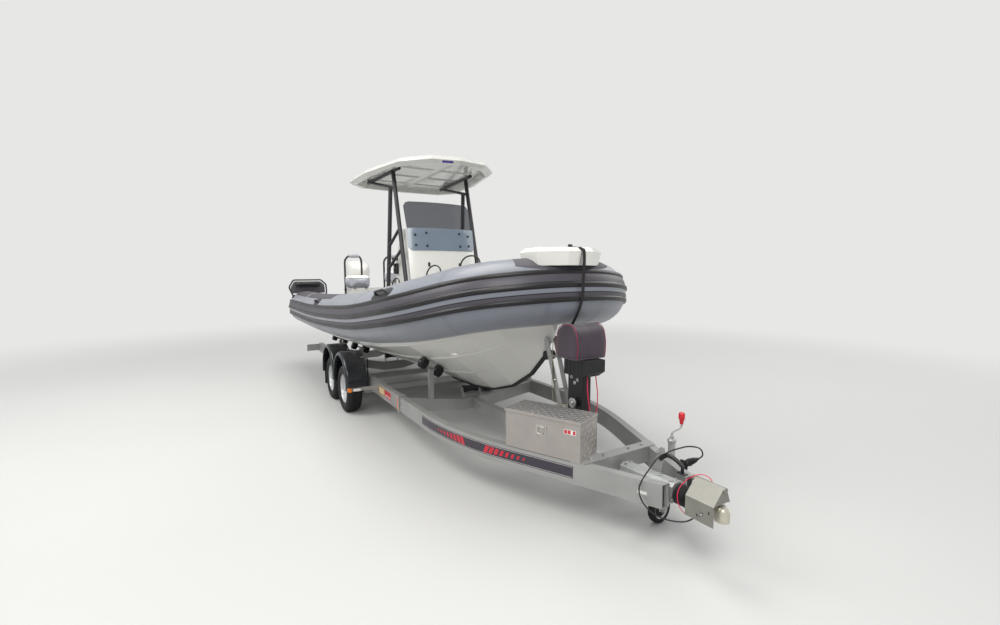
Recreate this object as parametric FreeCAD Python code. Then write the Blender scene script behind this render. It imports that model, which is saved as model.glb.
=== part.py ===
import FreeCAD, Part
import math
import os

os.makedirs("parts", exist_ok=True)
V = FreeCAD.Vector

# A 22-foot rigid inflatable boat with a T-top, standing on its tandem-axle trailer.
# Millimetres, +X forward, +Y to port, +Z up, floor at z = 0.
# Stations are measured from the centre of the tow ball; at the end the whole part moves
# along X so that its origin lies under the middle of its overall length.

# General clearances
SEAT_GAP = 0.3          # between pieces that sit on each other on different bodies
RUN_FIT = 0.05          # radial running fit of pins and shafts

# Trailer frame
RAIL_HEIGHT = 150.0
RAIL_WIDTH = 60.0
RAIL_BOTTOM = 310.0
FRAME_HALF = 812.0      # centreline to the outer face of a straight rail
RAIL_REAR_X = -7250.0
BEND_START_X = -2380.0
BEND_RADIUS = 2600.0
DRAWBAR_ANGLE = 23.5
RAIL_FRONT_X = -300.0
RAIL_WALL = 5.0
RAIL_SOCKET_DEPTH = 110.0
FLANGE_X = -3040.0
FLANGE_THICK = 12.0
FLANGE_PROUD = 16.0
CROSS_THICK = 60.0
CROSS_HEIGHT = 122.0
CROSS_FLAT = 150.0      # half length of the level middle of a cross member
CROSS_END_TOP = 455.0
SPINE_WIDTH = 70.0
SPINE_HEIGHT = 120.0
SPINE_FRONT_X = -850.0
TIE_PLATE_X = -815.0
TIE_PLATE_DEPTH = 90.0
TIE_PLATE_THICK = 6.0
RAIL_TOP = RAIL_BOTTOM + RAIL_HEIGHT

# Cross members: name, station, height of the middle of their top
CROSS_MEMBERS = [
    ("front", -2948.0, 372.0),
    ("middle", -5650.0, 318.0),
    ("rear", -6950.0, 290.0),
]

# Wheels and axles
WHEEL_RADIUS = 290.0
TYRE_WIDTH = 185.0
WHEEL_OUTER_Y = 1080.0
RIM_RADIUS = 174.0
RIM_WALL = 6.0
AXLE_FRONT_X = -4375.0
AXLE_SPACING = 700.0
AXLE_BEAM = 66.0
AXLE_BEAM_Z = 268.0
AXLE_ARM = 130.0        # trailing arm, from the beam aft to the stub
ARM_THICK = 34.0
STUB_RADIUS = 22.0
HUB_RADIUS = 60.0
WHEEL_TRACK_GAP = 9.0   # rail to trailing arm

# Mudguards
GUARD_RADIUS = 345.0
GUARD_SHEET = 5.0
GUARD_LIP = 38.0
GUARD_INNER_Y = 862.0
GUARD_OUTER_Y = 1112.0
GUARD_TOP = 752.0
GUARD_SKIRT = 75.0      # straight length below the arch
FLAP_DROP = 190.0

# Coupling
BALL_Z = 380.0
BALL_DIAMETER = 50.0
HEAD_HALF = 34.0
HEAD_REAR_X = -196.0
HEAD_NOSE_RADIUS = 40.0
HOUSING_FRONT_X = -296.0
HOUSING_REAR_X = -735.0
BELLOWS_RADIUS = 64.0
BELLOWS_WAVES = 5
SHAFT_RADIUS = 25.0
COVER_NEAR_Y = -98.0
COVER_FAR_Y = 52.0
COVER_FRONT_X = 10.0
COVER_REAR_X = -172.0
COVER_TOP = 528.0
COVER_BOTTOM = 326.0
COVER_FAR_BOTTOM = 440.0
COVER_SHEET = 4.0
COVER_SHOULDER = 445.0
COVER_RIDGE = 17.0

# Jockey wheel
JOCKEY_X = -606.0
JOCKEY_TUBE_RADIUS = 24.0
JOCKEY_TUBE_WALL = 2.7
JOCKEY_LEG_RADIUS = 21.0
JOCKEY_TUBE_BOTTOM = 340.0
JOCKEY_TUBE_TOP = 545.0
JOCKEY_LEG_TOP = 440.0
JOCKEY_RANGE = 78.0
JOCKEY_WHEEL_RADIUS = 100.0
JOCKEY_WHEEL_WIDTH = 50.0
JOCKEY_TRAIL = 120.0
JOCKEY_TRAIL_ANGLE = 273.0
JOCKEY_CROWN_Z = 218.0
JOCKEY_RAIL_GAP = 9.0
JOCKEY_PIN_LENGTH = 36.0

# Toolbox, lined up with the starboard drawbar rail
BOX_LENGTH = 600.0
BOX_DEPTH = 270.0
BOX_HEIGHT = 280.0
BOX_SHEET = 3.0
BOX_LID = 24.0
BOX_FRONT_X = -790.0
BOX_OVERHANG = 6.0
BOX_HINGE_RADIUS = 5.0

# Winch post on the centre spine: leaning strut plates behind an upright black column
STRUT_BASE_X = -1290.0
STRUT_TOP_X = -1595.0
STRUT_TOP_Z = 1200.0
STRUT_LENGTH = 54.0      # of each plate, along the trailer
STRUT_INNER_Y = 42.0
STRUT_PLATE = 8.0
COLUMN_REAR_X = -1308.0
COLUMN_FRONT_X = -1140.0
COLUMN_HALF = 40.0
WINCH_FRONT_X = -1035.0
WINCH_HALF = 84.0
WINCH_BOTTOM = 950.0
WINCH_TOP = 1084.0
BAG_REAR_X = -1312.0
BAG_FRONT_X = -1096.0
BAG_HALF = 150.0
BAG_TOP = 1352.0
ROLLER_RADIUS = 58.0
ROLLER_WIDTH = 72.0
ROLLER_SPACING = 190.0
ROLLER_POST_Y = 505.0

# The boat stands bow up by this angle, about a point on its keel
TRIM_ANGLE = 1.2
TRIM_X = -2900.0
TRIM_Z = 500.0

# Hull sections, in the boat's own level frame.
# station, keel height, chine half breadth, chine height, top half breadth, top height
HULL_SECTIONS = [
    (-7350.0, 500.0, 885.0, 845.0, 935.0, 1204.0),
    (-5400.0, 500.0, 900.0, 862.0, 940.0, 1190.0),
    (-4200.0, 500.0, 890.0, 890.0, 940.0, 1222.0),
    (-3450.0, 500.0, 850.0, 948.0, 930.0, 1260.0),
    (-2900.0, 503.0, 780.0, 1015.0, 890.0, 1310.0),
    (-2500.0, 540.0, 665.0, 1085.0, 800.0, 1360.0),
    (-2150.0, 640.0, 520.0, 1160.0, 670.0, 1410.0),
    (-1850.0, 805.0, 355.0, 1235.0, 500.0, 1466.0),
    (-1655.0, 985.0, 195.0, 1295.0, 310.0, 1515.0),
    (-1515.0, 1200.0, 60.0, 1355.0, 140.0, 1545.0),
]
TRANSOM_X = -7350.0
TRANSOM_THICK = 70.0
TRANSOM_TOP = 1130.0
DECK_Z = 940.0
ABOVE_HULL = 60.0       # how far a cutting block stands over the highest part of the hull
KEEL_GUARD_HALF = 22.0
KEEL_GUARD_PROUD = 7.0

# Collar: station, half breadth and height of its centreline, from the stern to the bow
COLLAR_RADIUS = 270.0
COLLAR_ROUTE = [
    (-7337.0, -990.0, 1203.0),
    (-5187.0, -990.0, 1188.0),
    (-3284.0, -975.0, 1268.0),
    (-2231.0, -893.0, 1396.0),
    (-1680.0, -632.0, 1514.0),
    (-1475.0, -258.0, 1550.0),
]
CONE_LENGTH = 430.0
CONE_END_RADIUS = 150.0
RIB_ANGLES = (35.0, 12.0, -11.0)    # degrees above level, in front of the bow
RIB_WIDTH = 36.0
RIB_PROUD = 17.0
RIB_TAPER = 0.6         # share of the width that is left at the top

# Bow step and fittings
STEP_HALF = 325.0
STEP_FRONT_X = -1178.0
STEP_CORNER_X = -1325.0
STEP_REAR_X = -1550.0
STEP_TOP = 1889.0
STEP_BOTTOM = 1752.0
STEP_SPLIT = 12.0
STEP_BEVEL = 32.0

# Console and windscreen
CONSOLE_HALF = 430.0
CONSOLE_FRONT_X = -3465.0
CONSOLE_BULGE = 70.0
CONSOLE_LENGTH = 680.0
CONSOLE_RAKE = 0.16     # run aft for each unit of height
CONSOLE_TOP = 2254.0
DASH_X = -3915.0
DASH_LOW = 1920.0
SCREEN_BOTTOM = 1998.0
SCREEN_TOP = 2580.0
SCREEN_RAKE = 0.388
SCREEN_THICK = 8.0
HELM_RADIUS = 175.0
HELM_Y = -150.0
HELM_ANGLE = 28.0
HELM_TURN_RATIO = 12.0

# T-top: station and half breadth of the roof's corners
ROOF_CORNERS = [(-3149.0, 0.0), (-3209.0, 330.0), (-3509.0, 600.0), (-4249.0, 760.0),
                (-4899.0, 780.0), (-5099.0, 600.0), (-5149.0, 0.0)]
ROOF_BOTTOM = 2915.0
ROOF_LIP = 31.0         # each of these is measured up from the one before
ROOF_BAND = 30.0
ROOF_CROWN = 34.0
ROOF_SKIN = 30.0        # between the recessed ceiling and the top
ROOF_EDGE = ROOF_BOTTOM + ROOF_LIP
ROOF_SHOULDER = ROOF_EDGE + ROOF_BAND
ROOF_TOP = ROOF_SHOULDER + ROOF_CROWN
ROOF_CEILING = ROOF_TOP - ROOF_SKIN
LEG_RADIUS = 25.0
BAR_RADIUS = 22.0
BRACE_RADIUS = 18.0
FRONT_LEG = ((-3481.0, 480.0), (-4009.0, 485.0))    # foot and head, station and half breadth
REAR_LEG_FOOT = (-4282.0, 520.0)
REAR_LEG_HEAD_X = -4093.0
BAR_FRONT = (-3839.0, 470.0)
BAR_REAR = (-4869.0, 530.0)
STRUT_LOW_Z = 2747.0
BRACES = ((1798.0, 2022.0), (2066.0, 2265.0))       # height on the rear leg, on the front leg

# Seats
SEAT_X = -6350.0
SEAT_DEPTH = 430.0
SEAT_WIDTH = 340.0
SEAT_CENTRE_Y = 335.0
SEAT_THICK = 200.0
SEAT_TOP = 1738.0
SEAT_FLIP = 75.0        # the port cushion stands this much higher
SEAT_BASE_HALF = 470.0
HOOP_RADIUS = 16.0
HOOP_TOP = 2066.0
AFT_SEAT_FRONT_X = -6880.0
AFT_SEAT_INNER_Y = 380.0
AFT_SEAT_OUTER_Y = 680.0
AFT_SEAT_TOP = 1210.0
AFT_CUSHION = 70.0
BACKREST_X = -7300.0
BACKREST_TUBE = 13.0
BACKREST_PANEL = 22.0
BACKREST_ROLL = 42.0

# Outboard, drawn upright and then tilted up for the road
YOKE_FRONT = 30.0       # the yoke's reach ahead of the steering axis, and its half width
YOKE_HALF = 40.0
TILT_X = -7412.0
TILT_Z = 1165.0
TILT_PARKED = 20.0
STEER_X = -7520.0
TILT_TUBE_RADIUS = 17.0
CLAMP_INNER_Y = 116.0
CLAMP_THICK = 26.0
SWIVEL_RADIUS = 48.0
KINGPIN_RADIUS = 20.0
BARREL_TOP = 1120.0
BARREL_BOTTOM = 760.0
PLATE_Z = 515.0         # anti-ventilation plate
PROP_Z = 338.0
SKEG_Z = 190.0
GEARCASE_RADIUS = 58.0
GEARCASE_FRONT_X = -7530.0
GEARCASE_REAR_X = -7880.0
PROP_RADIUS = 160.0
PROP_HUB_RADIUS = 52.0
PROP_HUB_LENGTH = 130.0
COWL_BOTTOM = 1235.0
COWL_TOP = 1915.0
COWL_HALF = 215.0
COWL_FRONT_X = -7452.0
COWL_REAR_X = -8080.0

# Routes of the free cables, with the tow ball's centre as the origin
TRAILER_CABLE = [
    (-150.0, -12.0, 344.6), (-152.0, -20.0, 296.0), (-184.0, -64.0, 262.0), (-240.0, -118.0, 256.0),
    (-300.0, -170.0, 270.0), (-352.0, -200.0, 300.0), (-396.0, -218.0, 350.0),
    (-414.0, -222.0, 414.0), (-402.0, -204.0, 474.0), (-398.0, -150.0, 524.0),
    (-414.0, -80.0, 556.0), (-432.0, -10.0, 572.0), (-438.0, 52.0, 572.0), (-424.0, 92.0, 588.0),
    (-372.0, 106.0, 618.0), (-318.0, 105.0, 648.0), (-268.0, 102.0, 662.0), (-228.4, 100.0, 667.6),
    (-206.1, 100.0, 647.6), (-207.7, 100.0, 617.6), (-232.0, 100.0, 600.0)]
BREAKAWAY_CABLE = [
    (-76.0, 10.0, 537.4), (-92.0, 6.0, 558.0), (-132.0, 0.0, 562.0), (-180.0, -12.0, 540.0),
    (-216.0, -38.0, 502.0), (-236.0, -72.0, 456.0), (-238.0, -86.0, 408.0), (-228.0, -86.0, 362.0),
    (-206.0, -78.0, 322.0), (-186.0, -54.0, 304.0), (-172.0, -28.0, 316.0), (-170.0, -20.0, 344.6)]
WINCH_LEADS = [
    (-1118.0, -12.0, 950.0), (-1118.0, -14.0, 880.0), (-1117.0, -4.0, 790.0), (-1116.0, 8.0, 710.0),
    (-1115.0, 18.0, 655.0), (-1115.0, 48.3, 639.6), (-1115.0, 78.9, 654.5), (-1116.0, 92.0, 730.0),
    (-1117.0, 92.0, 820.0), (-1118.0, 78.0, 895.0), (-1118.0, 70.0, 950.0)]

nodes = {}
pivots = {}


def put(name, shape):
    nodes[name] = shape


def box(x0, x1, y0, y1, z0, z1):
    return Part.makeBox(abs(x1 - x0), abs(y1 - y0), abs(z1 - z0),
                        V(min(x0, x1), min(y0, y1), min(z0, z1)))


def rod(start, end, radius):
    """Round bar between two points."""
    axis = end - start
    return Part.makeCylinder(radius, axis.Length, start, axis)


def polygon_face(points):
    return Part.Face(Part.makePolygon(points + [points[0]]))


def side_prism(outline, y0, y1):
    """Outline of (x, z) pairs, extruded across the part from y0 to y1."""
    return polygon_face([V(x, y0, z) for x, z in outline]).extrude(V(0, y1 - y0, 0))


def plan_prism(outline, z0, z1):
    """Outline of (x, y) pairs, extruded upwards from z0 to z1."""
    return polygon_face([V(x, y, z0) for x, y in outline]).extrude(V(0, 0, z1 - z0))


def end_prism(outline, x0, x1):
    """Outline of (y, z) pairs, extruded along the part from x0 to x1."""
    return polygon_face([V(x0, y, z) for y, z in outline]).extrude(V(x1 - x0, 0, 0))


def mirrored(shape):
    """The same piece on the other side of the centreline."""
    return shape.mirror(V(0, 0, 0), V(0, 1, 0))


def joined(shapes):
    first = shapes[0]
    return first.multiFuse(shapes[1:]).removeSplitter() if len(shapes) > 1 else first


def revolved(profile, centre, axis, across, angle=360.0):
    """Profile of (along the axis, radius) pairs, turned about an axis through centre."""
    axis = V(axis).normalize()
    across = V(across).normalize()
    points = [centre + axis * a + across * r for a, r in profile]
    return polygon_face(points).revolve(centre, axis, angle)


def corner_radii(points, share=0.45):
    """Largest arcs that the runs of a route allow at its inner points."""
    radii = []
    for before, here, after in zip(points, points[1:], points[2:]):
        run_in = here - before
        run_out = after - here
        half_turn = run_in.getAngle(run_out) / 2
        radii.append(share * min(run_in.Length, run_out.Length) / math.tan(half_turn))
    return radii


def route_wire(points, radii):
    """Straight runs joined by tangent arcs."""
    edges = []
    start = points[0]
    for before, here, after, radius in zip(points, points[1:], points[2:], radii):
        back = (before - here).normalize()
        ahead = (after - here).normalize()
        half_turn = (here - before).getAngle(after - here) / 2
        tangent = radius * math.tan(half_turn)
        bisector = (back + ahead).normalize()
        arc_in = here + back * tangent
        arc_out = here + ahead * tangent
        middle = here + bisector * (radius / math.cos(half_turn) - radius)
        edges.append(Part.LineSegment(start, arc_in).toShape())
        edges.append(Part.Arc(arc_in, middle, arc_out).toShape())
        start = arc_out
    edges.append(Part.LineSegment(start, points[-1]).toShape())
    return Part.Wire(edges)


def pipe(points, radius, radii=None):
    """Round tube along a route."""
    points = [V(*p) for p in points]
    if len(points) == 2:
        return rod(points[0], points[1], radius)
    wire = route_wire(points, radii or corner_radii(points))
    section = Part.Wire(Part.makeCircle(radius, points[0], points[1] - points[0]))
    return wire.makePipeShell([section], True, False)


def cord(name, points, radius):
    """Free cord: its tube, with its bends and its volume printed for checking."""
    route = [V(*p) for p in points]
    radii = corner_radii(route)
    tube = pipe(points, radius, radii)
    length = route_wire(route, radii).Length
    share = tube.Volume / (math.pi * radius ** 2 * length)
    print("cord", name, "length", round(length), "bends", [round(r) for r in radii],
          "volume share", round(share, 4))
    put(name, tube)


def boat_place(shape):
    """Moves a piece from the boat's level frame to the trimmed boat on the trailer."""
    moved = shape.copy()
    moved.rotate(V(TRIM_X, 0, TRIM_Z), V(0, 1, 0), -TRIM_ANGLE)
    return moved


def boat_point(point):
    turn = FreeCAD.Rotation(V(0, 1, 0), -TRIM_ANGLE)
    pivot = V(TRIM_X, 0, TRIM_Z)
    return pivot + turn.multVec(V(*point) - pivot)


def boat_direction(direction):
    return FreeCAD.Rotation(V(0, 1, 0), -TRIM_ANGLE).multVec(V(*direction))


def put_boat(name, shape):
    put(name, boat_place(shape))


# Trailer rails: straight aft, bent towards the coupling in front
DRAWBAR_SLOPE = math.tan(math.radians(DRAWBAR_ANGLE))


def rail_path(offset):
    """Plan of a rail's face that lies offset inside its outer face: corners and arc middle."""
    radius = BEND_RADIUS - offset
    centre_y = FRAME_HALF - BEND_RADIUS
    turn = math.radians(DRAWBAR_ANGLE)
    rear = (RAIL_REAR_X, FRAME_HALF - offset)
    bend_in = (BEND_START_X, FRAME_HALF - offset)
    bend_mid = (BEND_START_X + radius * math.sin(turn / 2), centre_y + radius * math.cos(turn / 2))
    bend_out = (BEND_START_X + radius * math.sin(turn), centre_y + radius * math.cos(turn))
    front_y = bend_out[1] - (RAIL_FRONT_X - bend_out[0]) * DRAWBAR_SLOPE
    return rear, bend_in, bend_mid, bend_out, (RAIL_FRONT_X, front_y)


def drawbar_y(x, offset=0.0):
    """Half breadth of the straight drawbar at a station."""
    bend_out = rail_path(offset)[3]
    return bend_out[1] - (x - bend_out[0]) * DRAWBAR_SLOPE


def rail_solid():
    rear_o, in_o, mid_o, out_o, front_o = [V(x, y, RAIL_BOTTOM) for x, y in rail_path(0.0)]
    rear_i, in_i, mid_i, out_i, front_i = [V(x, y, RAIL_BOTTOM) for x, y in rail_path(RAIL_WIDTH)]
    edges = [
        Part.LineSegment(rear_o, in_o).toShape(),
        Part.Arc(in_o, mid_o, out_o).toShape(),
        Part.LineSegment(out_o, front_o).toShape(),
        Part.LineSegment(front_o, front_i).toShape(),
        Part.LineSegment(front_i, out_i).toShape(),
        Part.Arc(out_i, mid_i, in_i).toShape(),
        Part.LineSegment(in_i, rear_i).toShape(),
        Part.LineSegment(rear_i, rear_o).toShape(),
    ]
    rail = Part.Face(Part.Wire(edges)).extrude(V(0, 0, RAIL_HEIGHT))
    along = V(math.cos(math.radians(DRAWBAR_ANGLE)), -math.sin(math.radians(DRAWBAR_ANGLE)), 0)
    inward = V(-along.y, along.x, 0) * -1.0
    corner = front_o + inward * RAIL_WALL + V(0, 0, RAIL_WALL) + along * 60.0
    width = RAIL_WIDTH * math.cos(math.radians(DRAWBAR_ANGLE)) - 2 * RAIL_WALL
    far = corner - along * (RAIL_SOCKET_DEPTH + 60.0)
    socket = polygon_face([corner, corner + inward * width, far + inward * width, far])
    socket = socket.extrude(V(0, 0, RAIL_HEIGHT - 2 * RAIL_WALL))
    flange = box(FLANGE_X - FLANGE_THICK, FLANGE_X + FLANGE_THICK,
                 FRAME_HALF - RAIL_WIDTH, FRAME_HALF + FLANGE_PROUD,
                 RAIL_BOTTOM - FLANGE_PROUD, RAIL_TOP + FLANGE_PROUD)
    return rail.cut(socket).fuse(flange).removeSplitter()


port_rail = rail_solid()
put("trailer_rail_port", port_rail)
put("trailer_rail_starboard", mirrored(port_rail))

# V-shaped cross members between the rails
inner_face = FRAME_HALF - RAIL_WIDTH
cross_solids = {}
for name, station, middle_top in CROSS_MEMBERS:
    top = [(-inner_face, CROSS_END_TOP), (-CROSS_FLAT, middle_top),
           (CROSS_FLAT, middle_top), (inner_face, CROSS_END_TOP)]
    bottom = [(y, z - CROSS_HEIGHT) for y, z in reversed(top)]
    cross_solids[station] = end_prism(top + bottom, station - CROSS_THICK / 2,
                                      station + CROSS_THICK / 2)
put("cross_members", Part.makeCompound(list(cross_solids.values())))

# Centre spine from the front cross member to the tie plate, and the plate itself
front_middle_top = CROSS_MEMBERS[0][2]
spine_rear_x = CROSS_MEMBERS[0][1] + CROSS_THICK / 2
spine_top = front_middle_top
spine = box(spine_rear_x, SPINE_FRONT_X, -SPINE_WIDTH / 2, SPINE_WIDTH / 2,
            spine_top - SPINE_HEIGHT, spine_top)

tie_front_x = TIE_PLATE_X + TIE_PLATE_DEPTH / 2
tie_rear_x = TIE_PLATE_X - TIE_PLATE_DEPTH / 2
tie_plate = plan_prism([(tie_rear_x, -drawbar_y(tie_rear_x)), (tie_front_x, -drawbar_y(tie_front_x)),
                        (tie_front_x, drawbar_y(tie_front_x)), (tie_rear_x, drawbar_y(tie_rear_x))],
                       RAIL_TOP, RAIL_TOP + TIE_PLATE_THICK)
web_half = drawbar_y(tie_front_x, RAIL_WIDTH) - 3.0
tie_web = box(tie_front_x - TIE_PLATE_THICK, tie_front_x, -web_half, web_half,
              RAIL_BOTTOM + 40.0, RAIL_TOP)
tie_rib = box(SPINE_FRONT_X, tie_front_x - TIE_PLATE_THICK, -SPINE_WIDTH / 2, SPINE_WIDTH / 2,
              spine_top, RAIL_TOP)
put("centre_spine", joined([spine, tie_plate, tie_web, tie_rib]))

# Axles: a beam under the rails with a trailing arm and a stub at each end
wheel_inner_y = WHEEL_OUTER_Y - TYRE_WIDTH
arm_inner_y = FRAME_HALF + WHEEL_TRACK_GAP
arm_outer_y = arm_inner_y + ARM_THICK
disc_y = wheel_inner_y + TYRE_WIDTH * 0.52
beam_top = RAIL_BOTTOM - 5.0
axles = []
axle_x = {"front": AXLE_FRONT_X, "rear": AXLE_FRONT_X - AXLE_SPACING}
for name, x in axle_x.items():
    beam_x = x + AXLE_ARM
    beam = box(beam_x - AXLE_BEAM / 2, beam_x + AXLE_BEAM / 2, -arm_inner_y, arm_inner_y,
               beam_top - AXLE_BEAM, beam_top)
    pieces = [beam]
    for side in (1, -1):
        pad = box(beam_x - AXLE_BEAM, beam_x + AXLE_BEAM,
                  side * (FRAME_HALF - RAIL_WIDTH), side * FRAME_HALF, beam_top, RAIL_BOTTOM)
        arm = side_prism([(beam_x + 30.0, beam_top), (beam_x + 30.0, beam_top - AXLE_BEAM),
                          (x - 30.0, WHEEL_RADIUS - 32.0), (x - 30.0, WHEEL_RADIUS + 28.0)],
                         side * arm_inner_y, side * arm_outer_y)
        stub = rod(V(x, side * arm_outer_y, WHEEL_RADIUS), V(x, side * disc_y, WHEEL_RADIUS),
                   STUB_RADIUS)
        pieces += [pad, arm, stub]
    axles.append(joined(pieces))
put("axles", Part.makeCompound(axles))

# Wheels: a tyre and a steel rim with its brake drum, four alike
half_tyre = TYRE_WIDTH / 2
tyre_profile = [(-half_tyre + 22.0, RIM_RADIUS), (-half_tyre + 4.0, RIM_RADIUS + 18.0),
                (-half_tyre, RIM_RADIUS + 52.0), (-half_tyre + 8.0, WHEEL_RADIUS - 28.0),
                (-half_tyre + 26.0, WHEEL_RADIUS - 6.0), (-half_tyre + 44.0, WHEEL_RADIUS),
                (half_tyre - 44.0, WHEEL_RADIUS), (half_tyre - 26.0, WHEEL_RADIUS - 6.0),
                (half_tyre - 8.0, WHEEL_RADIUS - 28.0), (half_tyre, RIM_RADIUS + 52.0),
                (half_tyre - 4.0, RIM_RADIUS + 18.0), (half_tyre - 22.0, RIM_RADIUS)]
barrel = RIM_RADIUS - RIM_WALL
flange_half = half_tyre - 20.0
disc_offset = disc_y - (WHEEL_OUTER_Y - half_tyre)
rim_profile = [(-flange_half, barrel), (-flange_half, RIM_RADIUS), (flange_half, RIM_RADIUS),
               (flange_half, barrel), (disc_offset + 24.0, barrel - 8.0),
               (disc_offset + 10.0, HUB_RADIUS + 40.0), (disc_offset + 20.0, HUB_RADIUS + 4.0),
               (disc_offset + 20.0, 34.0), (disc_offset + 46.0, 30.0), (disc_offset + 46.0, 0.0),
               (disc_offset + 2.0, 0.0), (disc_offset + 2.0, STUB_RADIUS + RUN_FIT),
               (-half_tyre + 6.0, STUB_RADIUS + RUN_FIT), (-half_tyre + 6.0, 105.0),
               (-half_tyre + 52.0, 105.0), (disc_offset - 8.0, HUB_RADIUS + 40.0),
               (disc_offset + 8.0, barrel)]
wheel_places = []
for end, x in axle_x.items():
    for side_name, side in (("starboard", -1), ("port", 1)):
        centre = V(x, side * (WHEEL_OUTER_Y - half_tyre), WHEEL_RADIUS)
        name = end + "_" + side_name
        wheel_places.append((name, centre))
        put("tyre_" + name, revolved(tyre_profile, centre, (0, side, 0), (0, 0, 1)))
        put("rim_" + name, revolved(rim_profile, centre, (0, side, 0), (0, 0, 1)))
        pivots["wheel_" + name] = centre

# Mudguards, one over each wheel, with stays from the rail and a flap behind the rear one
guard_outside = []
for offset in (0.0, GUARD_SHEET):
    radius = GUARD_RADIUS - offset
    arch_z = GUARD_TOP - GUARD_RADIUS
    low_z = arch_z - GUARD_SKIRT - (1.0 if offset else 0.0)
    guard_outside.append((radius, arch_z, low_z))


def guard_arch(x, radius, arch_z, low_z, y0, y1):
    """Arched block over a wheel: half round on top with straight sides below."""
    edges = [
        Part.LineSegment(V(x + radius, y0, low_z), V(x + radius, y0, arch_z)).toShape(),
        Part.Arc(V(x + radius, y0, arch_z), V(x, y0, arch_z + radius),
                 V(x - radius, y0, arch_z)).toShape(),
        Part.LineSegment(V(x - radius, y0, arch_z), V(x - radius, y0, low_z)).toShape(),
        Part.LineSegment(V(x - radius, y0, low_z), V(x + radius, y0, low_z)).toShape(),
    ]
    return Part.Face(Part.Wire(edges)).extrude(V(0, y1 - y0, 0))


guards = []
for end, x in axle_x.items():
    (outer, arch_z, low_z), (inner, arch_z, room_z) = guard_outside
    block = guard_arch(x, outer, arch_z, low_z, GUARD_INNER_Y, GUARD_OUTER_Y)
    rims = [e for e in block.Edges
            if abs(e.valueAt(e.FirstParameter).y - GUARD_OUTER_Y) < 0.1
            and abs(e.valueAt(e.LastParameter).y - GUARD_OUTER_Y) < 0.1
            and not (abs(e.valueAt(e.FirstParameter).z - low_z) < 0.1
                     and abs(e.valueAt(e.LastParameter).z - low_z) < 0.1)]
    block = block.makeFillet(34.0, rims)
    room = guard_arch(x, inner, arch_z, room_z, GUARD_INNER_Y - 1.0, GUARD_OUTER_Y - 40.0)
    window = guard_arch(x, inner - GUARD_LIP, arch_z, room_z, GUARD_INNER_Y, GUARD_OUTER_Y + 1.0)
    pieces = [block.cut(room).cut(window)]
    for stay_x in (x - 190.0, x + 190.0):
        crown = arch_z + math.sqrt(inner ** 2 - 190.0 ** 2)
        stay = side_prism([(stay_x - 18.0, RAIL_TOP - 60.0), (stay_x + 18.0, RAIL_TOP - 60.0),
                           (stay_x + 18.0, crown - 12.0), (stay_x - 18.0, crown - 12.0)],
                          FRAME_HALF, FRAME_HALF + 5.0)
        reach = box(stay_x - 18.0, stay_x + 18.0, FRAME_HALF, GUARD_INNER_Y + 26.0,
                    crown - 17.0, crown - 12.0)
        link = box(stay_x - 18.0, stay_x + 18.0, GUARD_INNER_Y + 20.0, GUARD_INNER_Y + 26.0,
                   crown - 17.0, crown + 40.0)
        link = link.common(guard_arch(x, inner + 1.0, arch_z, room_z, FRAME_HALF, GUARD_OUTER_Y))
        pieces += [stay, reach, link]
    if end == "rear":
        back = x - GUARD_RADIUS
        pieces.append(box(back, back + 5.0, GUARD_INNER_Y, GUARD_OUTER_Y - 34.0,
                          low_z - FLAP_DROP, low_z + 1.0))
    guards.append(joined(pieces))
put("mudguards", Part.makeCompound(guards + [mirrored(g) for g in guards]))

# Marker-lamp arms in front of the wheels and the rear lamp brackets, with their lamps
ARM_X = -3760.0
ARM_REACH = 1165.0
ARM_Z = 412.0
arms = []
lamps = []
for side in (1, -1):
    arm = box(ARM_X - 4.0, ARM_X + 4.0, side * FRAME_HALF, side * ARM_REACH, ARM_Z - 20.0,
              ARM_Z + 20.0)
    arm_foot = box(ARM_X - 45.0, ARM_X + 4.0, side * FRAME_HALF, side * (FRAME_HALF + 6.0),
                   ARM_Z - 30.0, ARM_Z + 30.0)
    rear_arm = box(RAIL_REAR_X - 8.0, RAIL_REAR_X, side * (FRAME_HALF - RAIL_WIDTH),
                   side * (FRAME_HALF + 200.0), RAIL_TOP - 130.0, RAIL_TOP - 20.0)
    arms += [joined([arm, arm_foot]), rear_arm]
    end_lamp = rod(V(ARM_X + 4.0, side * (ARM_REACH - 25.0), ARM_Z),
                   V(ARM_X + 28.0, side * (ARM_REACH - 25.0), ARM_Z), 24.0)
    front_lamp = box(ARM_X + 4.0, ARM_X + 22.0, side * (ARM_REACH - 150.0),
                     side * (ARM_REACH - 60.0), ARM_Z - 18.0, ARM_Z + 18.0)
    rear_lamp = box(RAIL_REAR_X - 58.0, RAIL_REAR_X - 8.0, side * (FRAME_HALF - 40.0),
                    side * (FRAME_HALF + 190.0), RAIL_TOP - 125.0, RAIL_TOP - 25.0)
    lamps += [end_lamp, front_lamp, rear_lamp]
put("lamp_arms", Part.makeCompound(arms))
put("lamps", Part.makeCompound(lamps))

# Hull, a solid of ruled sections, trimmed by the collar and opened by the cockpit
def hull_wire(row):
    x, keel_z, chine_y, chine_z, top_y, top_z = row
    points = [V(x, 0, keel_z), V(x, chine_y, chine_z), V(x, top_y, top_z),
              V(x, -top_y, top_z), V(x, -chine_y, chine_z)]
    return Part.makePolygon(points + [points[0]])


hull = Part.makeLoft([hull_wire(row) for row in HULL_SECTIONS], True, True)

collar_half = [V(*p) for p in COLLAR_ROUTE]
collar_route = collar_half + [V(p.x, -p.y, p.z) for p in reversed(collar_half)]
collar_radii = corner_radii(collar_route)


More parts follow.
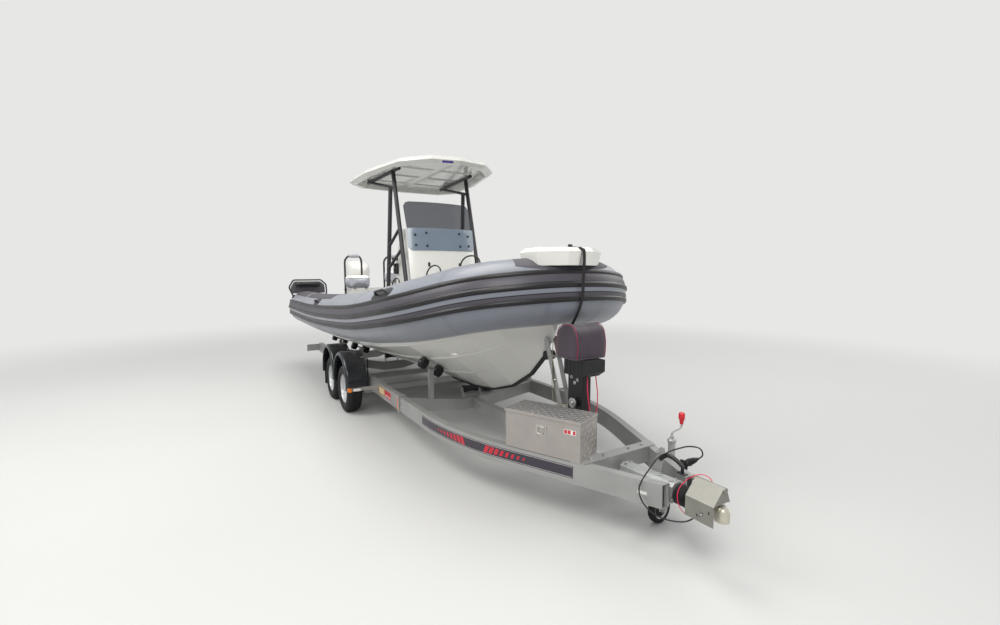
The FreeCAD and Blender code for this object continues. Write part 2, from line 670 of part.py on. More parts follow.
def collar_solid(radius):
    tube = pipe([tuple(p) for p in collar_route], radius, collar_radii)
    end_radius = CONE_END_RADIUS + radius - COLLAR_RADIUS
    aft = (collar_route[0] - collar_route[1]).normalize()
    cone = Part.makeCone(radius, end_radius, CONE_LENGTH, collar_route[0], aft)
    return joined([tube, cone, mirrored(cone)])


collar = collar_solid(COLLAR_RADIUS)
collar_room = collar_solid(COLLAR_RADIUS + SEAT_GAP)
cockpit_rear_x = TRANSOM_X + TRANSOM_THICK
hull_clear_z = HULL_SECTIONS[-1][5] + ABOVE_HULL
cockpit = plan_prism([(cockpit_rear_x, -700.0), (-3300.0, -690.0), (-2420.0, -470.0),
                      (-2420.0, 470.0), (-3300.0, 690.0), (cockpit_rear_x, 700.0)],
                     DECK_Z, hull_clear_z)
above_transom = box(TRANSOM_X - 1.0, cockpit_rear_x + 1.0, -700.0, 700.0, TRANSOM_TOP, hull_clear_z)
hull = hull.cut(collar_room).cut(cockpit).cut(above_transom)
put_boat("hull", hull)
put_boat("collar", collar)

# Three rubbing ribs glued along the collar's outer side, without twist, from the bow to each stern
def rib_section(angle):
    """The rib's section in front of the bow; its foot clears the tube all across."""
    half = math.degrees(RIB_WIDTH / 2 / COLLAR_RADIUS)
    foot = (COLLAR_RADIUS + SEAT_GAP) / math.cos(math.radians(half))
    top = COLLAR_RADIUS + RIB_PROUD
    corners = ((angle - half, foot), (angle + half, foot), (angle + half * RIB_TAPER, top),
               (angle - half * RIB_TAPER, top))
    return Part.makePolygon([bow_middle + V(r * math.cos(math.radians(a)), 0,
                                            r * math.sin(math.radians(a)))
                             for a, r in corners + corners[:1]])


bow_middle = V(collar_half[-1].x, 0, collar_half[-1].z)
rib_spine = route_wire([bow_middle] + collar_half[::-1], collar_radii[:len(collar_half) - 1][::-1])
ribs = []
for angle in RIB_ANGLES:
    rib = rib_spine.makePipeShell([rib_section(angle)], True, False)
    ribs += [rib, mirrored(rib)]
put_boat("rubbing_strakes", Part.makeCompound(ribs))

# Keel guard: a rubber strip round the forefoot
guard_rows = [row for row in HULL_SECTIONS if row[0] >= -3450.0]
upper = [(row[0], row[1] + 14.0) for row in guard_rows[:-1]]
lower = [(row[0] + 0.0, row[1] - KEEL_GUARD_PROUD) for row in guard_rows[:-1]]
keel_guard = side_prism(lower + upper[::-1], -KEEL_GUARD_HALF, KEEL_GUARD_HALF)
hull_whole = Part.makeLoft([hull_wire(row) for row in HULL_SECTIONS], True, True)
put_boat("keel_guard", keel_guard.cut(hull_whole))

# Bow step: two bevelled mouldings on the tube, with the bow fitting between them
def step_half(inset, z):
    return Part.makePolygon([V(x, y, z) for x, y in (
        (STEP_FRONT_X - inset, STEP_SPLIT + inset * 0.3), (STEP_FRONT_X - 14.0 - inset, 120.0),
        (STEP_CORNER_X - inset * 0.6, STEP_HALF - inset), (STEP_REAR_X + inset, STEP_HALF - inset),
        (STEP_REAR_X + inset, STEP_SPLIT + inset * 0.3),
        (STEP_FRONT_X - inset, STEP_SPLIT + inset * 0.3))])


step = Part.makeLoft([step_half(22.0, STEP_BOTTOM), step_half(0.0, STEP_TOP - STEP_BEVEL),
                      step_half(STEP_BEVEL, STEP_TOP)], True, True)
step = step.cut(collar_room)
put_boat("bow_steps", Part.makeCompound([step, mirrored(step)]))

split_half = STEP_SPLIT - SEAT_GAP
fitting = joined([
    box(STEP_CORNER_X - 90.0, STEP_CORNER_X + 60.0, -split_half, split_half,
        STEP_BOTTOM, STEP_TOP + 8.0),
    rod(V(STEP_CORNER_X, -split_half, STEP_TOP + 14.0),
        V(STEP_CORNER_X, split_half, STEP_TOP + 14.0), 16.0)]).cut(collar_room)
bow_fitting = fitting

# Console: a moulding raked aft, bowed in front, with a sloping dash behind
corner_x = CONSOLE_FRONT_X - CONSOLE_BULGE
console_rear = CONSOLE_FRONT_X - CONSOLE_LENGTH
plan_edges = [
    Part.Arc(V(corner_x, -CONSOLE_HALF, DECK_Z), V(CONSOLE_FRONT_X, 0, DECK_Z),
             V(corner_x, CONSOLE_HALF, DECK_Z)).toShape(),
    Part.LineSegment(V(corner_x, CONSOLE_HALF, DECK_Z),
                     V(console_rear, CONSOLE_HALF, DECK_Z)).toShape(),
    Part.LineSegment(V(console_rear, CONSOLE_HALF, DECK_Z),
                     V(console_rear, -CONSOLE_HALF, DECK_Z)).toShape(),
    Part.LineSegment(V(console_rear, -CONSOLE_HALF, DECK_Z),
                     V(corner_x, -CONSOLE_HALF, DECK_Z)).toShape(),
]
height = CONSOLE_TOP - DECK_Z
console = Part.Face(Part.Wire(plan_edges)).extrude(V(-CONSOLE_RAKE * height, 0, height))
console = console.cut(box(console_rear - 400.0, console_rear, -500.0, 500.0, DECK_Z - 1.0, 2500.0))
dash_cut = side_prism([(DASH_X, CONSOLE_TOP + 20.0), (DASH_X, CONSOLE_TOP - 30.0),
                       (console_rear + 1.0, DASH_LOW), (console_rear - 200.0, DASH_LOW),
                       (console_rear - 200.0, CONSOLE_TOP + 20.0)], -500.0, 500.0)
console = console.cut(dash_cut)
# Windscreen: one bowed acrylic sheet; its lower part lies on the console, its upper leans back
def screen_wire(z, corner_x):
    half = CONSOLE_HALF
    crown = corner_x + CONSOLE_BULGE
    thick = SCREEN_THICK
    return Part.Wire([
        Part.Arc(V(corner_x, -half, z), V(crown, 0, z), V(corner_x, half, z)).toShape(),
        Part.LineSegment(V(corner_x, half, z), V(corner_x + thick, half, z)).toShape(),
        Part.Arc(V(corner_x + thick, half, z), V(crown + thick, 0, z),
                 V(corner_x + thick, -half, z)).toShape(),
        Part.LineSegment(V(corner_x + thick, -half, z), V(corner_x, -half, z)).toShape()])


def console_corner_x(z):
    return CONSOLE_FRONT_X - CONSOLE_BULGE - CONSOLE_RAKE * (z - DECK_Z)


top_corner_x = console_corner_x(CONSOLE_TOP)
screen_low = Part.makeLoft([
    screen_wire(SCREEN_BOTTOM, console_corner_x(SCREEN_BOTTOM) + SEAT_GAP),
    screen_wire(CONSOLE_TOP, top_corner_x + SEAT_GAP)], True, True)
screen_high = Part.makeLoft([
    screen_wire(CONSOLE_TOP, top_corner_x + SEAT_GAP),
    screen_wire(SCREEN_TOP, top_corner_x - SCREEN_RAKE * (SCREEN_TOP - CONSOLE_TOP))], True, True)
put_boat("windscreen", joined([screen_low, screen_high]))

# Helm: a wheel with three spokes on a shaft out of the dash
helm_tilt = math.radians(HELM_ANGLE)
helm_axis = V(-math.cos(helm_tilt), 0, math.sin(helm_tilt))
dash_mid_z = (CONSOLE_TOP - 30.0 + DASH_LOW) / 2
dash_point = V((DASH_X + console_rear) / 2, HELM_Y, dash_mid_z)
helm_boss = rod(dash_point - helm_axis * 6.0, dash_point + helm_axis * 34.0, 38.0)
put_boat("console", joined([console, helm_boss]))
helm_centre = dash_point + helm_axis * 90.0
helm_rim = Part.makeTorus(HELM_RADIUS, 15.0, helm_centre, helm_axis)
helm_parts = [helm_rim, rod(dash_point + helm_axis * (34.0 + SEAT_GAP),
                            helm_centre + helm_axis * 12.0, 32.0)]
helm_side = V(0, 1, 0)
helm_up = helm_axis.cross(helm_side)
for angle in (90.0, 210.0, 330.0):
    a = math.radians(angle)
    direction = helm_side * math.cos(a) + helm_up * math.sin(a)
    helm_parts.append(rod(helm_centre, helm_centre + direction * HELM_RADIUS, 9.0))
put_boat("helm_wheel", joined(helm_parts))
pivots["helm"] = boat_point(tuple(helm_centre))
pivots["helm_axis"] = boat_direction(tuple(helm_axis))

# T-top roof: a faceted moulding with a recessed underside and a navigation light
def roof_wire(scale, z):
    centre_x = (ROOF_CORNERS[0][0] + ROOF_CORNERS[-1][0]) / 2
    right = [(centre_x + (x - centre_x) * scale, y * scale) for x, y in ROOF_CORNERS]
    left = [(x, -y) for x, y in reversed(right[1:-1])]
    points = [V(x, y, z) for x, y in right + left]
    return Part.makePolygon(points + [points[0]])


roof = Part.makeLoft([roof_wire(0.955, ROOF_BOTTOM), roof_wire(1.0, ROOF_EDGE),
                      roof_wire(0.985, ROOF_SHOULDER), roof_wire(0.90, ROOF_TOP)], True, True)
recess = Part.makeLoft([roof_wire(0.90, ROOF_BOTTOM - 1.0), roof_wire(0.86, ROOF_CEILING)],
                       True, True)
light_x = (ROOF_CORNERS[0][0] + ROOF_CORNERS[3][0]) / 2
nav_light = rod(V(light_x, 0, ROOF_TOP - 8.0), V(light_x, 0, ROOF_TOP + 46.0), 26.0)
nav_base = rod(V(light_x, 0, ROOF_TOP - 8.0), V(light_x, 0, ROOF_TOP + 10.0), 42.0)
put_boat("ttop_roof", joined([roof.cut(recess), nav_light, nav_base]))

# T-top frame, one bent and welded tube frame on each side
bar_z = ROOF_CEILING - BAR_RADIUS
(front_foot_x, front_foot_y), (front_head_x, front_head_y) = FRONT_LEG
rear_foot_x, rear_foot_y = REAR_LEG_FOOT
front_foot = V(front_foot_x, front_foot_y, DECK_Z)
front_head = V(front_head_x, front_head_y, bar_z)
rear_foot = V(rear_foot_x, rear_foot_y, DECK_Z)
bar_front = V(BAR_FRONT[0], BAR_FRONT[1], bar_z)
bar_rear = V(BAR_REAR[0], BAR_REAR[1], bar_z)


def along(start, end, height):
    """Point of a leaning leg at a height."""
    t = (height - start.z) / (end.z - start.z)
    return start + (end - start) * t


strut_front = along(front_foot, front_head, STRUT_LOW_Z)
strut_rear = bar_rear + V(40.0, 0, 0)
share = (REAR_LEG_HEAD_X - strut_rear.x) / (strut_front.x - strut_rear.x)
rear_head = strut_rear + (strut_front - strut_rear) * share
side_frame = [rod(front_foot, front_head, LEG_RADIUS), rod(rear_foot, rear_head, LEG_RADIUS),
              rod(bar_front, bar_rear, BAR_RADIUS), rod(strut_rear, strut_front, BRACE_RADIUS)]
for low, high in BRACES:
    side_frame.append(rod(along(rear_foot, rear_head, low), along(front_foot, front_head, high),
                          BRACE_RADIUS))
for foot in (front_foot, rear_foot):
    side_frame.append(rod(foot, foot + V(0, 0, 10.0), LEG_RADIUS + 26.0))
port_frame = joined(side_frame)
port_frame = port_frame.cut(box(-6000.0, -2000.0, 0.0, 1500.0, DECK_Z - 200.0, DECK_Z))
put_boat("ttop_frame", Part.makeCompound([port_frame, mirrored(port_frame)]))

# Helm seat: a moulded base, two cushions and two tube hoops
seat_base_top = SEAT_TOP - SEAT_THICK - 8.0
seat_front = SEAT_X + SEAT_DEPTH / 2
seat_rear = SEAT_X - SEAT_DEPTH / 2
seat_base = side_prism([(seat_rear + 60.0, DECK_Z), (seat_front - 90.0, DECK_Z),
                        (seat_front - 40.0, seat_base_top), (seat_rear + 30.0, seat_base_top)],
                       -SEAT_BASE_HALF, SEAT_BASE_HALF)
flip_block = box(seat_rear + 60.0, seat_front - 60.0, SEAT_CENTRE_Y - 140.0, SEAT_CENTRE_Y + 140.0,
                 seat_base_top, seat_base_top + SEAT_FLIP)
seat_bases = [joined([seat_base, flip_block])]
cushions = []


def cushion(x0, x1, y0, y1, z0, z1, radius):
    body = box(x0, x1, y0, y1, z0, z1)
    upright = [e for e in body.Edges if abs(e.tangentAt(e.FirstParameter).z) > 0.9]
    return body.makeFillet(radius, upright)


for side, lift in ((-1, 0.0), (1, SEAT_FLIP)):
    y0 = side * SEAT_CENTRE_Y - SEAT_WIDTH / 2
    bottom = SEAT_TOP - SEAT_THICK + lift - 8.0 + SEAT_GAP
    cushions.append(cushion(seat_rear, seat_front, y0, y0 + SEAT_WIDTH, bottom, SEAT_TOP + lift,
                            40.0))

hoop_half = SEAT_WIDTH / 2 - 30.0
hoop_rear_x = seat_rear - HOOP_RADIUS - 8.0
hoops = []
for side in (-1, 1):
    mid = side * SEAT_CENTRE_Y
    low, high = mid - hoop_half, mid + hoop_half
    hoops.append(pipe([(hoop_rear_x, low, DECK_Z), (hoop_rear_x, low, HOOP_TOP - 70.0),
                       (hoop_rear_x + 50.0, low + 50.0, HOOP_TOP),
                       (hoop_rear_x + 50.0, high - 50.0, HOOP_TOP),
                       (hoop_rear_x, high, HOOP_TOP - 70.0), (hoop_rear_x, high, DECK_Z)],
                      HOOP_RADIUS))
put_boat("seat_hoops", Part.makeCompound(hoops))

# Aft locker seats beside the motor well, with their cushions
for side in (1, -1):
    y0, y1 = sorted((side * AFT_SEAT_INNER_Y, side * AFT_SEAT_OUTER_Y))
    locker = box(cockpit_rear_x, AFT_SEAT_FRONT_X, y0, y1, DECK_Z, AFT_SEAT_TOP)
    seat_bases.append(locker.cut(collar_room))
    pad = cushion(cockpit_rear_x + 8.0, AFT_SEAT_FRONT_X + 12.0, y0 + 4.0, y1 - 4.0,
                  AFT_SEAT_TOP + SEAT_GAP, AFT_SEAT_TOP + AFT_CUSHION, 30.0)
    cushions.append(pad.cut(collar_room))
put_boat("seat_bases", Part.makeCompound(seat_bases))
put_boat("seat_cushions", Part.makeCompound(cushions))

# Stern backrests: a bent tube standing on the collar, a fabric panel and a roll bolster
aft_axis_y = abs(COLLAR_ROUTE[0][1])


def tube_top(y, extra=0.0):
    """Height of the straight collar's surface at a half breadth near the stern."""
    run = collar_half[0] + (collar_half[1] - collar_half[0]) * (
        (BACKREST_X - collar_half[0].x) / (collar_half[1].x - collar_half[0].x))
    return run.z + math.sqrt((COLLAR_RADIUS + extra) ** 2 - (y - aft_axis_y) ** 2)


outer_foot_y = aft_axis_y + 200.0
inner_foot_y = aft_axis_y - 225.0
backrest_shape = [(outer_foot_y, tube_top(outer_foot_y) - 8.0), (1262.0, 1545.0),
                  (1190.0, 1672.0), (735.0, 1672.0), (650.0, 1590.0),
                  (640.0, 1430.0), (inner_foot_y, tube_top(inner_foot_y) - 8.0)]
backrest_tube = pipe([(BACKREST_X, y, z) for y, z in backrest_shape], BACKREST_TUBE,
                     [60.0, 60.0, 60.0, 60.0, 60.0])
foot_pads = []
for y in (outer_foot_y, inner_foot_y):
    lean = math.atan2(y - aft_axis_y, tube_top(y) - collar_half[0].z)
    foot = V(BACKREST_X, y, tube_top(y))
    normal = V(0, math.sin(lean), math.cos(lean))
    foot_pads.append(rod(foot - normal * 6.0, foot + normal * 16.0, 34.0))
backrest_frame = joined([backrest_tube] + foot_pads).cut(collar_room)
panel_shape = [(1236.0, 1545.0), (1178.0, 1646.0), (746.0, 1646.0), (676.0, 1580.0),
               (668.0, 1440.0), (1230.0, 1440.0)]
panel = end_prism(panel_shape, BACKREST_X - BACKREST_PANEL / 2, BACKREST_X + BACKREST_PANEL / 2)
panel = panel.cut(pipe([(BACKREST_X, y, z) for y, z in backrest_shape], BACKREST_TUBE + SEAT_GAP,
                       [60.0, 60.0, 60.0, 60.0, 60.0]))
roll_x = BACKREST_X + BACKREST_PANEL / 2 + BACKREST_ROLL + SEAT_GAP
roll = rod(V(roll_x, 760.0, 1600.0), V(roll_x, 1160.0, 1600.0), BACKREST_ROLL)
put_boat("backrest_frames", Part.makeCompound([backrest_frame, mirrored(backrest_frame)]))
panel = panel.cut(collar_room)
put_boat("backrest_pads", Part.makeCompound([panel, mirrored(panel), roll, mirrored(roll)]))

# Outboard: clamp bracket on the transom, then the tilting, steering and turning bodies
tilt_axis_point = V(TILT_X, 0, TILT_Z)


def tilted(shape):
    moved = shape.copy()
    moved.rotate(tilt_axis_point, V(0, 1, 0), TILT_PARKED)
    return moved


clamp_outer_y = CLAMP_INNER_Y + CLAMP_THICK
clamps = []
for side in (1, -1):
    plate = side_prism([(TRANSOM_X, TRANSOM_TOP - 10.0), (TRANSOM_X, 830.0), (TILT_X - 18.0, 830.0),
                        (TILT_X - 30.0, TILT_Z + 26.0), (TILT_X + 30.0, TILT_Z + 26.0)],
                       side * CLAMP_INNER_Y, side * clamp_outer_y)
    hook = box(TRANSOM_X - 2.0, TRANSOM_X + TRANSOM_THICK + 30.0, side * CLAMP_INNER_Y,
               side * clamp_outer_y, TRANSOM_TOP, TRANSOM_TOP + 30.0)
    clamps += [plate, hook]
tilt_tube = rod(V(TILT_X, -clamp_outer_y, TILT_Z), V(TILT_X, clamp_outer_y, TILT_Z),
                TILT_TUBE_RADIUS)
put_boat("engine_clamp", joined(clamps + [tilt_tube]))

knuckle_half = CLAMP_INNER_Y - 6.0
barrel = rod(V(STEER_X, 0, BARREL_BOTTOM), V(STEER_X, 0, BARREL_TOP), SWIVEL_RADIUS)
knuckle = rod(V(TILT_X, -knuckle_half, TILT_Z), V(TILT_X, knuckle_half, TILT_Z), 34.0)
yoke_reach = math.hypot(YOKE_FRONT, YOKE_HALF) + 8.0
web = side_prism([(TILT_X, TILT_Z + 30.0), (TILT_X, TILT_Z - 33.0), (STEER_X + 20.0, 960.0),
                  (STEER_X, 960.0), (STEER_X, BARREL_TOP), (STEER_X + yoke_reach, BARREL_TOP)],
                 -60.0, 60.0)
bore = rod(V(TILT_X, -200.0, TILT_Z), V(TILT_X, 200.0, TILT_Z), TILT_TUBE_RADIUS + RUN_FIT)
king_bore = rod(V(STEER_X, 0, BARREL_BOTTOM - 5.0), V(STEER_X, 0, BARREL_TOP + 5.0),
                KINGPIN_RADIUS + RUN_FIT)
swivel = joined([barrel, knuckle, web]).cut(bore).cut(king_bore)
put_boat("engine_swivel", tilted(swivel))


def leg_wire(front, rear, half, z):
    """Lens-shaped section of the leg: pointed nose and tail, arcs between them."""
    mid = (front + rear) / 2
    nose = V(front, 0, z)
    tail = V(rear, 0, z)
    return Part.Wire([Part.Arc(nose, V(mid, half, z), tail).toShape(),
                      Part.Arc(tail, V(mid, -half, z), nose).toShape()])


leg_front = STEER_X - SWIVEL_RADIUS - 8.0
leg = Part.makeLoft([leg_wire(leg_front, -7850.0, 46.0, PLATE_Z - 8.0),
                     leg_wire(leg_front, -7830.0, 62.0, 700.0),
                     leg_wire(leg_front, -7900.0, 110.0, COWL_BOTTOM - 60.0),
                     leg_wire(leg_front + 10.0, -7960.0, 150.0, COWL_BOTTOM - SEAT_GAP)], True, True)
strut = Part.makeLoft([leg_wire(leg_front, -7820.0, 26.0, PROP_Z),
                       leg_wire(leg_front, -7850.0, 44.0, PLATE_Z)], True, True)
plate = plan_prism([(leg_front + 10.0, -50.0), (-7700.0, -105.0), (-7960.0, -90.0), (-8000.0, 0.0),
                    (-7960.0, 90.0), (-7700.0, 105.0), (leg_front + 10.0, 50.0)],
                   PLATE_Z - 8.0, PLATE_Z)
skeg = side_prism([(-7660.0, PROP_Z), (-7720.0, SKEG_Z), (-7810.0, SKEG_Z), (-7850.0, PROP_Z)],
                  -7.0, 7.0)
gear_nose = GEARCASE_FRONT_X + 40.0
gearcase = revolved([(0.0, 0.0), (-14.0, 26.0), (-60.0, 48.0), (-130.0, GEARCASE_RADIUS),
                     (GEARCASE_REAR_X - gear_nose + 60.0, GEARCASE_RADIUS),
                     (GEARCASE_REAR_X - gear_nose, PROP_HUB_RADIUS),
                     (GEARCASE_REAR_X - gear_nose, 0.0)],
                    V(gear_nose, 0, PROP_Z), (1, 0, 0), (0, 0, 1))
prop_shaft = rod(V(GEARCASE_REAR_X, 0, PROP_Z), V(GEARCASE_REAR_X - 60.0, 0, PROP_Z), 12.0)
yoke_top = box(leg_front - 20.0, STEER_X + YOKE_FRONT, -YOKE_HALF, YOKE_HALF, BARREL_TOP + 3.0,
               BARREL_TOP + 43.0)
yoke_low = box(leg_front - 20.0, STEER_X + YOKE_FRONT, -YOKE_HALF, YOKE_HALF,
               BARREL_BOTTOM - 43.0, BARREL_BOTTOM - 3.0)
kingpin = rod(V(STEER_X, 0, BARREL_BOTTOM - 43.0), V(STEER_X, 0, BARREL_TOP + 43.0),
              KINGPIN_RADIUS)
put_boat("engine_leg", tilted(joined([leg, strut, plate, skeg, gearcase, prop_shaft, yoke_top,
                                      yoke_low, kingpin])))


def cowl_wire(front, rear, half, nose, z):
    """Cowling section: blunt front, sides that narrow to a rounded rear."""
    side_x = front - nose
    tail_x = rear + 150.0
    return Part.Wire([
        Part.Arc(V(side_x, -half, z), V(front, 0, z), V(side_x, half, z)).toShape(),
        Part.LineSegment(V(side_x, half, z), V(tail_x, half * 0.86, z)).toShape(),
        Part.Arc(V(tail_x, half * 0.86, z), V(rear, 0, z), V(tail_x, -half * 0.86, z)).toShape(),
        Part.LineSegment(V(tail_x, -half * 0.86, z), V(side_x, -half, z)).toShape()])


cowl_height = COWL_TOP - COWL_BOTTOM
cowl = Part.makeLoft([
    cowl_wire(COWL_FRONT_X - 20.0, COWL_REAR_X + 130.0, COWL_HALF * 0.80, 50.0, COWL_BOTTOM),
    cowl_wire(COWL_FRONT_X, COWL_REAR_X + 30.0, COWL_HALF * 0.97, 55.0,
              COWL_BOTTOM + cowl_height * 0.22),
    cowl_wire(COWL_FRONT_X - 6.0, COWL_REAR_X, COWL_HALF, 60.0, COWL_BOTTOM + cowl_height * 0.55),
    cowl_wire(COWL_FRONT_X - 40.0, COWL_REAR_X + 40.0, COWL_HALF * 0.93, 80.0,
              COWL_BOTTOM + cowl_height * 0.85),
    cowl_wire(COWL_FRONT_X - 110.0, COWL_REAR_X + 150.0, COWL_HALF * 0.70, 90.0, COWL_TOP)],
    True, True)
put_boat("engine_cowling", tilted(cowl))

hub_front = GEARCASE_REAR_X - 1.0
prop_hub = rod(V(hub_front, 0, PROP_Z), V(hub_front - PROP_HUB_LENGTH, 0, PROP_Z),
               PROP_HUB_RADIUS - 4.0)
blades = []
for angle in (90.0, 210.0, 330.0):
    blade = Part.makeLoft([
        Part.makePolygon([V(hub_front - 10.0, -4.0, 30.0), V(hub_front - 10.0, 4.0, 30.0),
                          V(hub_front - 115.0, 46.0, 30.0), V(hub_front - 115.0, 38.0, 30.0),
                          V(hub_front - 10.0, -4.0, 30.0)]),
        Part.makePolygon([V(hub_front - 14.0, -74.0, 112.0), V(hub_front - 14.0, -68.0, 112.0),
                          V(hub_front - 110.0, 66.0, 112.0), V(hub_front - 110.0, 60.0, 112.0),
                          V(hub_front - 14.0, -74.0, 112.0)]),
        Part.makePolygon([V(hub_front - 44.0, -32.0, PROP_RADIUS),
                          V(hub_front - 44.0, -29.0, PROP_RADIUS),
                          V(hub_front - 84.0, 33.0, PROP_RADIUS),
                          V(hub_front - 84.0, 30.0, PROP_RADIUS),
                          V(hub_front - 44.0, -32.0, PROP_RADIUS)])], True, True)
    blade.rotate(V(0, 0, 0), V(1, 0, 0), angle)
    blade.translate(V(0, 0, PROP_Z))
    blades.append(blade)
prop_bore = rod(V(hub_front + 5.0, 0, PROP_Z), V(GEARCASE_REAR_X - 60.0 - SEAT_GAP, 0, PROP_Z),
                12.0 + RUN_FIT)
put_boat("propeller", tilted(joined([prop_hub] + blades).cut(prop_bore)))


def engine_point(point):
    turn = FreeCAD.Rotation(V(0, 1, 0), TILT_PARKED)
    moved = tilt_axis_point + turn.multVec(V(*point) - tilt_axis_point)
    return boat_point(tuple(moved))


def engine_direction(direction):
    turn = FreeCAD.Rotation(V(0, 1, 0), TILT_PARKED)
    return boat_direction(tuple(turn.multVec(V(*direction))))


pivots["tilt"] = boat_point((TILT_X, 0, TILT_Z))
pivots["steer"] = engine_point((STEER_X, 0, BARREL_TOP))
pivots["steer_axis"] = engine_direction((0, 0, 1))
pivots["propeller"] = engine_point((hub_front, 0, PROP_Z))
pivots["propeller_axis"] = engine_direction((1, 0, 0))

# Roller posts and keel roller on the front cross member, and bunks aft
def hull_height(x, y):
    """Height of the hull bottom on the trailer at a station and half breadth."""
    local = x
    for a, b in zip(HULL_SECTIONS, HULL_SECTIONS[1:]):
        if a[0] <= local <= b[0]:
            t = (local - a[0]) / (b[0] - a[0])
            keel = a[1] + (b[1] - a[1]) * t
            chine_y = a[2] + (b[2] - a[2]) * t
            chine_z = a[3] + (b[3] - a[3]) * t
            level = keel + (chine_z - keel) * abs(y) / chine_y
            slope = math.degrees(math.atan2(chine_z - keel, chine_y))
            return level + (local - TRIM_X) * math.tan(math.radians(TRIM_ANGLE)), slope
    raise ValueError("no hull at this station")


posts = []
rollers = []
ROLLER_GAP = 4.0
PIN_RADIUS = 11.0
for name, station, middle_top in CROSS_MEMBERS:
    lean = math.radians(hull_height(station, ROLLER_POST_Y)[1])
    normal = V(0, -math.sin(lean), math.cos(lean))
    tangent = V(0, math.cos(lean), math.sin(lean))
    contact_y = ROLLER_POST_Y - math.sin(lean) * (ROLLER_RADIUS + ROLLER_GAP)
    contact = V(station, contact_y, hull_height(station, contact_y)[0])
    centre = contact - normal * (ROLLER_RADIUS + ROLLER_GAP)
    beam_top_z = middle_top + (CROSS_END_TOP - middle_top) * (
        (ROLLER_POST_Y - CROSS_FLAT) / (inner_face - CROSS_FLAT))
    post_top = centre.z - 20.0
    post = box(station - 25.0, station + 25.0, ROLLER_POST_Y - 22.0, ROLLER_POST_Y + 22.0,
               beam_top_z + 10.0, post_top)
    foot = end_prism([(ROLLER_POST_Y - 22.0, beam_top_z - 3.0), (ROLLER_POST_Y + 22.0, beam_top_z + 4.0),
                      (ROLLER_POST_Y + 22.0, beam_top_z + 12.0),
                      (ROLLER_POST_Y - 22.0, beam_top_z + 12.0)], station - 28.0, station + 28.0)
    half_pin = ROLLER_SPACING / 2 + ROLLER_WIDTH / 2 + 8.0
    pin = rod(centre - tangent * half_pin, centre + tangent * half_pin, PIN_RADIUS)
    post = joined([post, foot])
    for along_pin in (-ROLLER_SPACING / 2, ROLLER_SPACING / 2):
        mid = centre + tangent * along_pin
        post = post.cut(rod(mid - tangent * (ROLLER_WIDTH / 2 + ROLLER_GAP),
                            mid + tangent * (ROLLER_WIDTH / 2 + ROLLER_GAP),
                            ROLLER_RADIUS + ROLLER_GAP))
        drum = rod(mid - tangent * (ROLLER_WIDTH / 2), mid + tangent * (ROLLER_WIDTH / 2),
                   ROLLER_RADIUS)
        hole = rod(mid - tangent * ROLLER_WIDTH, mid + tangent * ROLLER_WIDTH,
                   PIN_RADIUS + SEAT_GAP)
        drum = drum.cut(hole)
        rollers += [drum, mirrored(drum)]
    carrier = joined([post, pin]).cut(cross_solids[station])
    posts += [carrier, mirrored(carrier)]

KEEL_ROLLER_RADIUS = 42.0
for name, station, middle_top in CROSS_MEMBERS:
    x = station - CROSS_THICK / 2 - 60.0
    keel_z, slope = hull_height(x, 0.0)
    axis_z = keel_z - KEEL_ROLLER_RADIUS - ROLLER_GAP - KEEL_GUARD_PROUD * (name == "front")
    for side in (1, -1):
        cheek = side_prism([(station - CROSS_THICK / 2, middle_top - CROSS_HEIGHT + 10.0),
                            (station - CROSS_THICK / 2, middle_top - 4.0),
                            (x + 18.0, axis_z + 18.0), (x - 18.0, axis_z + 18.0),
                            (x - 18.0, axis_z - 18.0)], side * 96.0, side * 104.0)
        posts.append(cheek.fuse(rod(V(x, side * 100.0, axis_z), V(x, side * 1.0, axis_z), 9.0)))
    keel_roller = rod(V(x, -90.0, axis_z), V(x, 90.0, axis_z), KEEL_ROLLER_RADIUS)
    keel_roller = keel_roller.cut(rod(V(x, -91.0, axis_z), V(x, 91.0, axis_z), 9.0 + SEAT_GAP))
    rollers.append(keel_roller)
put("roller_posts", Part.makeCompound(posts))
put("hull_rollers", Part.makeCompound(rollers))

# Winch post: two leaning strut plates, an upright column with the winch head, a bow stop
def strut_plate(side):
    half = STRUT_LENGTH / 2
    return side_prism([(STRUT_BASE_X - half, spine_top), (STRUT_BASE_X + half, spine_top),
                       (STRUT_TOP_X + half, STRUT_TOP_Z), (STRUT_TOP_X - half, STRUT_TOP_Z)],
                      side * STRUT_INNER_Y, side * (STRUT_INNER_Y + STRUT_PLATE))


def strut_x(z):
    """Station of the strut's middle at a height."""
    return STRUT_BASE_X + (STRUT_TOP_X - STRUT_BASE_X) * (z - spine_top) / (STRUT_TOP_Z - spine_top)


strut_width = STRUT_INNER_Y + STRUT_PLATE
post_pieces = [strut_plate(1), strut_plate(-1)]
for z in (780.0, 1150.0):
    post_pieces.append(box(strut_x(z) - 16.0, strut_x(z) + 16.0, -strut_width, strut_width,
                           z, z + 8.0))
post_pieces.append(box(STRUT_BASE_X - 90.0, COLUMN_FRONT_X + 40.0, -strut_width, strut_width,
                       spine_top, spine_top + 8.0))
stop_x = strut_x(1040.0)
post_pieces.append(rod(V(stop_x, -strut_width, 1040.0), V(stop_x, strut_width, 1040.0), 12.0))
hull_room = boat_place(hull_whole)
for shift in (V(8.0, 0, -3.0), V(0, 6.0, -4.0), V(0, -6.0, -4.0)):
    moved_hull = boat_place(hull_whole)
    moved_hull.translate(shift)
    hull_room = hull_room.fuse(moved_hull)
put("winch_strut", joined(post_pieces).cut(hull_room))

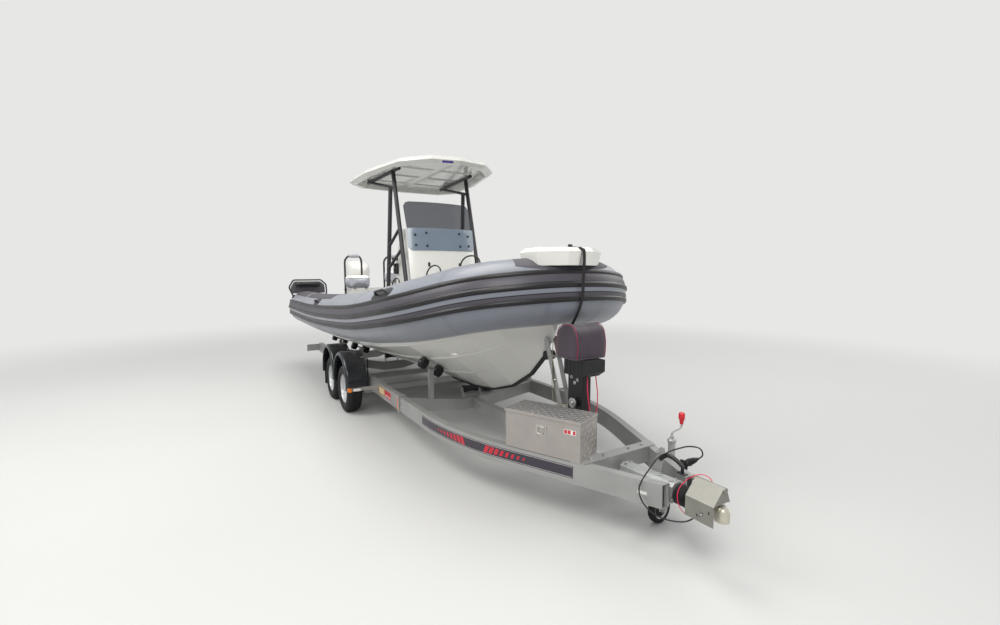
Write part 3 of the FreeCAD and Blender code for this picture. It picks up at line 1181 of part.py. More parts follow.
column = box(COLUMN_REAR_X, COLUMN_FRONT_X, -COLUMN_HALF, COLUMN_HALF, spine_top + 8.0,
             WINCH_BOTTOM + 20.0)
head_block = side_prism([(COLUMN_REAR_X, WINCH_BOTTOM), (COLUMN_FRONT_X + 40.0, WINCH_BOTTOM),
                         (WINCH_FRONT_X, WINCH_BOTTOM + 44.0), (WINCH_FRONT_X, WINCH_TOP),
                         (COLUMN_REAR_X, WINCH_TOP)], -WINCH_HALF, WINCH_HALF)
pulley = rod(V(-1222.0, -COLUMN_HALF - 24.0, 732.0), V(-1222.0, -COLUMN_HALF, 732.0), 29.0)
put("winch_column", joined([column, head_block, pulley]))

# Bow stop: a rubber block on an arm behind the strut, under the stem
stop_arm = side_prism([(stop_x - 100.0, 1026.0), (stop_x - 8.0, 1026.0),
                       (stop_x - 8.0, 1054.0), (stop_x - 100.0, 1054.0)], -20.0, 20.0)
stop_block = rod(V(stop_x - 70.0, -40.0, 1040.0), V(stop_x - 70.0, 40.0, 1040.0), 38.0)
bow_stop = joined([stop_arm, stop_block])
bow_stop = bow_stop.cut(boat_place(hull_whole)).cut(nodes["keel_guard"]).cut(nodes["winch_strut"])
put("bow_stop", bow_stop)

# Fabric bag over the winch head: an arched bag drawn over it crosswise
def bag_wire(y, shrink):
    rear, front = BAG_REAR_X + shrink, BAG_FRONT_X - shrink
    low, top = WINCH_TOP + SEAT_GAP, BAG_TOP - shrink
    bulge = 26.0
    return Part.makePolygon([
        V(rear, y, low), V(rear - bulge, y, low + 60.0), V(rear - bulge * 0.6, y, top - 70.0),
        V(rear + 44.0, y, top - 12.0), V(front - 74.0, y, top), V(front - 6.0, y, top - 52.0),
        V(front + bulge * 0.5, y, low + 90.0), V(front, y, low), V(rear, y, low)])


bag = Part.makeLoft([bag_wire(-BAG_HALF, 16.0), bag_wire(-BAG_HALF + 26.0, 0.0),
                     bag_wire(BAG_HALF - 26.0, 0.0), bag_wire(BAG_HALF, 16.0)], True, True)
bag = bag.cut(boat_place(collar_solid(COLLAR_RADIUS + 8.0)))
put("winch_cover", bag)

# Overrun coupling: cast housing, bellows, coupling head and its lock cover
housing_half = 58.0
housing = Part.makeLoft([
    Part.makePolygon([V(HOUSING_REAR_X, -46.0, 342.0), V(HOUSING_REAR_X, 46.0, 342.0),
                      V(HOUSING_REAR_X, 46.0, 408.0), V(HOUSING_REAR_X, 26.0, 424.0),
                      V(HOUSING_REAR_X, -26.0, 424.0), V(HOUSING_REAR_X, -46.0, 408.0),
                      V(HOUSING_REAR_X, -46.0, 342.0)]),
    Part.makePolygon([V(HOUSING_FRONT_X, -housing_half, 326.0), V(HOUSING_FRONT_X, housing_half, 326.0),
                      V(HOUSING_FRONT_X, housing_half, 428.0), V(HOUSING_FRONT_X, 34.0, 448.0),
                      V(HOUSING_FRONT_X, -34.0, 448.0), V(HOUSING_FRONT_X, -housing_half, 428.0),
                      V(HOUSING_FRONT_X, -housing_half, 326.0)])], True, True)
lug = box(-640.0, -560.0, -drawbar_y(-560.0, RAIL_WIDTH), drawbar_y(-560.0, RAIL_WIDTH), 350.0, 366.0)
lug_rails = nodes["trailer_rail_port"].fuse(nodes["trailer_rail_starboard"])
lug_front = box(-420.0, -350.0, -drawbar_y(-350.0, RAIL_WIDTH), drawbar_y(-350.0, RAIL_WIDTH),
                350.0, 366.0)
housing = joined([housing, lug, lug_front]).cut(lug_rails)
put("coupling_housing", housing)

bellows_front_x = HEAD_REAR_X
wave = (bellows_front_x - HOUSING_FRONT_X) / BELLOWS_WAVES
bellows_profile = [(0.0, SHAFT_RADIUS + 1.0)]
for i in range(BELLOWS_WAVES):
    bellows_profile.append((i * wave + 1.0, BELLOWS_RADIUS - 12.0))
    bellows_profile.append((i * wave + wave / 2, BELLOWS_RADIUS))
bellows_profile.append((BELLOWS_WAVES * wave - 1.0, BELLOWS_RADIUS - 12.0))
bellows_profile.append((BELLOWS_WAVES * wave, SHAFT_RADIUS + 1.0))
shaft_centre = V(HOUSING_FRONT_X, 0, BALL_Z)
put("coupling_bellows", revolved(bellows_profile, shaft_centre, (1, 0, 0), (0, 0, 1)))

head_body = box(HEAD_REAR_X, 0.0, -HEAD_HALF, HEAD_HALF, BALL_Z - 34.0, BALL_Z + 42.0)
head_nose = rod(V(0, 0, BALL_Z - 42.0), V(0, 0, BALL_Z + 22.0), HEAD_NOSE_RADIUS)
head_dome = Part.makeSphere(HEAD_NOSE_RADIUS - 3.0, V(0, 0, BALL_Z + 8.0))
head_shaft = rod(V(HOUSING_FRONT_X, 0, BALL_Z), V(HEAD_REAR_X + 5.0, 0, BALL_Z), SHAFT_RADIUS)
socket_bore = rod(V(0, 0, BALL_Z - 60.0), V(0, 0, BALL_Z), BALL_DIAMETER / 2)
socket_ball = Part.makeSphere(BALL_DIAMETER / 2, V(0, 0, BALL_Z))
coupling_head = joined([head_body, head_nose, head_dome, head_shaft]).cut(socket_bore)
coupling_head = coupling_head.cut(socket_ball)
put("coupling_head", coupling_head)

# Lock cover over the coupling: a folded sheet with a rolled ridge and a gable plate in front
def cover_outline(inset):
    near = COVER_NEAR_Y + inset
    far = COVER_FAR_Y - inset
    ridge = COVER_RIDGE - inset * 0.4
    return [(near, COVER_BOTTOM - (1.0 if inset else 0.0)), (near, COVER_SHOULDER),
            (-ridge, COVER_TOP - inset), (ridge, COVER_TOP - inset),
            (far, COVER_FAR_BOTTOM - (1.0 if inset else 0.0)),
            (far - 22.0, COVER_FAR_BOTTOM - (1.0 if inset else 0.0)), (near + 22.0, COVER_BOTTOM
                                                                        - (1.0 if inset else 0.0))]


cover_skin = end_prism(cover_outline(0.0), COVER_REAR_X, COVER_FRONT_X)
cover_room = end_prism(cover_outline(COVER_SHEET), COVER_REAR_X - 1.0, COVER_FRONT_X + 1.0)
open_foot = box(COVER_REAR_X - 1.0, COVER_FRONT_X + 1.0, COVER_NEAR_Y + COVER_SHEET,
                COVER_FAR_Y - COVER_SHEET, COVER_BOTTOM - 1.0, COVER_FAR_BOTTOM + 4.0)
cover_gable = end_prism([(COVER_NEAR_Y + 2.0, COVER_SHOULDER), (-COVER_RIDGE, COVER_TOP - 2.0),
                         (COVER_RIDGE, COVER_TOP - 2.0), (COVER_FAR_Y - 2.0, COVER_FAR_BOTTOM + 6.0)],
                        COVER_FRONT_X - COVER_SHEET, COVER_FRONT_X)
ridge_tube = rod(V(COVER_REAR_X - 20.0, 0, COVER_TOP - 8.0), V(COVER_FRONT_X + 2.0, 0, COVER_TOP - 8.0),
                 COVER_RIDGE)
cover_hang = box(-150.0, -110.0, -6.0, 6.0, BALL_Z + 42.0, COVER_TOP - 10.0)
cover = cover_skin.cut(cover_room).cut(open_foot)
cover_pin = rod(V(-78.0, COVER_NEAR_Y - 8.0, BALL_Z), V(-78.0, -HEAD_HALF, BALL_Z), 11.0)
put("coupling_cover", joined([cover, cover_gable, ridge_tube, cover_hang, cover_pin]))

# Toolbox on the starboard drawbar rail: an open sheet box and its hinged lid
box_corner = V(BOX_FRONT_X, -drawbar_y(BOX_FRONT_X) - BOX_OVERHANG, RAIL_TOP + TIE_PLATE_THICK)


def along_rail(shape):
    """From the box's own frame (length aft, depth inboard) to its place on the rail."""
    moved = shape.copy()
    moved.rotate(V(0, 0, 0), V(0, 0, 1), DRAWBAR_ANGLE)
    moved.translate(box_corner)
    return moved


body_height = BOX_HEIGHT - BOX_LID
shell_out = box(-BOX_LENGTH, 0.0, 0.0, BOX_DEPTH, 0.0, body_height)
shell_in = box(-BOX_LENGTH + BOX_SHEET, -BOX_SHEET, BOX_SHEET, BOX_DEPTH - BOX_SHEET, BOX_SHEET,
               body_height + 1.0)
latch = box(-BOX_LENGTH * 0.56, -BOX_LENGTH * 0.44, -3.0, 0.0, body_height * 0.52,
            body_height * 0.82)
hinge_low = rod(V(-BOX_LENGTH + 60.0, BOX_DEPTH + BOX_HINGE_RADIUS, body_height),
                V(-60.0, BOX_DEPTH + BOX_HINGE_RADIUS, body_height), BOX_HINGE_RADIUS)
put("toolbox_body", along_rail(joined([shell_out.cut(shell_in), latch, hinge_low])))
lid_bottom = body_height + SEAT_GAP
lid_plate = box(-BOX_LENGTH - 4.0, 4.0, -4.0, BOX_DEPTH - 2.0, lid_bottom, BOX_HEIGHT)
lid_under = box(-BOX_LENGTH + 30.0, -30.0, 30.0, BOX_DEPTH - 30.0, lid_bottom - 1.0,
                BOX_HEIGHT - BOX_SHEET)
lid = lid_plate.cut(lid_under)
put("toolbox_lid", along_rail(lid))
hinge_local = V(-BOX_LENGTH / 2, BOX_DEPTH + BOX_HINGE_RADIUS, body_height)
hinge_turn = FreeCAD.Rotation(V(0, 0, 1), DRAWBAR_ANGLE)
pivots["lid"] = box_corner + hinge_turn.multVec(hinge_local)
pivots["lid_axis"] = hinge_turn.multVec(V(-1, 0, 0))

# Jockey wheel: clamp and outer tube on the port rail, sliding leg, fork and wheel
rail_turn = math.radians(DRAWBAR_ANGLE)
rail_outward = V(math.sin(rail_turn), math.cos(rail_turn), 0)
rail_face = V(JOCKEY_X, drawbar_y(JOCKEY_X), 0)
jockey_axis = rail_face + rail_outward * (JOCKEY_TUBE_RADIUS + JOCKEY_RAIL_GAP)
jx, jy = jockey_axis.x, jockey_axis.y
tube = rod(V(jx, jy, JOCKEY_TUBE_BOTTOM), V(jx, jy, JOCKEY_TUBE_TOP), JOCKEY_TUBE_RADIUS)
cap = rod(V(jx, jy, JOCKEY_TUBE_TOP), V(jx, jy, JOCKEY_TUBE_TOP + 22.0), JOCKEY_TUBE_RADIUS + 5.0)
clamp_ring = rod(V(jx, jy, 390.0), V(jx, jy, 440.0), JOCKEY_TUBE_RADIUS + 8.0)
clamp_arm = Part.makeBox(90.0, JOCKEY_RAIL_GAP + JOCKEY_TUBE_RADIUS, 50.0)
clamp_arm.translate(V(-45.0, -JOCKEY_RAIL_GAP - JOCKEY_TUBE_RADIUS, 390.0))
clamp_arm.rotate(V(0, 0, 0), V(0, 0, 1), -DRAWBAR_ANGLE)
clamp_arm.translate(jockey_axis)
leg_room = rod(V(jx, jy, JOCKEY_TUBE_BOTTOM - 10.0), V(jx, jy, JOCKEY_TUBE_TOP - 4.0),
               JOCKEY_LEG_RADIUS + RUN_FIT)
spindle = rod(V(jx, jy, JOCKEY_TUBE_TOP + 22.0), V(jx, jy, JOCKEY_TUBE_TOP + 92.0), 7.0)
CRANK_REACH = 66.0
KNOB_RADIUS = 17.0
crank_end = V(jx + CRANK_REACH * 0.45, jy + CRANK_REACH * 0.9, JOCKEY_TUBE_TOP + 138.0)
crank_top = V(jx, jy, JOCKEY_TUBE_TOP + 85.0)
crank = rod(crank_top, crank_end, 7.0)
knob = rod(crank_end - V(0, 0, 8.0), crank_end + V(0, 0, 78.0), KNOB_RADIUS)
mounting = joined([tube, cap, clamp_ring, clamp_arm, spindle, crank]).cut(leg_room)
put("jockey_mounting", joined([mounting.cut(nodes["trailer_rail_port"]), knob]))
leg_tube = rod(V(jx, jy, JOCKEY_CROWN_Z + 12.0), V(jx, jy, JOCKEY_LEG_TOP), JOCKEY_LEG_RADIUS)
PIVOT_PIN = 8.0
pin_hole = rod(V(jx, jy, JOCKEY_CROWN_Z), V(jx, jy, JOCKEY_CROWN_Z + JOCKEY_PIN_LENGTH + SEAT_GAP),
               PIVOT_PIN + RUN_FIT)
put("jockey_leg", leg_tube.cut(pin_hole))
trail = math.radians(JOCKEY_TRAIL_ANGLE)
trail_dir = V(math.cos(trail), math.sin(trail), 0)
wheel_axis_dir = V(-math.sin(trail), math.cos(trail), 0)
jockey_wheel_centre = V(jx, jy, JOCKEY_WHEEL_RADIUS) + trail_dir * JOCKEY_TRAIL


def fork_cheek(offset):
    """Flat cheek beside the wheel, from the crown down to the axle."""
    thick = 5.0
    shape = side_prism([(-26.0, JOCKEY_CROWN_Z + 2.0), (26.0, JOCKEY_CROWN_Z + 2.0),
                        (JOCKEY_TRAIL + 20.0, JOCKEY_WHEEL_RADIUS + 10.0),
                        (JOCKEY_TRAIL + 12.0, JOCKEY_WHEEL_RADIUS - 18.0),
                        (JOCKEY_TRAIL - 14.0, JOCKEY_WHEEL_RADIUS - 14.0),
                        (-26.0, JOCKEY_CROWN_Z - 40.0)], offset, offset + thick)
    shape.rotate(V(0, 0, 0), V(0, 0, 1), JOCKEY_TRAIL_ANGLE)
    shape.translate(V(jx, jy, 0))
    return shape


fork_gap = JOCKEY_WHEEL_WIDTH / 2 + 6.0
crown = box(-26.0, 26.0, -fork_gap - 5.0, fork_gap + 5.0, JOCKEY_CROWN_Z, JOCKEY_CROWN_Z + 8.0)
crown.rotate(V(0, 0, 0), V(0, 0, 1), JOCKEY_TRAIL_ANGLE)
crown.translate(V(jx, jy, 0))
pivot_pin = rod(V(jx, jy, JOCKEY_CROWN_Z), V(jx, jy, JOCKEY_CROWN_Z + JOCKEY_PIN_LENGTH), PIVOT_PIN)
axle_pin = rod(jockey_wheel_centre - wheel_axis_dir * (fork_gap + 8.0),
               jockey_wheel_centre + wheel_axis_dir * (fork_gap + 8.0), 6.0)
put("jockey_fork", joined([fork_cheek(fork_gap), fork_cheek(-fork_gap - 5.0), crown, pivot_pin,
                           axle_pin]))
jr = JOCKEY_WHEEL_RADIUS
jw = JOCKEY_WHEEL_WIDTH / 2
jockey_profile = [(-jw, jr - 14.0), (-jw + 10.0, jr), (jw - 10.0, jr), (jw, jr - 14.0),
                  (jw - 4.0, jr - 34.0), (8.0, jr - 40.0), (8.0, 20.0), (jw - 2.0, 18.0),
                  (jw - 2.0, 6.0 + RUN_FIT), (-jw + 2.0, 6.0 + RUN_FIT), (-jw + 2.0, 18.0),
                  (-8.0, 20.0), (-8.0, jr - 40.0), (-jw + 4.0, jr - 34.0)]
put("jockey_wheel", revolved(jockey_profile, jockey_wheel_centre, wheel_axis_dir, (0, 0, 1)))
pivots["jockey"] = V(jx, jy, JOCKEY_CROWN_Z)
pivots["jockey_wheel"] = jockey_wheel_centre
pivots["jockey_wheel_axis"] = wheel_axis_dir

# Handbrake: a ratchet plate on the housing and a lever with a moulded grip, lying forward
BRAKE_Y = 52.0
BRAKE_THICK = 6.0
GRIP_RADIUS = 13.0
GRIP_REAR = V(-478.0, 0, 520.0)
GRIP_FRONT = V(-300.0, 0, 528.0)
brake_side = V(0, BRAKE_Y + BRAKE_THICK / 2, 0)
ratchet = side_prism([(-600.0, 372.0), (-500.0, 372.0), (-470.0, 430.0), (-440.0, 590.0),
                      (-470.0, 598.0), (-520.0, 520.0)], BRAKE_Y, BRAKE_Y + BRAKE_THICK)
brake_foot = box(-590.0, -510.0, 20.0, BRAKE_Y + BRAKE_THICK, 372.0, 384.0)
grip = rod(GRIP_REAR + brake_side, GRIP_FRONT + brake_side, GRIP_RADIUS)
grip_end = Part.makeSphere(GRIP_RADIUS, GRIP_FRONT + brake_side)
put("handbrake_lever", joined([ratchet, brake_foot, grip, grip_end]).cut(nodes["coupling_housing"]))

# Trailer plug in its holder on the port rail's top
PLUG_RADIUS = 21.0
PLUG_Y = 100.0
PLUG_FRONT = V(-232.0, PLUG_Y, 600.0)
PLUG_REAR = V(-326.0, PLUG_Y, 532.0)
holder = box(-352.0, -300.0 - SEAT_GAP, PLUG_Y - 3.0, PLUG_Y + 3.0, RAIL_TOP, 546.0)
holder_foot = box(-372.0, -300.0 - SEAT_GAP, PLUG_Y - 18.0, PLUG_Y + 18.0, RAIL_TOP, RAIL_TOP + 4.0)
put("plug", joined([rod(PLUG_REAR, PLUG_FRONT, PLUG_RADIUS), holder, holder_foot]))

# Free cables, each along its route
cord("trailer_cable", TRAILER_CABLE, 4.5)
cord("breakaway_cable", BREAKAWAY_CABLE, 2.5)
cord("winch_leads", WINCH_LEADS, 4.0)

# Collar handles and lifelines, seated on the tube
handles = []
HANDLE_RADIUS = 11.0
for x, angle, length in ((-2560.0, 42.0, 130.0), (-5150.0, 42.0, 90.0)):
    a = math.radians(angle)
    for side in (1, -1):
        ahead = [p for p in zip(collar_half, collar_half[1:]) if p[0].x <= x <= p[1].x][0]
        here = ahead[0] + (ahead[1] - ahead[0]) * ((x - ahead[0].x) / (ahead[1].x - ahead[0].x))
        axis_y = abs(here.y)
        axis_z = here.z
        rise = (ahead[1].z - ahead[0].z) / (ahead[1].x - ahead[0].x)
        narrowing = (abs(ahead[1].y) - axis_y) / (ahead[1].x - x)
        out = V(0, side * math.cos(a), math.sin(a))
        foot = V(x, side * axis_y, axis_z) + out * (COLLAR_RADIUS - 6.0)
        lift = out * 42.0
        reach = V(length, side * narrowing * length, rise * length)
        handle = pipe([tuple(foot - reach), tuple(foot - reach * 0.72 + lift),
                       tuple(foot + reach * 0.72 + lift), tuple(foot + reach)], HANDLE_RADIUS,
                      [24.0, 24.0])
        handles.append(handle.cut(collar_room))
put_boat("collar_fittings", Part.makeCompound(handles + [bow_fitting]))

# Whole part: the origin goes under the middle of the overall length
low_x = min(s.optimalBoundingBox().XMin for s in nodes.values())
high_x = max(s.optimalBoundingBox().XMax for s in nodes.values())
SHIFT = V(-(low_x + high_x) / 2, 0, 0)
for name, shape in nodes.items():
    shape.translate(SHIFT)
    shape.exportStep("parts/" + name + ".step")
print("overall length", round(high_x - low_x), "nodes", len(nodes), "shift", round(SHIFT.x, 2))
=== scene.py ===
import math
import bmesh
import bpy
import numpy as np
from mathutils import Matrix, Vector, noise


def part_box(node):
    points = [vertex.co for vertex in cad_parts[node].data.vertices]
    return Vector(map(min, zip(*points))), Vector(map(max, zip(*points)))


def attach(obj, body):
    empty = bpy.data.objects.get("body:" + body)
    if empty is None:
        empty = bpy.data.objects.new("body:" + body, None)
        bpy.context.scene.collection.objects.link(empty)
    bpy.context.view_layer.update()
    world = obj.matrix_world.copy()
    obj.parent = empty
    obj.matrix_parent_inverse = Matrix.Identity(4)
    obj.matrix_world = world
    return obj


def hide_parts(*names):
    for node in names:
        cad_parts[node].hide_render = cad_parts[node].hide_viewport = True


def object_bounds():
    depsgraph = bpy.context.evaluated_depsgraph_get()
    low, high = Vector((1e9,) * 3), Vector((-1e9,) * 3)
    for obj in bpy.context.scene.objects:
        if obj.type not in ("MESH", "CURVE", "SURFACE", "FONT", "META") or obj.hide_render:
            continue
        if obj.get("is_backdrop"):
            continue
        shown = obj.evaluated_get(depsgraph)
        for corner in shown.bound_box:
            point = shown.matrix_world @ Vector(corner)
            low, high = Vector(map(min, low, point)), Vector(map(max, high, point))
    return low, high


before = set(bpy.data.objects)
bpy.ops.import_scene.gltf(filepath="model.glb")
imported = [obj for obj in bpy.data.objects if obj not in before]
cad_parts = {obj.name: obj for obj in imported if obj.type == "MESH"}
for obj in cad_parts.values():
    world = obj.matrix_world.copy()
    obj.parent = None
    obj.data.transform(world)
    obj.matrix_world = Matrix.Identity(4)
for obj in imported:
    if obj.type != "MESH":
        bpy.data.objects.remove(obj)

cad_low, cad_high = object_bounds()
ROOT = "boat_and_trailer"

# The photographer's viewpoint, off the starboard side of the drawbar at head height.
# Places are millimetres from the centre of the tow ball, as on the trailer's own drawing,
# and become metres in the frame here.
BALL_TO_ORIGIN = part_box("coupling_head")[1].x - 0.040


def station(x, y, z):
    return Vector((x / 1000 + BALL_TO_ORIGIN, y / 1000, z / 1000))


def placed(name, data):
    """New object with this data, in the scene."""
    made = bpy.data.objects.new(name, data)
    bpy.context.collection.objects.link(made)
    return made


camera = placed("viewpoint", bpy.data.cameras.new("viewpoint"))
camera.data.sensor_width = 36.0
camera.data.lens = 16.92
camera.location = station(1510, -2396, 1750)
dip = math.radians(5.15)
gaze = Vector((-0.853, 0.5225, 0.0)).normalized() * math.cos(dip) - Vector((0, 0, math.sin(dip)))
camera.rotation_euler = gaze.to_track_quat("-Z", "Y").to_euler()
bpy.context.scene.camera = camera

# Free cables, each a red or black sheathed wire that hangs from the coupling or the winch.
# The trailer lead loops under the rail to its plug; the breakaway wire falls round the bellows;
# the winch leads hang from the winch head in one loop.
CABLES = [
    # name, sheath, diameter, length, far end, stiffness, lay, route
    ("trailer_cable", "black", 9.0, 1157, "plug", "stiff", "hanging",
     [(-150, -12, 344.6), (-152, -20, 296), (-184, -64, 262), (-240, -118, 256), (-300, -170, 270),
      (-352, -200, 300), (-396, -218, 350), (-414, -222, 414), (-402, -204, 474),
      (-398, -150, 524), (-414, -80, 556), (-432, -10, 572), (-438, 52, 572), (-424, 92, 588),
      (-372, 106, 618), (-318, 105, 648), (-268, 102, 662), (-228.4, 100, 667.6),
      (-206.1, 100, 647.6), (-207.7, 100, 617.6), (-232, 100, 600)]),
    ("breakaway_cable", "red", 5.0, 472, "object", "medium", "hanging",
     [(-76, 10, 537.4), (-92, 6, 558), (-132, 0, 562), (-180, -12, 540), (-216, -38, 502),
      (-236, -72, 456), (-238, -86, 408), (-228, -86, 362), (-206, -78, 322), (-186, -54, 304),
      (-172, -28, 316), (-170, -20, 344.6)]),
    ("winch_leads", "red", 8.0, 657, "object", "medium", "hanging",
     [(-1118, -12, 950), (-1118, -14, 880), (-1117, -4, 790), (-1116, 8, 710), (-1115, 18, 655),
      (-1115, 48.3, 639.6), (-1115, 78.9, 654.5), (-1116, 92, 730), (-1117, 92, 820),
      (-1118, 78, 895), (-1118, 70, 950)]),
]


def tinted(red, green, blue):
    """Display values from 0 to 255 as a linear colour."""
    values = [c / 255 for c in (red, green, blue)]
    return tuple(c / 12.92 if c <= 0.04045 else ((c + 0.055) / 1.055) ** 2.4 for c in values)


def finish(name, tint, rough, metal=0.0, mottle=0.10, cloud=0.22, grain=0.0, grain_size=0.0015,
           rough_spread=0.08, coat=0.0, sheen=0.0, dust=0.0):
    """Surface with clouded colour and roughness, a fine grain, and dust that settles on top."""
    material = bpy.data.materials.new(name)
    material.use_nodes = True
    nodes, links = material.node_tree.nodes, material.node_tree.links
    shader = nodes["Principled BSDF"]
    shader.inputs["Metallic"].default_value = metal
    shader.inputs["Coat Weight"].default_value = coat
    shader.inputs["Coat Roughness"].default_value = 0.12
    shader.inputs["Sheen Weight"].default_value = sheen
    place = nodes.new("ShaderNodeTexCoord")
    place.name = "place"
    clouds = nodes.new("ShaderNodeTexNoise")
    clouds.name = "clouds"
    clouds.inputs["Scale"].default_value = 1.0 / cloud
    clouds.inputs["Detail"].default_value = 6.0
    links.new(place.outputs["Object"], clouds.inputs["Vector"])
    ramp = nodes.new("ShaderNodeValToRGB")
    ramp.name = "tint"
    ramp.color_ramp.elements[0].position = 0.32
    ramp.color_ramp.elements[0].color = (*[c * (1 - mottle) for c in tint], 1)
    ramp.color_ramp.elements[1].position = 0.70
    ramp.color_ramp.elements[1].color = (*[min(1.0, c * (1 + mottle)) for c in tint], 1)
    links.new(clouds.outputs["Fac"], ramp.inputs["Fac"])
    colour = ramp.outputs["Color"]
    if dust:
        facing = nodes.new("ShaderNodeNewGeometry")
        split = nodes.new("ShaderNodeSeparateXYZ")
        links.new(facing.outputs["Normal"], split.inputs["Vector"])
        lying = nodes.new("ShaderNodeMapRange")
        lying.inputs["From Min"].default_value = 0.45
        lying.inputs["From Max"].default_value = 1.0
        lying.inputs["To Max"].default_value = dust
        links.new(split.outputs["Z"], lying.inputs["Value"])
        settle = nodes.new("ShaderNodeMix")
        settle.data_type = "RGBA"
        settle.inputs["B"].default_value = (0.42, 0.40, 0.37, 1)
        links.new(lying.outputs["Result"], settle.inputs["Factor"])
        links.new(colour, settle.inputs["A"])
        colour = settle.outputs["Result"]
    links.new(colour, shader.inputs["Base Color"])
    gloss = nodes.new("ShaderNodeMapRange")
    gloss.inputs["To Min"].default_value = max(0.02, rough - rough_spread)
    gloss.inputs["To Max"].default_value = min(1.0, rough + rough_spread)
    links.new(clouds.outputs["Fac"], gloss.inputs["Value"])
    links.new(gloss.outputs["Result"], shader.inputs["Roughness"])
    if grain:
        fine = nodes.new("ShaderNodeTexNoise")
        fine.name = "fine"
        fine.inputs["Scale"].default_value = 1.0 / grain_size
        fine.inputs["Detail"].default_value = 3.0
        links.new(place.outputs["Object"], fine.inputs["Vector"])
        bump = nodes.new("ShaderNodeBump")
        bump.name = "grain"
        bump.inputs["Strength"].default_value = 1.0
        bump.inputs["Distance"].default_value = grain
        links.new(fine.outputs["Fac"], bump.inputs["Height"])
        links.new(bump.outputs["Normal"], shader.inputs["Normal"])
    return material


def dress(material, *names):
    """Gives CAD nodes a finish."""
    for name in names:
        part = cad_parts[name]
        if not part.material_slots:
            part.data.materials.append(material)
        for place in part.material_slots:
            place.material = material


red_sheath = finish("red_cable_sheath", tinted(218, 40, 82), 0.42, mottle=0.12, cloud=0.05,
                    grain=0.0002, grain_size=0.004)
black_sheath = finish("black_cable_sheath", tinted(30, 30, 32), 0.5, mottle=0.2, cloud=0.05,
                      grain=0.0002, grain_size=0.004)


def guided(name, places):
    """Smooth curve guided by places in metres."""
    line = bpy.data.curves.new(name, "CURVE")
    line.dimensions = "3D"
    line.resolution_u = 10
    spline = line.splines.new("NURBS")
    spline.points.add(len(places) - 1)
    for point, place in zip(spline.points, places):
        point.co = (*place, 1.0)
    spline.order_u = 3
    spline.use_endpoint_u = True
    return line


for name, sheath, diameter, length, far_end, stiffness, lay, route in CABLES:
    line = guided(name + "_line", [station(*place) for place in route])
    line.bevel_depth = diameter / 2000
    line.bevel_resolution = 5
    line.use_fill_caps = True
    line.materials.append(red_sheath if sheath == "red" else black_sheath)
    lead = placed(name + "_wire", line)
    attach(lead, ROOT)
    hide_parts(name)

# Trailer frame: two rolled channel rails with a long bend, three V-shaped cross members and a
# centre spine, all cut, welded and hot-dip galvanised, so the zinc shows its spangle.
zinc = finish("galvanised_steel", tinted(170, 170, 168), 0.44, metal=0.55, mottle=0.10, cloud=0.30,
              dust=0.10, rough_spread=0.10)
nodes, links = zinc.node_tree.nodes, zinc.node_tree.links
spangle = nodes.new("ShaderNodeTexVoronoi")
spangle.inputs["Scale"].default_value = 60.0
links.new(nodes["place"].outputs["Object"], spangle.inputs["Vector"])
flakes = nodes.new("ShaderNodeSeparateColor")
links.new(spangle.outputs["Color"], flakes.inputs["Color"])
flake_bump = nodes.new("ShaderNodeBump")
flake_bump.inputs["Distance"].default_value = 0.0005
flake_bump.inputs["Strength"].default_value = 0.55
links.new(flakes.outputs["Red"], flake_bump.inputs["Height"])
links.new(flake_bump.outputs["Normal"], nodes["Principled BSDF"].inputs["Normal"])
dress(zinc, "trailer_rail_port", "trailer_rail_starboard", "cross_members", "centre_spine",
      "axles", "lamp_arms", "roller_posts", "winch_strut", "jockey_fork", "jockey_leg",
      "jockey_mounting")


def piece(name, solid, material, body=ROOT, crease=35.0):
    """Mesh piece from (points, faces) in the frame, shaded smooth up to a crease angle."""
    points, faces = solid
    mesh = bpy.data.meshes.new(name)
    mesh.from_pydata([tuple(p) for p in points], [], faces)
    work = bmesh.new()
    work.from_mesh(mesh)
    bmesh.ops.remove_doubles(work, verts=work.verts, dist=1e-6)
    bmesh.ops.recalc_face_normals(work, faces=work.faces)
    work.to_mesh(mesh)
    work.free()
    for one in material if isinstance(material, (list, tuple)) else [material]:
        mesh.materials.append(one)
    mesh.shade_smooth()
    mesh.set_sharp_from_angle(angle=math.radians(crease))
    made = placed(name, mesh)
    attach(made, body)
    return made


def gathered(solids):
    """Several (points, faces) as one."""
    points, faces = [], []
    for more_points, more_faces in solids:
        start = len(points)
        points += list(more_points)
        faces += [[i + start for i in face] for face in more_faces]
    return points, faces


def facing(axis, centre=(0, 0, 0)):
    """Matrix that takes local Z to an axis through a centre."""
    return Matrix.Translation(centre) @ Vector(axis).to_track_quat("Z", "Y").to_matrix().to_4x4()


def woven(rows, wide, close=False, ring=False):
    """Faces between rows of points, each wide long: close joins the ends of each row, and ring
    the last row to the first."""
    faces = []
    for i in range(rows if ring else rows - 1):
        j = (i + 1) % rows
        for k in range(wide if close else wide - 1):
            m = (k + 1) % wide
            faces.append([i * wide + k, j * wide + k, j * wide + m, i * wide + m])
    return faces


def turned(profile, centre, axis, segments=32):
    """Profile of (along the axis, radius) pairs in millimetres, turned about the axis."""
    place = facing(axis, centre)
    points = []
    for i in range(segments):
        a = 2 * math.pi * i / segments
        for along, radius in profile:
            points.append(place @ Vector((radius / 1000 * math.cos(a), radius / 1000 * math.sin(a),
                                          along / 1000)))
    count = len(profile)
    faces = woven(segments, count, ring=True)
    if profile[0][1] > 0:
        faces.append([i * count for i in range(segments)][::-1])
    if profile[-1][1] > 0:
        faces.append([i * count + count - 1 for i in range(segments)])
    return points, faces


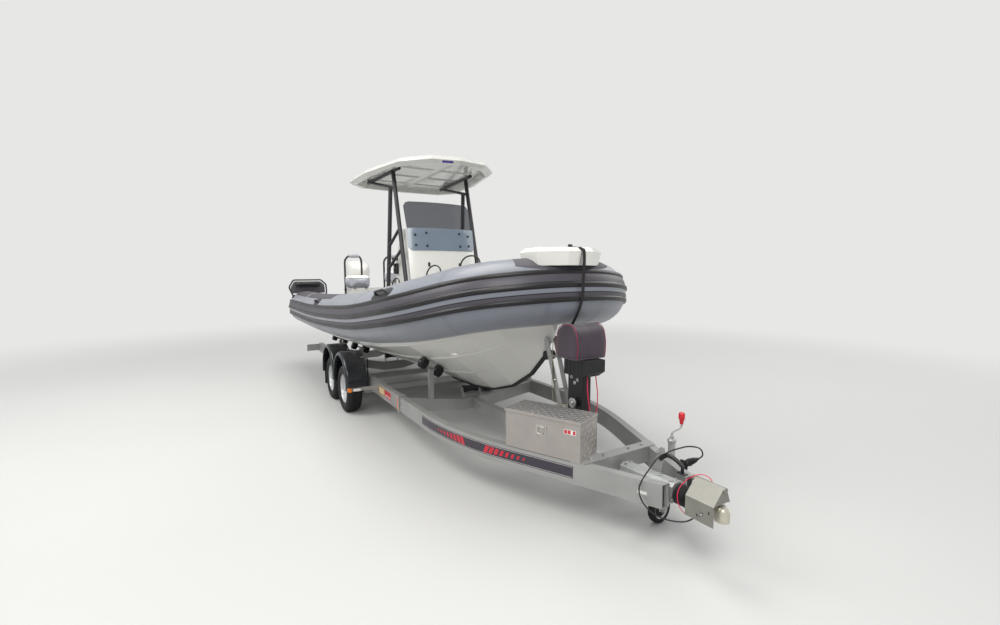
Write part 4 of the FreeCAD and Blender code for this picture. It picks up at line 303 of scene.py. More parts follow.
def block(low, high, bevel=2.0, place=None):
    """Box with rounded edges between two corners in millimetres, put in its place."""
    work = bmesh.new()
    bmesh.ops.create_cube(work, size=1.0)
    size = [abs(b - a) / 1000 for a, b in zip(low, high)]
    mid = [(a + b) / 2000 for a, b in zip(low, high)]
    for vert in work.verts:
        vert.co = Vector([c * s + m for c, s, m in zip(vert.co, size, mid)])
    bmesh.ops.bevel(work, geom=work.edges[:], offset=bevel / 1000, segments=3, profile=0.5,
                    affect="EDGES", clamp_overlap=True)
    work.verts.index_update()
    points = [(place @ v.co) if place else v.co.copy() for v in work.verts]
    faces = [[v.index for v in f.verts] for f in work.faces]
    work.free()
    return points, faces


def at_station(x, y, z, turn=0.0):
    """Place of a block whose corners are measured from a station."""
    return Matrix.Translation(station(x, y, z)) @ Matrix.Rotation(math.radians(turn), 4, "Z")


AT_BALL = at_station(0, 0, 0)


def hex_bolt(centre, axis, size=13.0):
    """Hexagon head on its washer, standing on a face; size is across the flats."""
    washer = turned([(0, 0), (0, size * 0.95), (1.8, size * 0.95), (2.0, size * 0.85),
                     (2.0, 0)], centre, axis, 20)
    r = size * 0.577
    head = turned([(2.0, r), (size * 0.55, r), (size * 0.62, r * 0.86), (size * 0.62, 0.01)],
                  centre, axis, 6)
    return gathered([washer, head])


bolt_zinc = finish("bright_zinc", tinted(190, 192, 190), 0.3, metal=0.9, mottle=0.15, cloud=0.02,
                   grain=0.0003, grain_size=0.003)
RAIL_LOW, RAIL_HIGH, BEND_START, BEND_RADIUS, BEND_TURN = 310.0, 460.0, -2380.0, 2600.0, 23.5


def rail_point(run, z, proud=0.0, side=-1):
    """Point on a rail's outer face, run millimetres ahead of where its bend starts."""
    turn = max(0.0, min(run / BEND_RADIUS, math.radians(BEND_TURN)))
    rest = run - BEND_RADIUS * turn
    x = BEND_START + BEND_RADIUS * math.sin(turn) + rest * math.cos(turn)
    y = 812.0 - BEND_RADIUS * (1 - math.cos(turn)) - rest * math.sin(turn)
    return station(x + math.sin(turn) * proud, side * (y + math.cos(turn) * proud), z)


def rail_patch(run0, run1, z0, z1, proud, side=-1, slant=0.0, step=40.0):
    """Thin film on a rail's outer face, leaning by slant from its foot to its top."""
    count = max(1, math.ceil(abs(run1 - run0) / step))
    points, faces = [], []
    for i in range(count + 1):
        run = run0 + (run1 - run0) * i / count
        points += [rail_point(run, z0, proud, side), rail_point(run + slant, z1, proud, side)]
    for i in range(count):
        faces.append([2 * i, 2 * i + 2, 2 * i + 3, 2 * i + 1])
    return points, faces


film_dark = finish("dark_decal_film", tinted(52, 46, 58), 0.34, mottle=0.10, cloud=0.4, coat=0.3)
film_red = finish("red_decal_film", tinted(196, 30, 52), 0.32, mottle=0.08, cloud=0.3, coat=0.3)
film_white = finish("white_decal_film", tinted(226, 224, 218), 0.35, mottle=0.05, cloud=0.3,
                    coat=0.3)
film_yellow = finish("yellow_decal_film", tinted(226, 168, 34), 0.35, mottle=0.08, cloud=0.1,
                     coat=0.3)
amber = finish("amber_lens", tinted(236, 126, 26), 0.18, mottle=0.12, cloud=0.01, coat=0.6,
               grain=0.0004, grain_size=0.004)
RAIL_END = (BEND_RADIUS * math.radians(BEND_TURN)
            + (2080 - 1036.7) / math.cos(math.radians(BEND_TURN)))
STRIP_AFT, STRIP_FORE, STRIP_LOW, STRIP_TOP = -60.0, 1613.0, 346.0, 432.0
SIDES = ((-1, "starboard"), (1, "port"))
for side, side_name in SIDES:
    piece("rail_strip_" + side_name,
          rail_patch(STRIP_AFT, STRIP_FORE, STRIP_LOW, STRIP_TOP, 0.5, side), film_dark)
    piece("rail_strip_lines_" + side_name, gathered([
        rail_patch(STRIP_AFT + 8, STRIP_FORE - 8, z, z + 2.2, 0.9, side)
        for z in (STRIP_LOW + 6, STRIP_TOP - 8)]), film_white)
    bars = []
    middle = (STRIP_AFT + STRIP_FORE) / 2 - 30
    for i in range(8):
        width = 38.0 - 3.6 * i
        reach = 120.0 + 50.0 * i
        half = 30.0 - 2.7 * i
        mid_z = (STRIP_LOW + STRIP_TOP) / 2
        for way in (-1, 1):
            start = middle + way * reach - width / 2
            bars.append(rail_patch(start, start + width, mid_z - half, mid_z + half, 0.9, side,
                                   slant=way * half * 0.9))
    piece("rail_strip_bars_" + side_name, gathered(bars), film_red)
    piece("rail_marker_" + side_name, block((-17, -7, -60), (17, 7, 60), 5.0, at_station(
        -3074, side * 818.4, 376)), amber)
    piece("rail_label_yellow_" + side_name, rail_patch(-1358, -1160, 352, 428, 0.5, side),
          film_yellow)
    piece("rail_label_red_" + side_name, rail_patch(-1150, -936, 352, 428, 0.5, side), film_red)
    piece("rail_label_white_" + side_name, gathered([
        rail_patch(-1336, -1182, 366, 384, 0.9, side),
        rail_patch(-1336, -1182, 396, 414, 0.9, side),
        rail_patch(-1134, -952, 366, 376, 0.9, side)]), film_white)
    piece("rail_plate_" + side_name,
          rail_patch(RAIL_END - 178, RAIL_END - 66, 352, 424, 1.2, side), zinc)
    bolts = []
    for z in (RAIL_LOW + 22, RAIL_HIGH - 22):
        bolts.append(hex_bolt(station(-3028, side * 770, z), (1, 0, 0), 17))
    for x in (-2948, -5650, -6950):
        for z in (360, 420):
            for dx in (-46, 46):
                bolts.append(hex_bolt(station(x + dx, side * 812.4, z), (0, side, 0), 15))
    piece("rail_bolts_" + side_name, gathered(bolts), bolt_zinc, crease=28)

black_moulding = finish("black_moulding", tinted(19, 19, 21), 0.42, mottle=0.15, cloud=0.12,
                        grain=0.0003, grain_size=0.003, dust=0.06)
slope = math.radians(BEND_TURN)
for side, side_name in SIDES:
    forward = Vector((math.cos(slope), -side * math.sin(slope), 0))
    inboard = Vector((-math.sin(slope), -side * math.cos(slope), 0))
    corner = rail_point(RAIL_END, RAIL_LOW, 0, side)
    rows = []
    for across, up in ((6, 6), (48, 6), (48, 144), (6, 144)):
        rows.append(corner + inboard * (across / 1000) + Vector((0, 0, up / 1000)))
    depth = -forward * 0.034
    piece("rail_end_cap_" + side_name,
          ([*rows, *[r + depth for r in rows]],
           [[0, 1, 2, 3], [4, 5, 6, 7], [0, 4, 5, 1], [1, 5, 6, 2], [2, 6, 7, 3], [3, 7, 4, 0]]),
          black_moulding)

spine_bolts = []
for x in (-2760, -2150, -1560, -1010):
    for side in (-1, 1):
        spine_bolts.append(hex_bolt(station(x, side * 35.3, 330), (0, side, 0), 17))
for y in (-250, -120, 120, 250):
    spine_bolts.append(hex_bolt(station(-815, y, 466.3), (0, 0, 1), 17))
piece("spine_bolts", gathered(spine_bolts), bolt_zinc, crease=28)

# Wheels: four steel-rimmed trailer tyres on two braked axles. The tyres are cured rubber with
# circumferential grooves and cross sipes; the rims are pressed and silver painted.
rubber = finish("tyre_rubber", tinted(15, 15, 16), 0.66, mottle=0.22, cloud=0.10, grain=0.0004,
                grain_size=0.0022, dust=0.22, rough_spread=0.12)
silver_paint = finish("silver_wheel_paint", tinted(206, 207, 208), 0.32, metal=0.25, mottle=0.06,
                      cloud=0.08, coat=0.4, grain=0.00012, grain_size=0.002)
WHEELS = [("front", -1, "starboard", -4375), ("front", 1, "port", -4375),
          ("rear", -1, "starboard", -5075), ("rear", 1, "port", -5075)]
# How far the disc stands out from the middle of the tread
DISC_OUT = 3.7
# Half of the tyre's section: distance from the middle of the tread, radius, sipe depth
TREAD = [(0, 290, 0), (5, 290, 0), (5.6, 283, 0), (12, 283, 0), (12.6, 290, 0), (26, 289.6, 1),
         (34, 289, 1), (34.6, 282, 0), (40, 282, 0), (40.6, 288, 0), (50, 287, 7), (60, 284.5, 7),
         (68, 281, 7), (76, 275, 5), (83, 266, 0), (88, 254, 0), (91.5, 238, 0), (92.5, 224, 0),
         (91, 208, 0), (87, 196, 0), (80, 186, 0), (76.5, 180, 0), (74, 174.3, 0)]
section = [(-y, r, s) for y, r, s in reversed(TREAD[1:])] + TREAD
for end, side, side_name, x in WHEELS:
    centre = station(x, side * (1080 - 92.5), 290)
    place = facing((0, side, 0), centre)
    points = []
    steps = 168
    for i in range(steps):
        a = 2 * math.pi * i / steps
        cut = i % 4 == 0
        for y, radius, sipe in section:
            swirl = a + (0.012 if y > 0 else -0.012) * (abs(y) / 40.0)
            r = (radius - (sipe if cut else 0)) / 1000
            points.append(place @ Vector((r * math.cos(swirl), r * math.sin(swirl), y / 1000)))
    faces = woven(steps, len(section), ring=True)
    body = "wheel_" + end + "_" + side_name
    tyre = piece("tyre_tread_" + end + "_" + side_name, (points, faces), rubber, body, 32)
    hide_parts("tyre_" + end + "_" + side_name)
    # pressed disc with its vent slots, then the well, the drum, the hub cap and the bolts
    disc = [(DISC_OUT + along, radius) for along, radius in (
        (26, 164), (25, 156), (20, 144), (12, 128), (10, 112), (14, 98), (19, 84), (20, 66),
        (20, 33))]
    sectors = 96
    points, faces = [], []
    for i in range(sectors):
        a = 2 * math.pi * i / sectors
        for along, radius in disc:
            wave = 3.5 * math.cos(8 * a) if 90 < radius < 150 else 0.0
            points.append(place @ Vector((radius / 1000 * math.cos(a), radius / 1000 * math.sin(a),
                                          (along + wave) / 1000)))
    count = len(disc)
    for i in range(sectors):
        j = (i + 1) % sectors
        for k in range(count - 1):
            slot_here = 2 <= k <= 3 and (i % 12) in (4, 5, 6, 7)
            if not slot_here:
                faces.append([i * count + k, j * count + k, j * count + k + 1, i * count + k + 1])
    pressed = piece("rim_disc_" + end + "_" + side_name, (points, faces), silver_paint, body, 40)
    thick = pressed.modifiers.new("sheet", "SOLIDIFY")
    thick.thickness = 0.004
    thick.offset = -1.0
    soft = pressed.modifiers.new("edge", "BEVEL")
    soft.width = 0.0012
    soft.segments = 2
    soft.limit_method = "ANGLE"
    barrel = turned([(-72, 168), (-72.5, 178), (-66, 178.5), (-60, 171), (-50, 164), (-36, 150),
                     (-18, 150), (-8, 163), (DISC_OUT + 20, 166), (46, 168), (60, 171), (66, 178.5),
                     (72.5, 178), (72.5, 172), (66, 169), (50, 163), (36, 163), (-8, 159),
                     (-14, 146), (-36, 146), (-50, 160), (-72, 168)], centre, (0, side, 0), 72)
    piece("rim_barrel_" + end + "_" + side_name, barrel, silver_paint, body, 32)
    drum = turned([(-84, 20), (-84, 100), (-80, 104), (-44, 104), (-38, 96), (-12, 88),
                   (12, 60), (20, 34)], centre, (0, side, 0), 48)
    shown = piece("brake_drum_" + end + "_" + side_name, drum, zinc, body, 32)
    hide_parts("rim_" + end + "_" + side_name)
    hub = turned([(DISC_OUT + along, radius) for along, radius in (
        (20, 33), (22, 34), (40, 32), (45, 28), (46.3, 14), (46.4, 0.01))],
        centre, (0, side, 0), 40)
    piece("hub_cap_" + end + "_" + side_name, hub, black_moulding, body, 32)
    nuts = []
    for i in range(5):
        a = 2 * math.pi * (i + 0.5) / 5
        nuts.append(hex_bolt(place @ Vector((0.056 * math.cos(a), 0.056 * math.sin(a), 0.0236)),
                             (0, side, 0), 17))
    valve_at = place @ Vector((0.118, 0.0, 0.016))
    nuts.append(turned([(0, 4), (22, 4), (24, 3), (24, 0.01)], valve_at, (0, side, 0), 12))
    piece("wheel_bolts_" + end + "_" + side_name, gathered(nuts), bolt_zinc, body, 28)

# Mudguards: four black vacuum-formed arches with a rolled lip, bolted to galvanised stays.
guard_plastic = finish("mudguard_plastic", tinted(25, 28, 33), 0.26, mottle=0.12, cloud=0.25,
                       coat=0.25, grain=0.0002, grain_size=0.006, dust=0.10)
dress(guard_plastic, "mudguards")
stay_bolts = []
for x in (-4375, -5075):
    for dx in (-190, 190):
        for side in (-1, 1):
            crown = 407 + math.sqrt(345 ** 2 - 190 ** 2)
            stay_bolts.append(hex_bolt(station(x + dx, side * 817.3, 425), (0, side, 0), 13))
            lean = Vector((dx, 0, crown - 407)).normalized()
            stay_bolts.append(hex_bolt(station(x + dx, side * 880, crown) + lean * 0.0004,
                                       lean, 13))
piece("mudguard_bolts", gathered(stay_bolts), bolt_zinc, crease=28)

# Lamps: white front markers with an amber end on their arms, red cluster lamps at the stern,
# moulded acrylic lenses on black housings.
dress(black_moulding, "lamps")
clear_lens = finish("white_lens", tinted(232, 232, 228), 0.14, mottle=0.06, cloud=0.01, coat=0.6,
                    grain=0.0004, grain_size=0.004)
red_lens = finish("red_lens", tinted(176, 22, 26), 0.16, mottle=0.12, cloud=0.01, coat=0.6,
                  grain=0.0004, grain_size=0.004)
for side, side_name in SIDES:
    piece("front_marker_" + side_name, block((5, -44, -17), (24, 44, 17), 6.0,
                                             at_station(-3760, side * 1060, 412)), clear_lens)
    piece("end_marker_" + side_name, turned([(6, 25), (24, 25), (29, 22), (30, 0.01)],
                                            station(-3760, side * 1140, 412), (1, 0, 0), 32),
          amber)
    piece("stern_lamp_" + side_name, gathered([
        block((-62, -112, -48), (-10, -38, 48), 6.0, at_station(-7250, side * 887, 385)),
        block((-62, 42, -48), (-10, 112, 48), 6.0, at_station(-7250, side * 887, 385))]), red_lens)
    piece("stern_indicator_" + side_name, block((-62, -35, -48), (-10, 39, 48), 6.0,
                                                at_station(-7250, side * 887, 385)), amber)
    arm_bolts = [hex_bolt(station(-3785, side * 818.4, z), (0, side, 0), 13) for z in (396, 428)]
    piece("lamp_arm_bolts_" + side_name, gathered(arm_bolts), bolt_zinc, crease=28)

# Hull rollers: black moulded rubber drums with ribs, in pairs on pins across swivel posts, and
# three waisted keel rollers.
roller_rubber = finish("roller_rubber", tinted(28, 28, 30), 0.6, mottle=0.2, cloud=0.05,
                       grain=0.0003, grain_size=0.002, dust=0.18)


def islands(name):
    """The separate solids of a CAD node, each as its points."""
    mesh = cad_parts[name].data
    owner = list(range(len(mesh.vertices)))

    def root(i):
        while owner[i] != i:
            owner[i] = owner[owner[i]]
            i = owner[i]
        return i
    spots = {}
    for vert in mesh.vertices:
        key = tuple(round(c, 5) for c in vert.co)
        if key in spots:
            owner[root(vert.index)] = root(spots[key])
        else:
            spots[key] = vert.index
    for edge in mesh.edges:
        a, b = edge.vertices
        owner[root(a)] = root(b)
    groups = {}
    for vert in mesh.vertices:
        groups.setdefault(root(vert.index), []).append(vert.co[:])
    return [np.array(g) for g in groups.values()]


drums = []
for cloud in islands("hull_rollers"):
    low, high = cloud.min(0), cloud.max(0)
    middle = Vector((low + high) / 2)
    if abs(middle.y) < 0.005:
        profile = [(-90, 9), (-90, 38), (-87, 42), (-70, 42), (-50, 37), (-20, 33), (20, 33),
                   (50, 37), (70, 42), (87, 42), (90, 38), (90, 9)]
        drums.append(turned(profile, middle, (0, 1, 0), 40))
        continue
    centred = cloud - cloud.mean(0)
    axes = np.linalg.eigh(centred.T @ centred)[1]
    axis = min((Vector(axes[:, k]) for k in range(3)), key=lambda v: max(
        abs(Vector(p).dot(v)) for p in centred))
    profile = [(-36, 12), (-36, 50), (-33, 56)]
    for i in range(5):
        start = -30 + i * 12.4
        profile += [(start, 57.6), (start + 7.4, 57.6), (start + 8.4, 53.5), (start + 11.4, 53.5)]
    profile = profile[:-2] + [(33, 56), (36, 50), (36, 12)]
    drums.append(turned(profile, middle, axis, 40))
rollers = piece("roller_drums", gathered(drums), roller_rubber, crease=38)
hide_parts("hull_rollers")

# Winch post: two leaning zinc plates carry a black folded-steel column with an electric winch
# head on it; bolt heads and the strap pulley stand on its starboard side.
dress(black_moulding, "winch_column")
winch_bolts = [hex_bolt(station(x, -40.2, z), (0, -1, 0), 15)
               for x, z in ((-1266, 925), (-1198, 912), (-1232, 884))]
winch_bolts += [hex_bolt(station(x, side * 50.2, z), (0, side, 0), 17)
                for side in (-1, 1) for x, z in ((-1318, 452), (-1352, 540), (-1470, 860))]
winch_bolts.append(turned([(0, 8), (0, 38), (2, 40), (10, 40), (12, 38), (13, 30), (13, 16),
                           (22, 15), (24, 12), (24, 0.01)],
                          station(-1222, -62, 732), (0, -1, 0), 40))
piece("winch_bolts", gathered(winch_bolts), bolt_zinc, crease=28)
head_ribs = [block((-1296 + 44 * i, -86, 962), (-1276 + 44 * i, -83.6, 1072), 1.0,
                   AT_BALL) for i in range(5)]
piece("winch_head_ribs", gathered(head_ribs), black_moulding)
dress(roller_rubber, "bow_stop")

# Bag over the winch head: coated polyester, sewn from one arched panel and two end panels with
# crimson piping in the seams, and hanging slack between its elastic hem and the head.
bag_cloth = finish("bag_polyester", tinted(52, 38, 52), 0.52, mottle=0.16, cloud=0.16,
                   grain=0.0005, grain_size=0.0016, sheen=0.35, dust=0.12)
piping_red = finish("crimson_piping", tinted(152, 30, 72), 0.45, mottle=0.15, cloud=0.03,
                    grain=0.0003, grain_size=0.002)
BAG_ARCH = [(-1312, 1086), (-1334, 1112), (-1340, 1165), (-1337, 1225), (-1326, 1275),
            (-1302, 1313), (-1268, 1336), (-1225, 1348), (-1180, 1347), (-1140, 1330),
            (-1112, 1302), (-1094, 1262), (-1086, 1210), (-1086, 1160), (-1092, 1112),
            (-1098, 1086)]


def bag_ring(y, shrink, sag):
    """One arch of the bag across the winch, drawn in by shrink and sagging by sag."""
    middle = Vector((-1212, 1200))
    ring = []
    for i, (x, z) in enumerate(BAG_ARCH):
        high = max(0.0, (z - 1086) / 262)
        wrinkle = noise.noise(Vector((x * 0.011, y * 0.022, z * 0.014))) * 7.0
        wrinkle += noise.noise(Vector((x * 0.03, y * 0.05 + 7, z * 0.03))) * 3.0
        way = (Vector((x, z)) - middle).normalized()
        pull = shrink + sag * high ** 2 - wrinkle * (0.35 + 0.65 * high)
        ring.append((x - way.x * pull, y, z - way.y * pull * high))
    return ring


BAG_STATIONS = [(-150, 12, 0), (-138, 3, 1), (-126, 0, 2), (-90, 0, 5), (-50, 0, 8), (-10, 0, 10),
                (30, 0, 9), (70, 0, 6), (106, 0, 3), (130, 2, 1), (143, 8, 0), (150, 16, 0)]
rings = [bag_ring(*row) for row in BAG_STATIONS]
points = [station(*p) for ring in rings for p in ring]
across = len(BAG_ARCH)
faces = woven(len(rings), across)
for i, ring in ((0, rings[0]), (len(rings) - 1, rings[-1])):
    hub_point = station(-1212, ring[0][1] * 1.02, 1180)
    points.append(hub_point)
    faces += [[i * across + k, i * across + (k + 1) % across, len(points) - 1]
              for k in range(across)]
bag = piece("winch_bag", (points, faces), bag_cloth, crease=60)
smooth = bag.modifiers.new("smooth", "SUBSURF")
smooth.levels = smooth.render_levels = 2
fold = bag.modifiers.new("hem", "SOLIDIFY")
fold.thickness = 0.003
fold.offset = -1.0
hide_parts("winch_cover")


def bead(name, route, radius, material, body=ROOT, sides=8, closed=False):
    """Round bead, wire or bar bent along places in metres."""
    line = bpy.data.curves.new(name, "CURVE")
    line.dimensions = "3D"
    line.bevel_depth = radius / 1000
    line.bevel_resolution = max(1, sides // 4)
    line.resolution_u = 8
    line.use_fill_caps = True
    spline = line.splines.new("BEZIER")
    spline.bezier_points.add(len(route) - 1)
    for point, place in zip(spline.bezier_points, route):
        point.co = place
        point.handle_left_type = point.handle_right_type = "AUTO"
    spline.use_cyclic_u = closed
    line.materials.append(material)
    made = placed(name, line)
    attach(made, body)
    return made


for k, label in ((1, "starboard"), (len(rings) - 2, "port")):
    outer = [station(x + (x + 1212) * 0.006, y, z + (z - 1180) * 0.006) for x, y, z in rings[k]]
    bead("bag_piping_" + label, outer, 2.6, piping_red)
hem = [station(x + (x + 1212) * 0.01, y, 1092) for y, x in (
    (-146, -1300), (-150, -1212), (-146, -1106), (-60, -1094), (60, -1094), (146, -1106),
    (150, -1212), (146, -1300), (60, -1322), (-60, -1322))]
bead("bag_hem", hem, 4.5, bag_cloth, closed=True)

# Strap from the bow step to the winch: black webbing under tension over the collar, and an
# olive tie that runs down beside the strut to a loose end.
webbing = finish("black_webbing", tinted(26, 26, 28), 0.62, mottle=0.2, cloud=0.05, grain=0.0006,
                 grain_size=0.0025)
olive = finish("olive_webbing", tinted(150, 148, 118), 0.66, mottle=0.15, cloud=0.08, grain=0.0005,
               grain_size=0.0025)


def ribbon(name, route, width, thick, material, across=(0, 1, 0), body=ROOT):
    """Flat band of webbing along a route in metres, its width along a fixed direction."""
    holder = bpy.data.objects.new(name + "_route", guided(name + "_route", route))
    run = [v.co.copy() for v in bpy.data.meshes.new_from_object(holder).vertices]
    bpy.data.objects.remove(holder)
    wide = Vector(across).normalized() * (width / 2000)
    points, faces = [], []
    for i, here in enumerate(run):
        ahead = (run[min(i + 1, len(run) - 1)] - run[max(i - 1, 0)]).normalized()
        up = ahead.cross(wide).normalized() * (thick / 2000)
        points += [here - wide - up, here + wide - up, here + wide + up, here - wide + up]
    for i in range(len(run) - 1):
        for k in range(4):
            m = (k + 1) % 4
            faces.append([4 * i + k, 4 * i + m, 4 * i + 4 + m, 4 * i + 4 + k])
    faces += [[3, 2, 1, 0], [4 * len(run) - 4 + k for k in range(4)]]
    return piece(name, (points, faces), material, body, 40)


# Toolbox on the starboard drawbar: folded aluminium sheet with a tread pattern of single bars
# pressed into the lid and the end panels, and a lid with turned-down edges.
aluminium = finish("aluminium_sheet", tinted(178, 172, 167), 0.34, metal=0.70, mottle=0.07,
                   cloud=0.12, rough_spread=0.10, dust=0.10, grain=0.00015, grain_size=0.004)
steel_latch = finish("latch_steel", tinted(196, 192, 186), 0.25, metal=0.9, mottle=0.12, cloud=0.02,
                     grain=0.0002, grain_size=0.003)
plate_bars = finish("tread_bars", tinted(208, 206, 203), 0.26, metal=0.80, mottle=0.07, cloud=0.03,
                    grain=0.00015, grain_size=0.004)
plate_ground = finish("tread_ground", tinted(150, 147, 146), 0.42, metal=0.70, mottle=0.12,
                      cloud=0.10, dust=0.12, grain=0.0002, grain_size=0.004)
dress(aluminium, "toolbox_body")
dress(plate_ground, "toolbox_lid")
BOX_CORNER = at_station(-790, -362, 466, 23.5)
BOX_HIGH = 280.0


def tread(along, across, place, normal, low, high, step=24.0):
    """Raised bars of tread plate, leaning left and right by turns, over a rectangle."""
    bars = []
    along, across, normal = Vector(along), Vector(across), Vector(normal)
    columns = int((high[0] - low[0]) / step)
    rows = int((high[1] - low[1]) / step)
    grow = step / 24.0
    for i in range(columns):
        for j in range(rows):
            a = low[0] + (i + 0.5) * (high[0] - low[0]) / columns
            b = low[1] + (j + 0.5) * (high[1] - low[1]) / rows
            lean = 1.0 if (i + j) % 2 else -1.0
            long_way = (along + across * lean).normalized()
            wide_way = normal.cross(long_way)
            centre = along * a + across * b
            outline = [(-12, 0, 0), (-6, -2.8, 0), (6, -2.8, 0), (12, 0, 0), (6, 2.8, 0),
                       (-6, 2.8, 0), (-6.5, 0, 2.2), (6.5, 0, 2.2)]
            points = [place @ ((centre + long_way * u * grow + wide_way * v * grow
                                + normal * (w - 0.1)) / 1000) for u, v, w in outline]
            bars.append((points, [[0, 1, 6], [1, 2, 7, 6], [2, 3, 7], [3, 4, 7], [4, 5, 6, 7],
                                  [5, 0, 6]]))
    return gathered(bars)


lid_place = BOX_CORNER @ Matrix.Translation((0, 0, BOX_HIGH / 1000))
piece("lid_tread", tread((1, 0, 0), (0, 1, 0), lid_place, (0, 0, 1), (-598, 2), (-2, 262), 29.0),
      plate_bars, "toolbox_lid_body", 20)
piece("end_tread", gathered([
    tread((0, 1, 0), (0, 0, 1), BOX_CORNER, (1, 0, 0), (6, 8), (264, 248), 40.0),
    tread((0, 1, 0), (0, 0, 1), BOX_CORNER @ Matrix.Translation((-0.600, 0, 0)), (-1, 0, 0), (6, 8),
          (264, 248), 40.0)]), plate_bars, crease=20)
edge_bars = [block((-604, -6, 258), (4, -3.6, 280.6), 1.0, BOX_CORNER),
             block((3.6, -6, 258), (6, 266, 280.6), 1.0, BOX_CORNER),
             block((-606, -6, 258), (-603.6, 266, 280.6), 1.0, BOX_CORNER)]
piece("lid_edges", gathered(edge_bars), aluminium, "toolbox_lid_body")
seams = [block((-600, -1.2, 2), (-597, 0.2, 250), 0.5, BOX_CORNER),
         block((-3, -1.2, 2), (0, 0.2, 250), 0.5, BOX_CORNER),
         block((-600, -1.2, 0), (0, 0.2, 5), 0.5, BOX_CORNER)]
piece("box_seams", gathered(seams), aluminium)

# Latch: a pressed steel dish with a folding D handle and its lock barrel, and beside it a
# white label with plain red blocks.
latch = BOX_CORNER @ Matrix.Translation((-0.300, -0.0002, 0.172))
outline = [(-42, -28), (-28, -42), (28, -42), (42, -28), (42, 28), (28, 42), (-28, 42), (-42, 28)]
points, faces = [], []
for scale, deep in ((1.0, 0.0), (1.0, -3.2), (0.86, -4.0), (0.72, -3.4), (0.66, -0.6), (0.0, -0.5)):
    points += [latch @ Vector((x * scale / 1000, deep / 1000, z * scale / 1000))
               for x, z in outline]
for i in range(5):
    for k in range(8):
        m = (k + 1) % 8
        faces.append([8 * i + k, 8 * i + m, 8 * i + 8 + m, 8 * i + 8 + k])
piece("latch_dish", (points, faces), steel_latch, crease=30)
grip_route = [latch @ Vector((x / 1000, -0.0052, z / 1000)) for x, z in (
    (-22, 20), (-22, -6), (-13, -25), (0, -29), (13, -25), (22, -6), (22, 20), (0, 22))]
bead("latch_handle", grip_route, 3.6, steel_latch, closed=True)
piece("latch_lock", turned([(0, 7), (4, 7), (5, 5), (5, 0.01)], latch @ Vector((0, -0.001, 0.006)),
                           BOX_CORNER.to_3x3() @ Vector((0, -1, 0)), 20), bolt_zinc)
label = [BOX_CORNER @ Vector((x / 1000, -0.0006, z / 1000))
         for x, z in ((-124, 182), (-34, 182), (-34, 216), (-124, 216))]
piece("box_label", (label, [[0, 1, 2, 3]]), film_white)
marks = [([BOX_CORNER @ Vector((x / 1000, -0.0010, z / 1000))
           for x, z in ((a, 186), (a + w, 186), (a + w, 212), (a, 212))], [[0, 1, 2, 3]])
         for a, w in ((-120, 22), (-94, 22), (-56, 18))]
piece("box_label_blocks", gathered(marks), film_red)

# Overrun coupling: a cast, grey-painted housing bolted between the drawbar rails, a rubber
# bellows round the shaft, and the pressed coupling head.
cast_paint = finish("cast_housing", tinted(178, 181, 180), 0.42, metal=0.45, mottle=0.08,
                    cloud=0.15, grain=0.0006, grain_size=0.004, dust=0.15)
bellows_rubber = finish("bellows_rubber", tinted(22, 22, 24), 0.55, mottle=0.2, cloud=0.04,
                        grain=0.0003, grain_size=0.002, dust=0.08)
ball_zinc = finish("ball_head_zinc", tinted(206, 202, 186), 0.34, metal=0.45, mottle=0.10,
                   cloud=0.05, grain=0.0003, grain_size=0.004, dust=0.08)
dress(cast_paint, "coupling_housing")
dress(ball_zinc, "coupling_head")
dress(bellows_rubber, "coupling_bellows")
housing_bits = []
for x in (-700, -520, -330):
    for y in (-22, 22):
        housing_bits.append(hex_bolt(station(x, y, 424 if x < -600 else 432 if x < -400 else 444),
                                     (0, 0, 1), 15))
housing_bits.append(turned([(0, 12), (14, 12), (16, 9), (16, 4), (22, 4), (22, 0.01)],
                           station(-430, 0, 436), (0, 0, 1), 24))
for side in (-1, 1):
    housing_bits.append(hex_bolt(station(-300, side * 58.2, 350), (0, side, 0), 17))
    housing_bits.append(hex_bolt(station(-360, side * 57, 400), (0, side, 0), 17))
piece("housing_bolts", gathered(housing_bits), bolt_zinc, crease=28)
clips = [turned([(-3, 50), (-3, 55), (3, 55), (3, 50)], station(x, 0, 380), (1, 0, 0), 48)
         for x in (-290, -203)]
piece("bellows_clips", gathered(clips), bolt_zinc, crease=28)
piece("rail_number_plate", rail_patch(RAIL_END - 150, RAIL_END - 92, 374, 394, 1.9), film_white)

# Lock cover: heavy folded sheet, zinc plated to a cream colour, with a rolled ridge, a hasp slot
# and the lock's escutcheon on its starboard face.
cream_zinc = finish("cream_zinc", tinted(136, 135, 127), 0.38, metal=0.35, mottle=0.08, cloud=0.10,
                    grain=0.0002, grain_size=0.01, rough_spread=0.10, dust=0.06)
dress(cream_zinc, "coupling_cover")
piece("lock_escutcheon", turned(
    [(0, 17), (1.5, 17), (2.5, 15.5), (2.5, 12), (1.4, 11), (1.4, 0.01)],
    station(-91, -98.2, 359), (0, -1, 0), 40), cream_zinc)
piece("lock_pin", turned([(0, 6), (7, 6), (9, 4), (9, 0.01)], station(-63, -98.2, 373), (0, -1, 0),
                         20), bolt_zinc)
# The hasp slot, the keyhole and the small slot are painted shade: flat near-black pads on the cover
# stand in for the shade inside the openings.
painted_slot_shade = finish("painted_slot_shade", tinted(18, 18, 20), 0.8, mottle=0.2, cloud=0.05, grain=0.0002,
                  grain_size=0.004)
piece("lock_slot_shade", gathered([
    block((-22, -98.8, 392), (-15, -97.8, 410), 0.3, AT_BALL),
    block((-94, -101.2, 352), (-88, -100.2, 366), 0.3, AT_BALL),
    block((-58, -98.8, 382), (-54, -97.8, 390), 0.3, AT_BALL)]), painted_slot_shade)
piece("cover_ridge_ends", gathered([
    turned([(0, 8), (0, 17.6), (4, 17.6), (5, 16.5), (5, 8)], station(x, 0, 520), (way, 0, 0), 32)
    for x, way in ((12, 1), (-193, -1))]), cream_zinc)

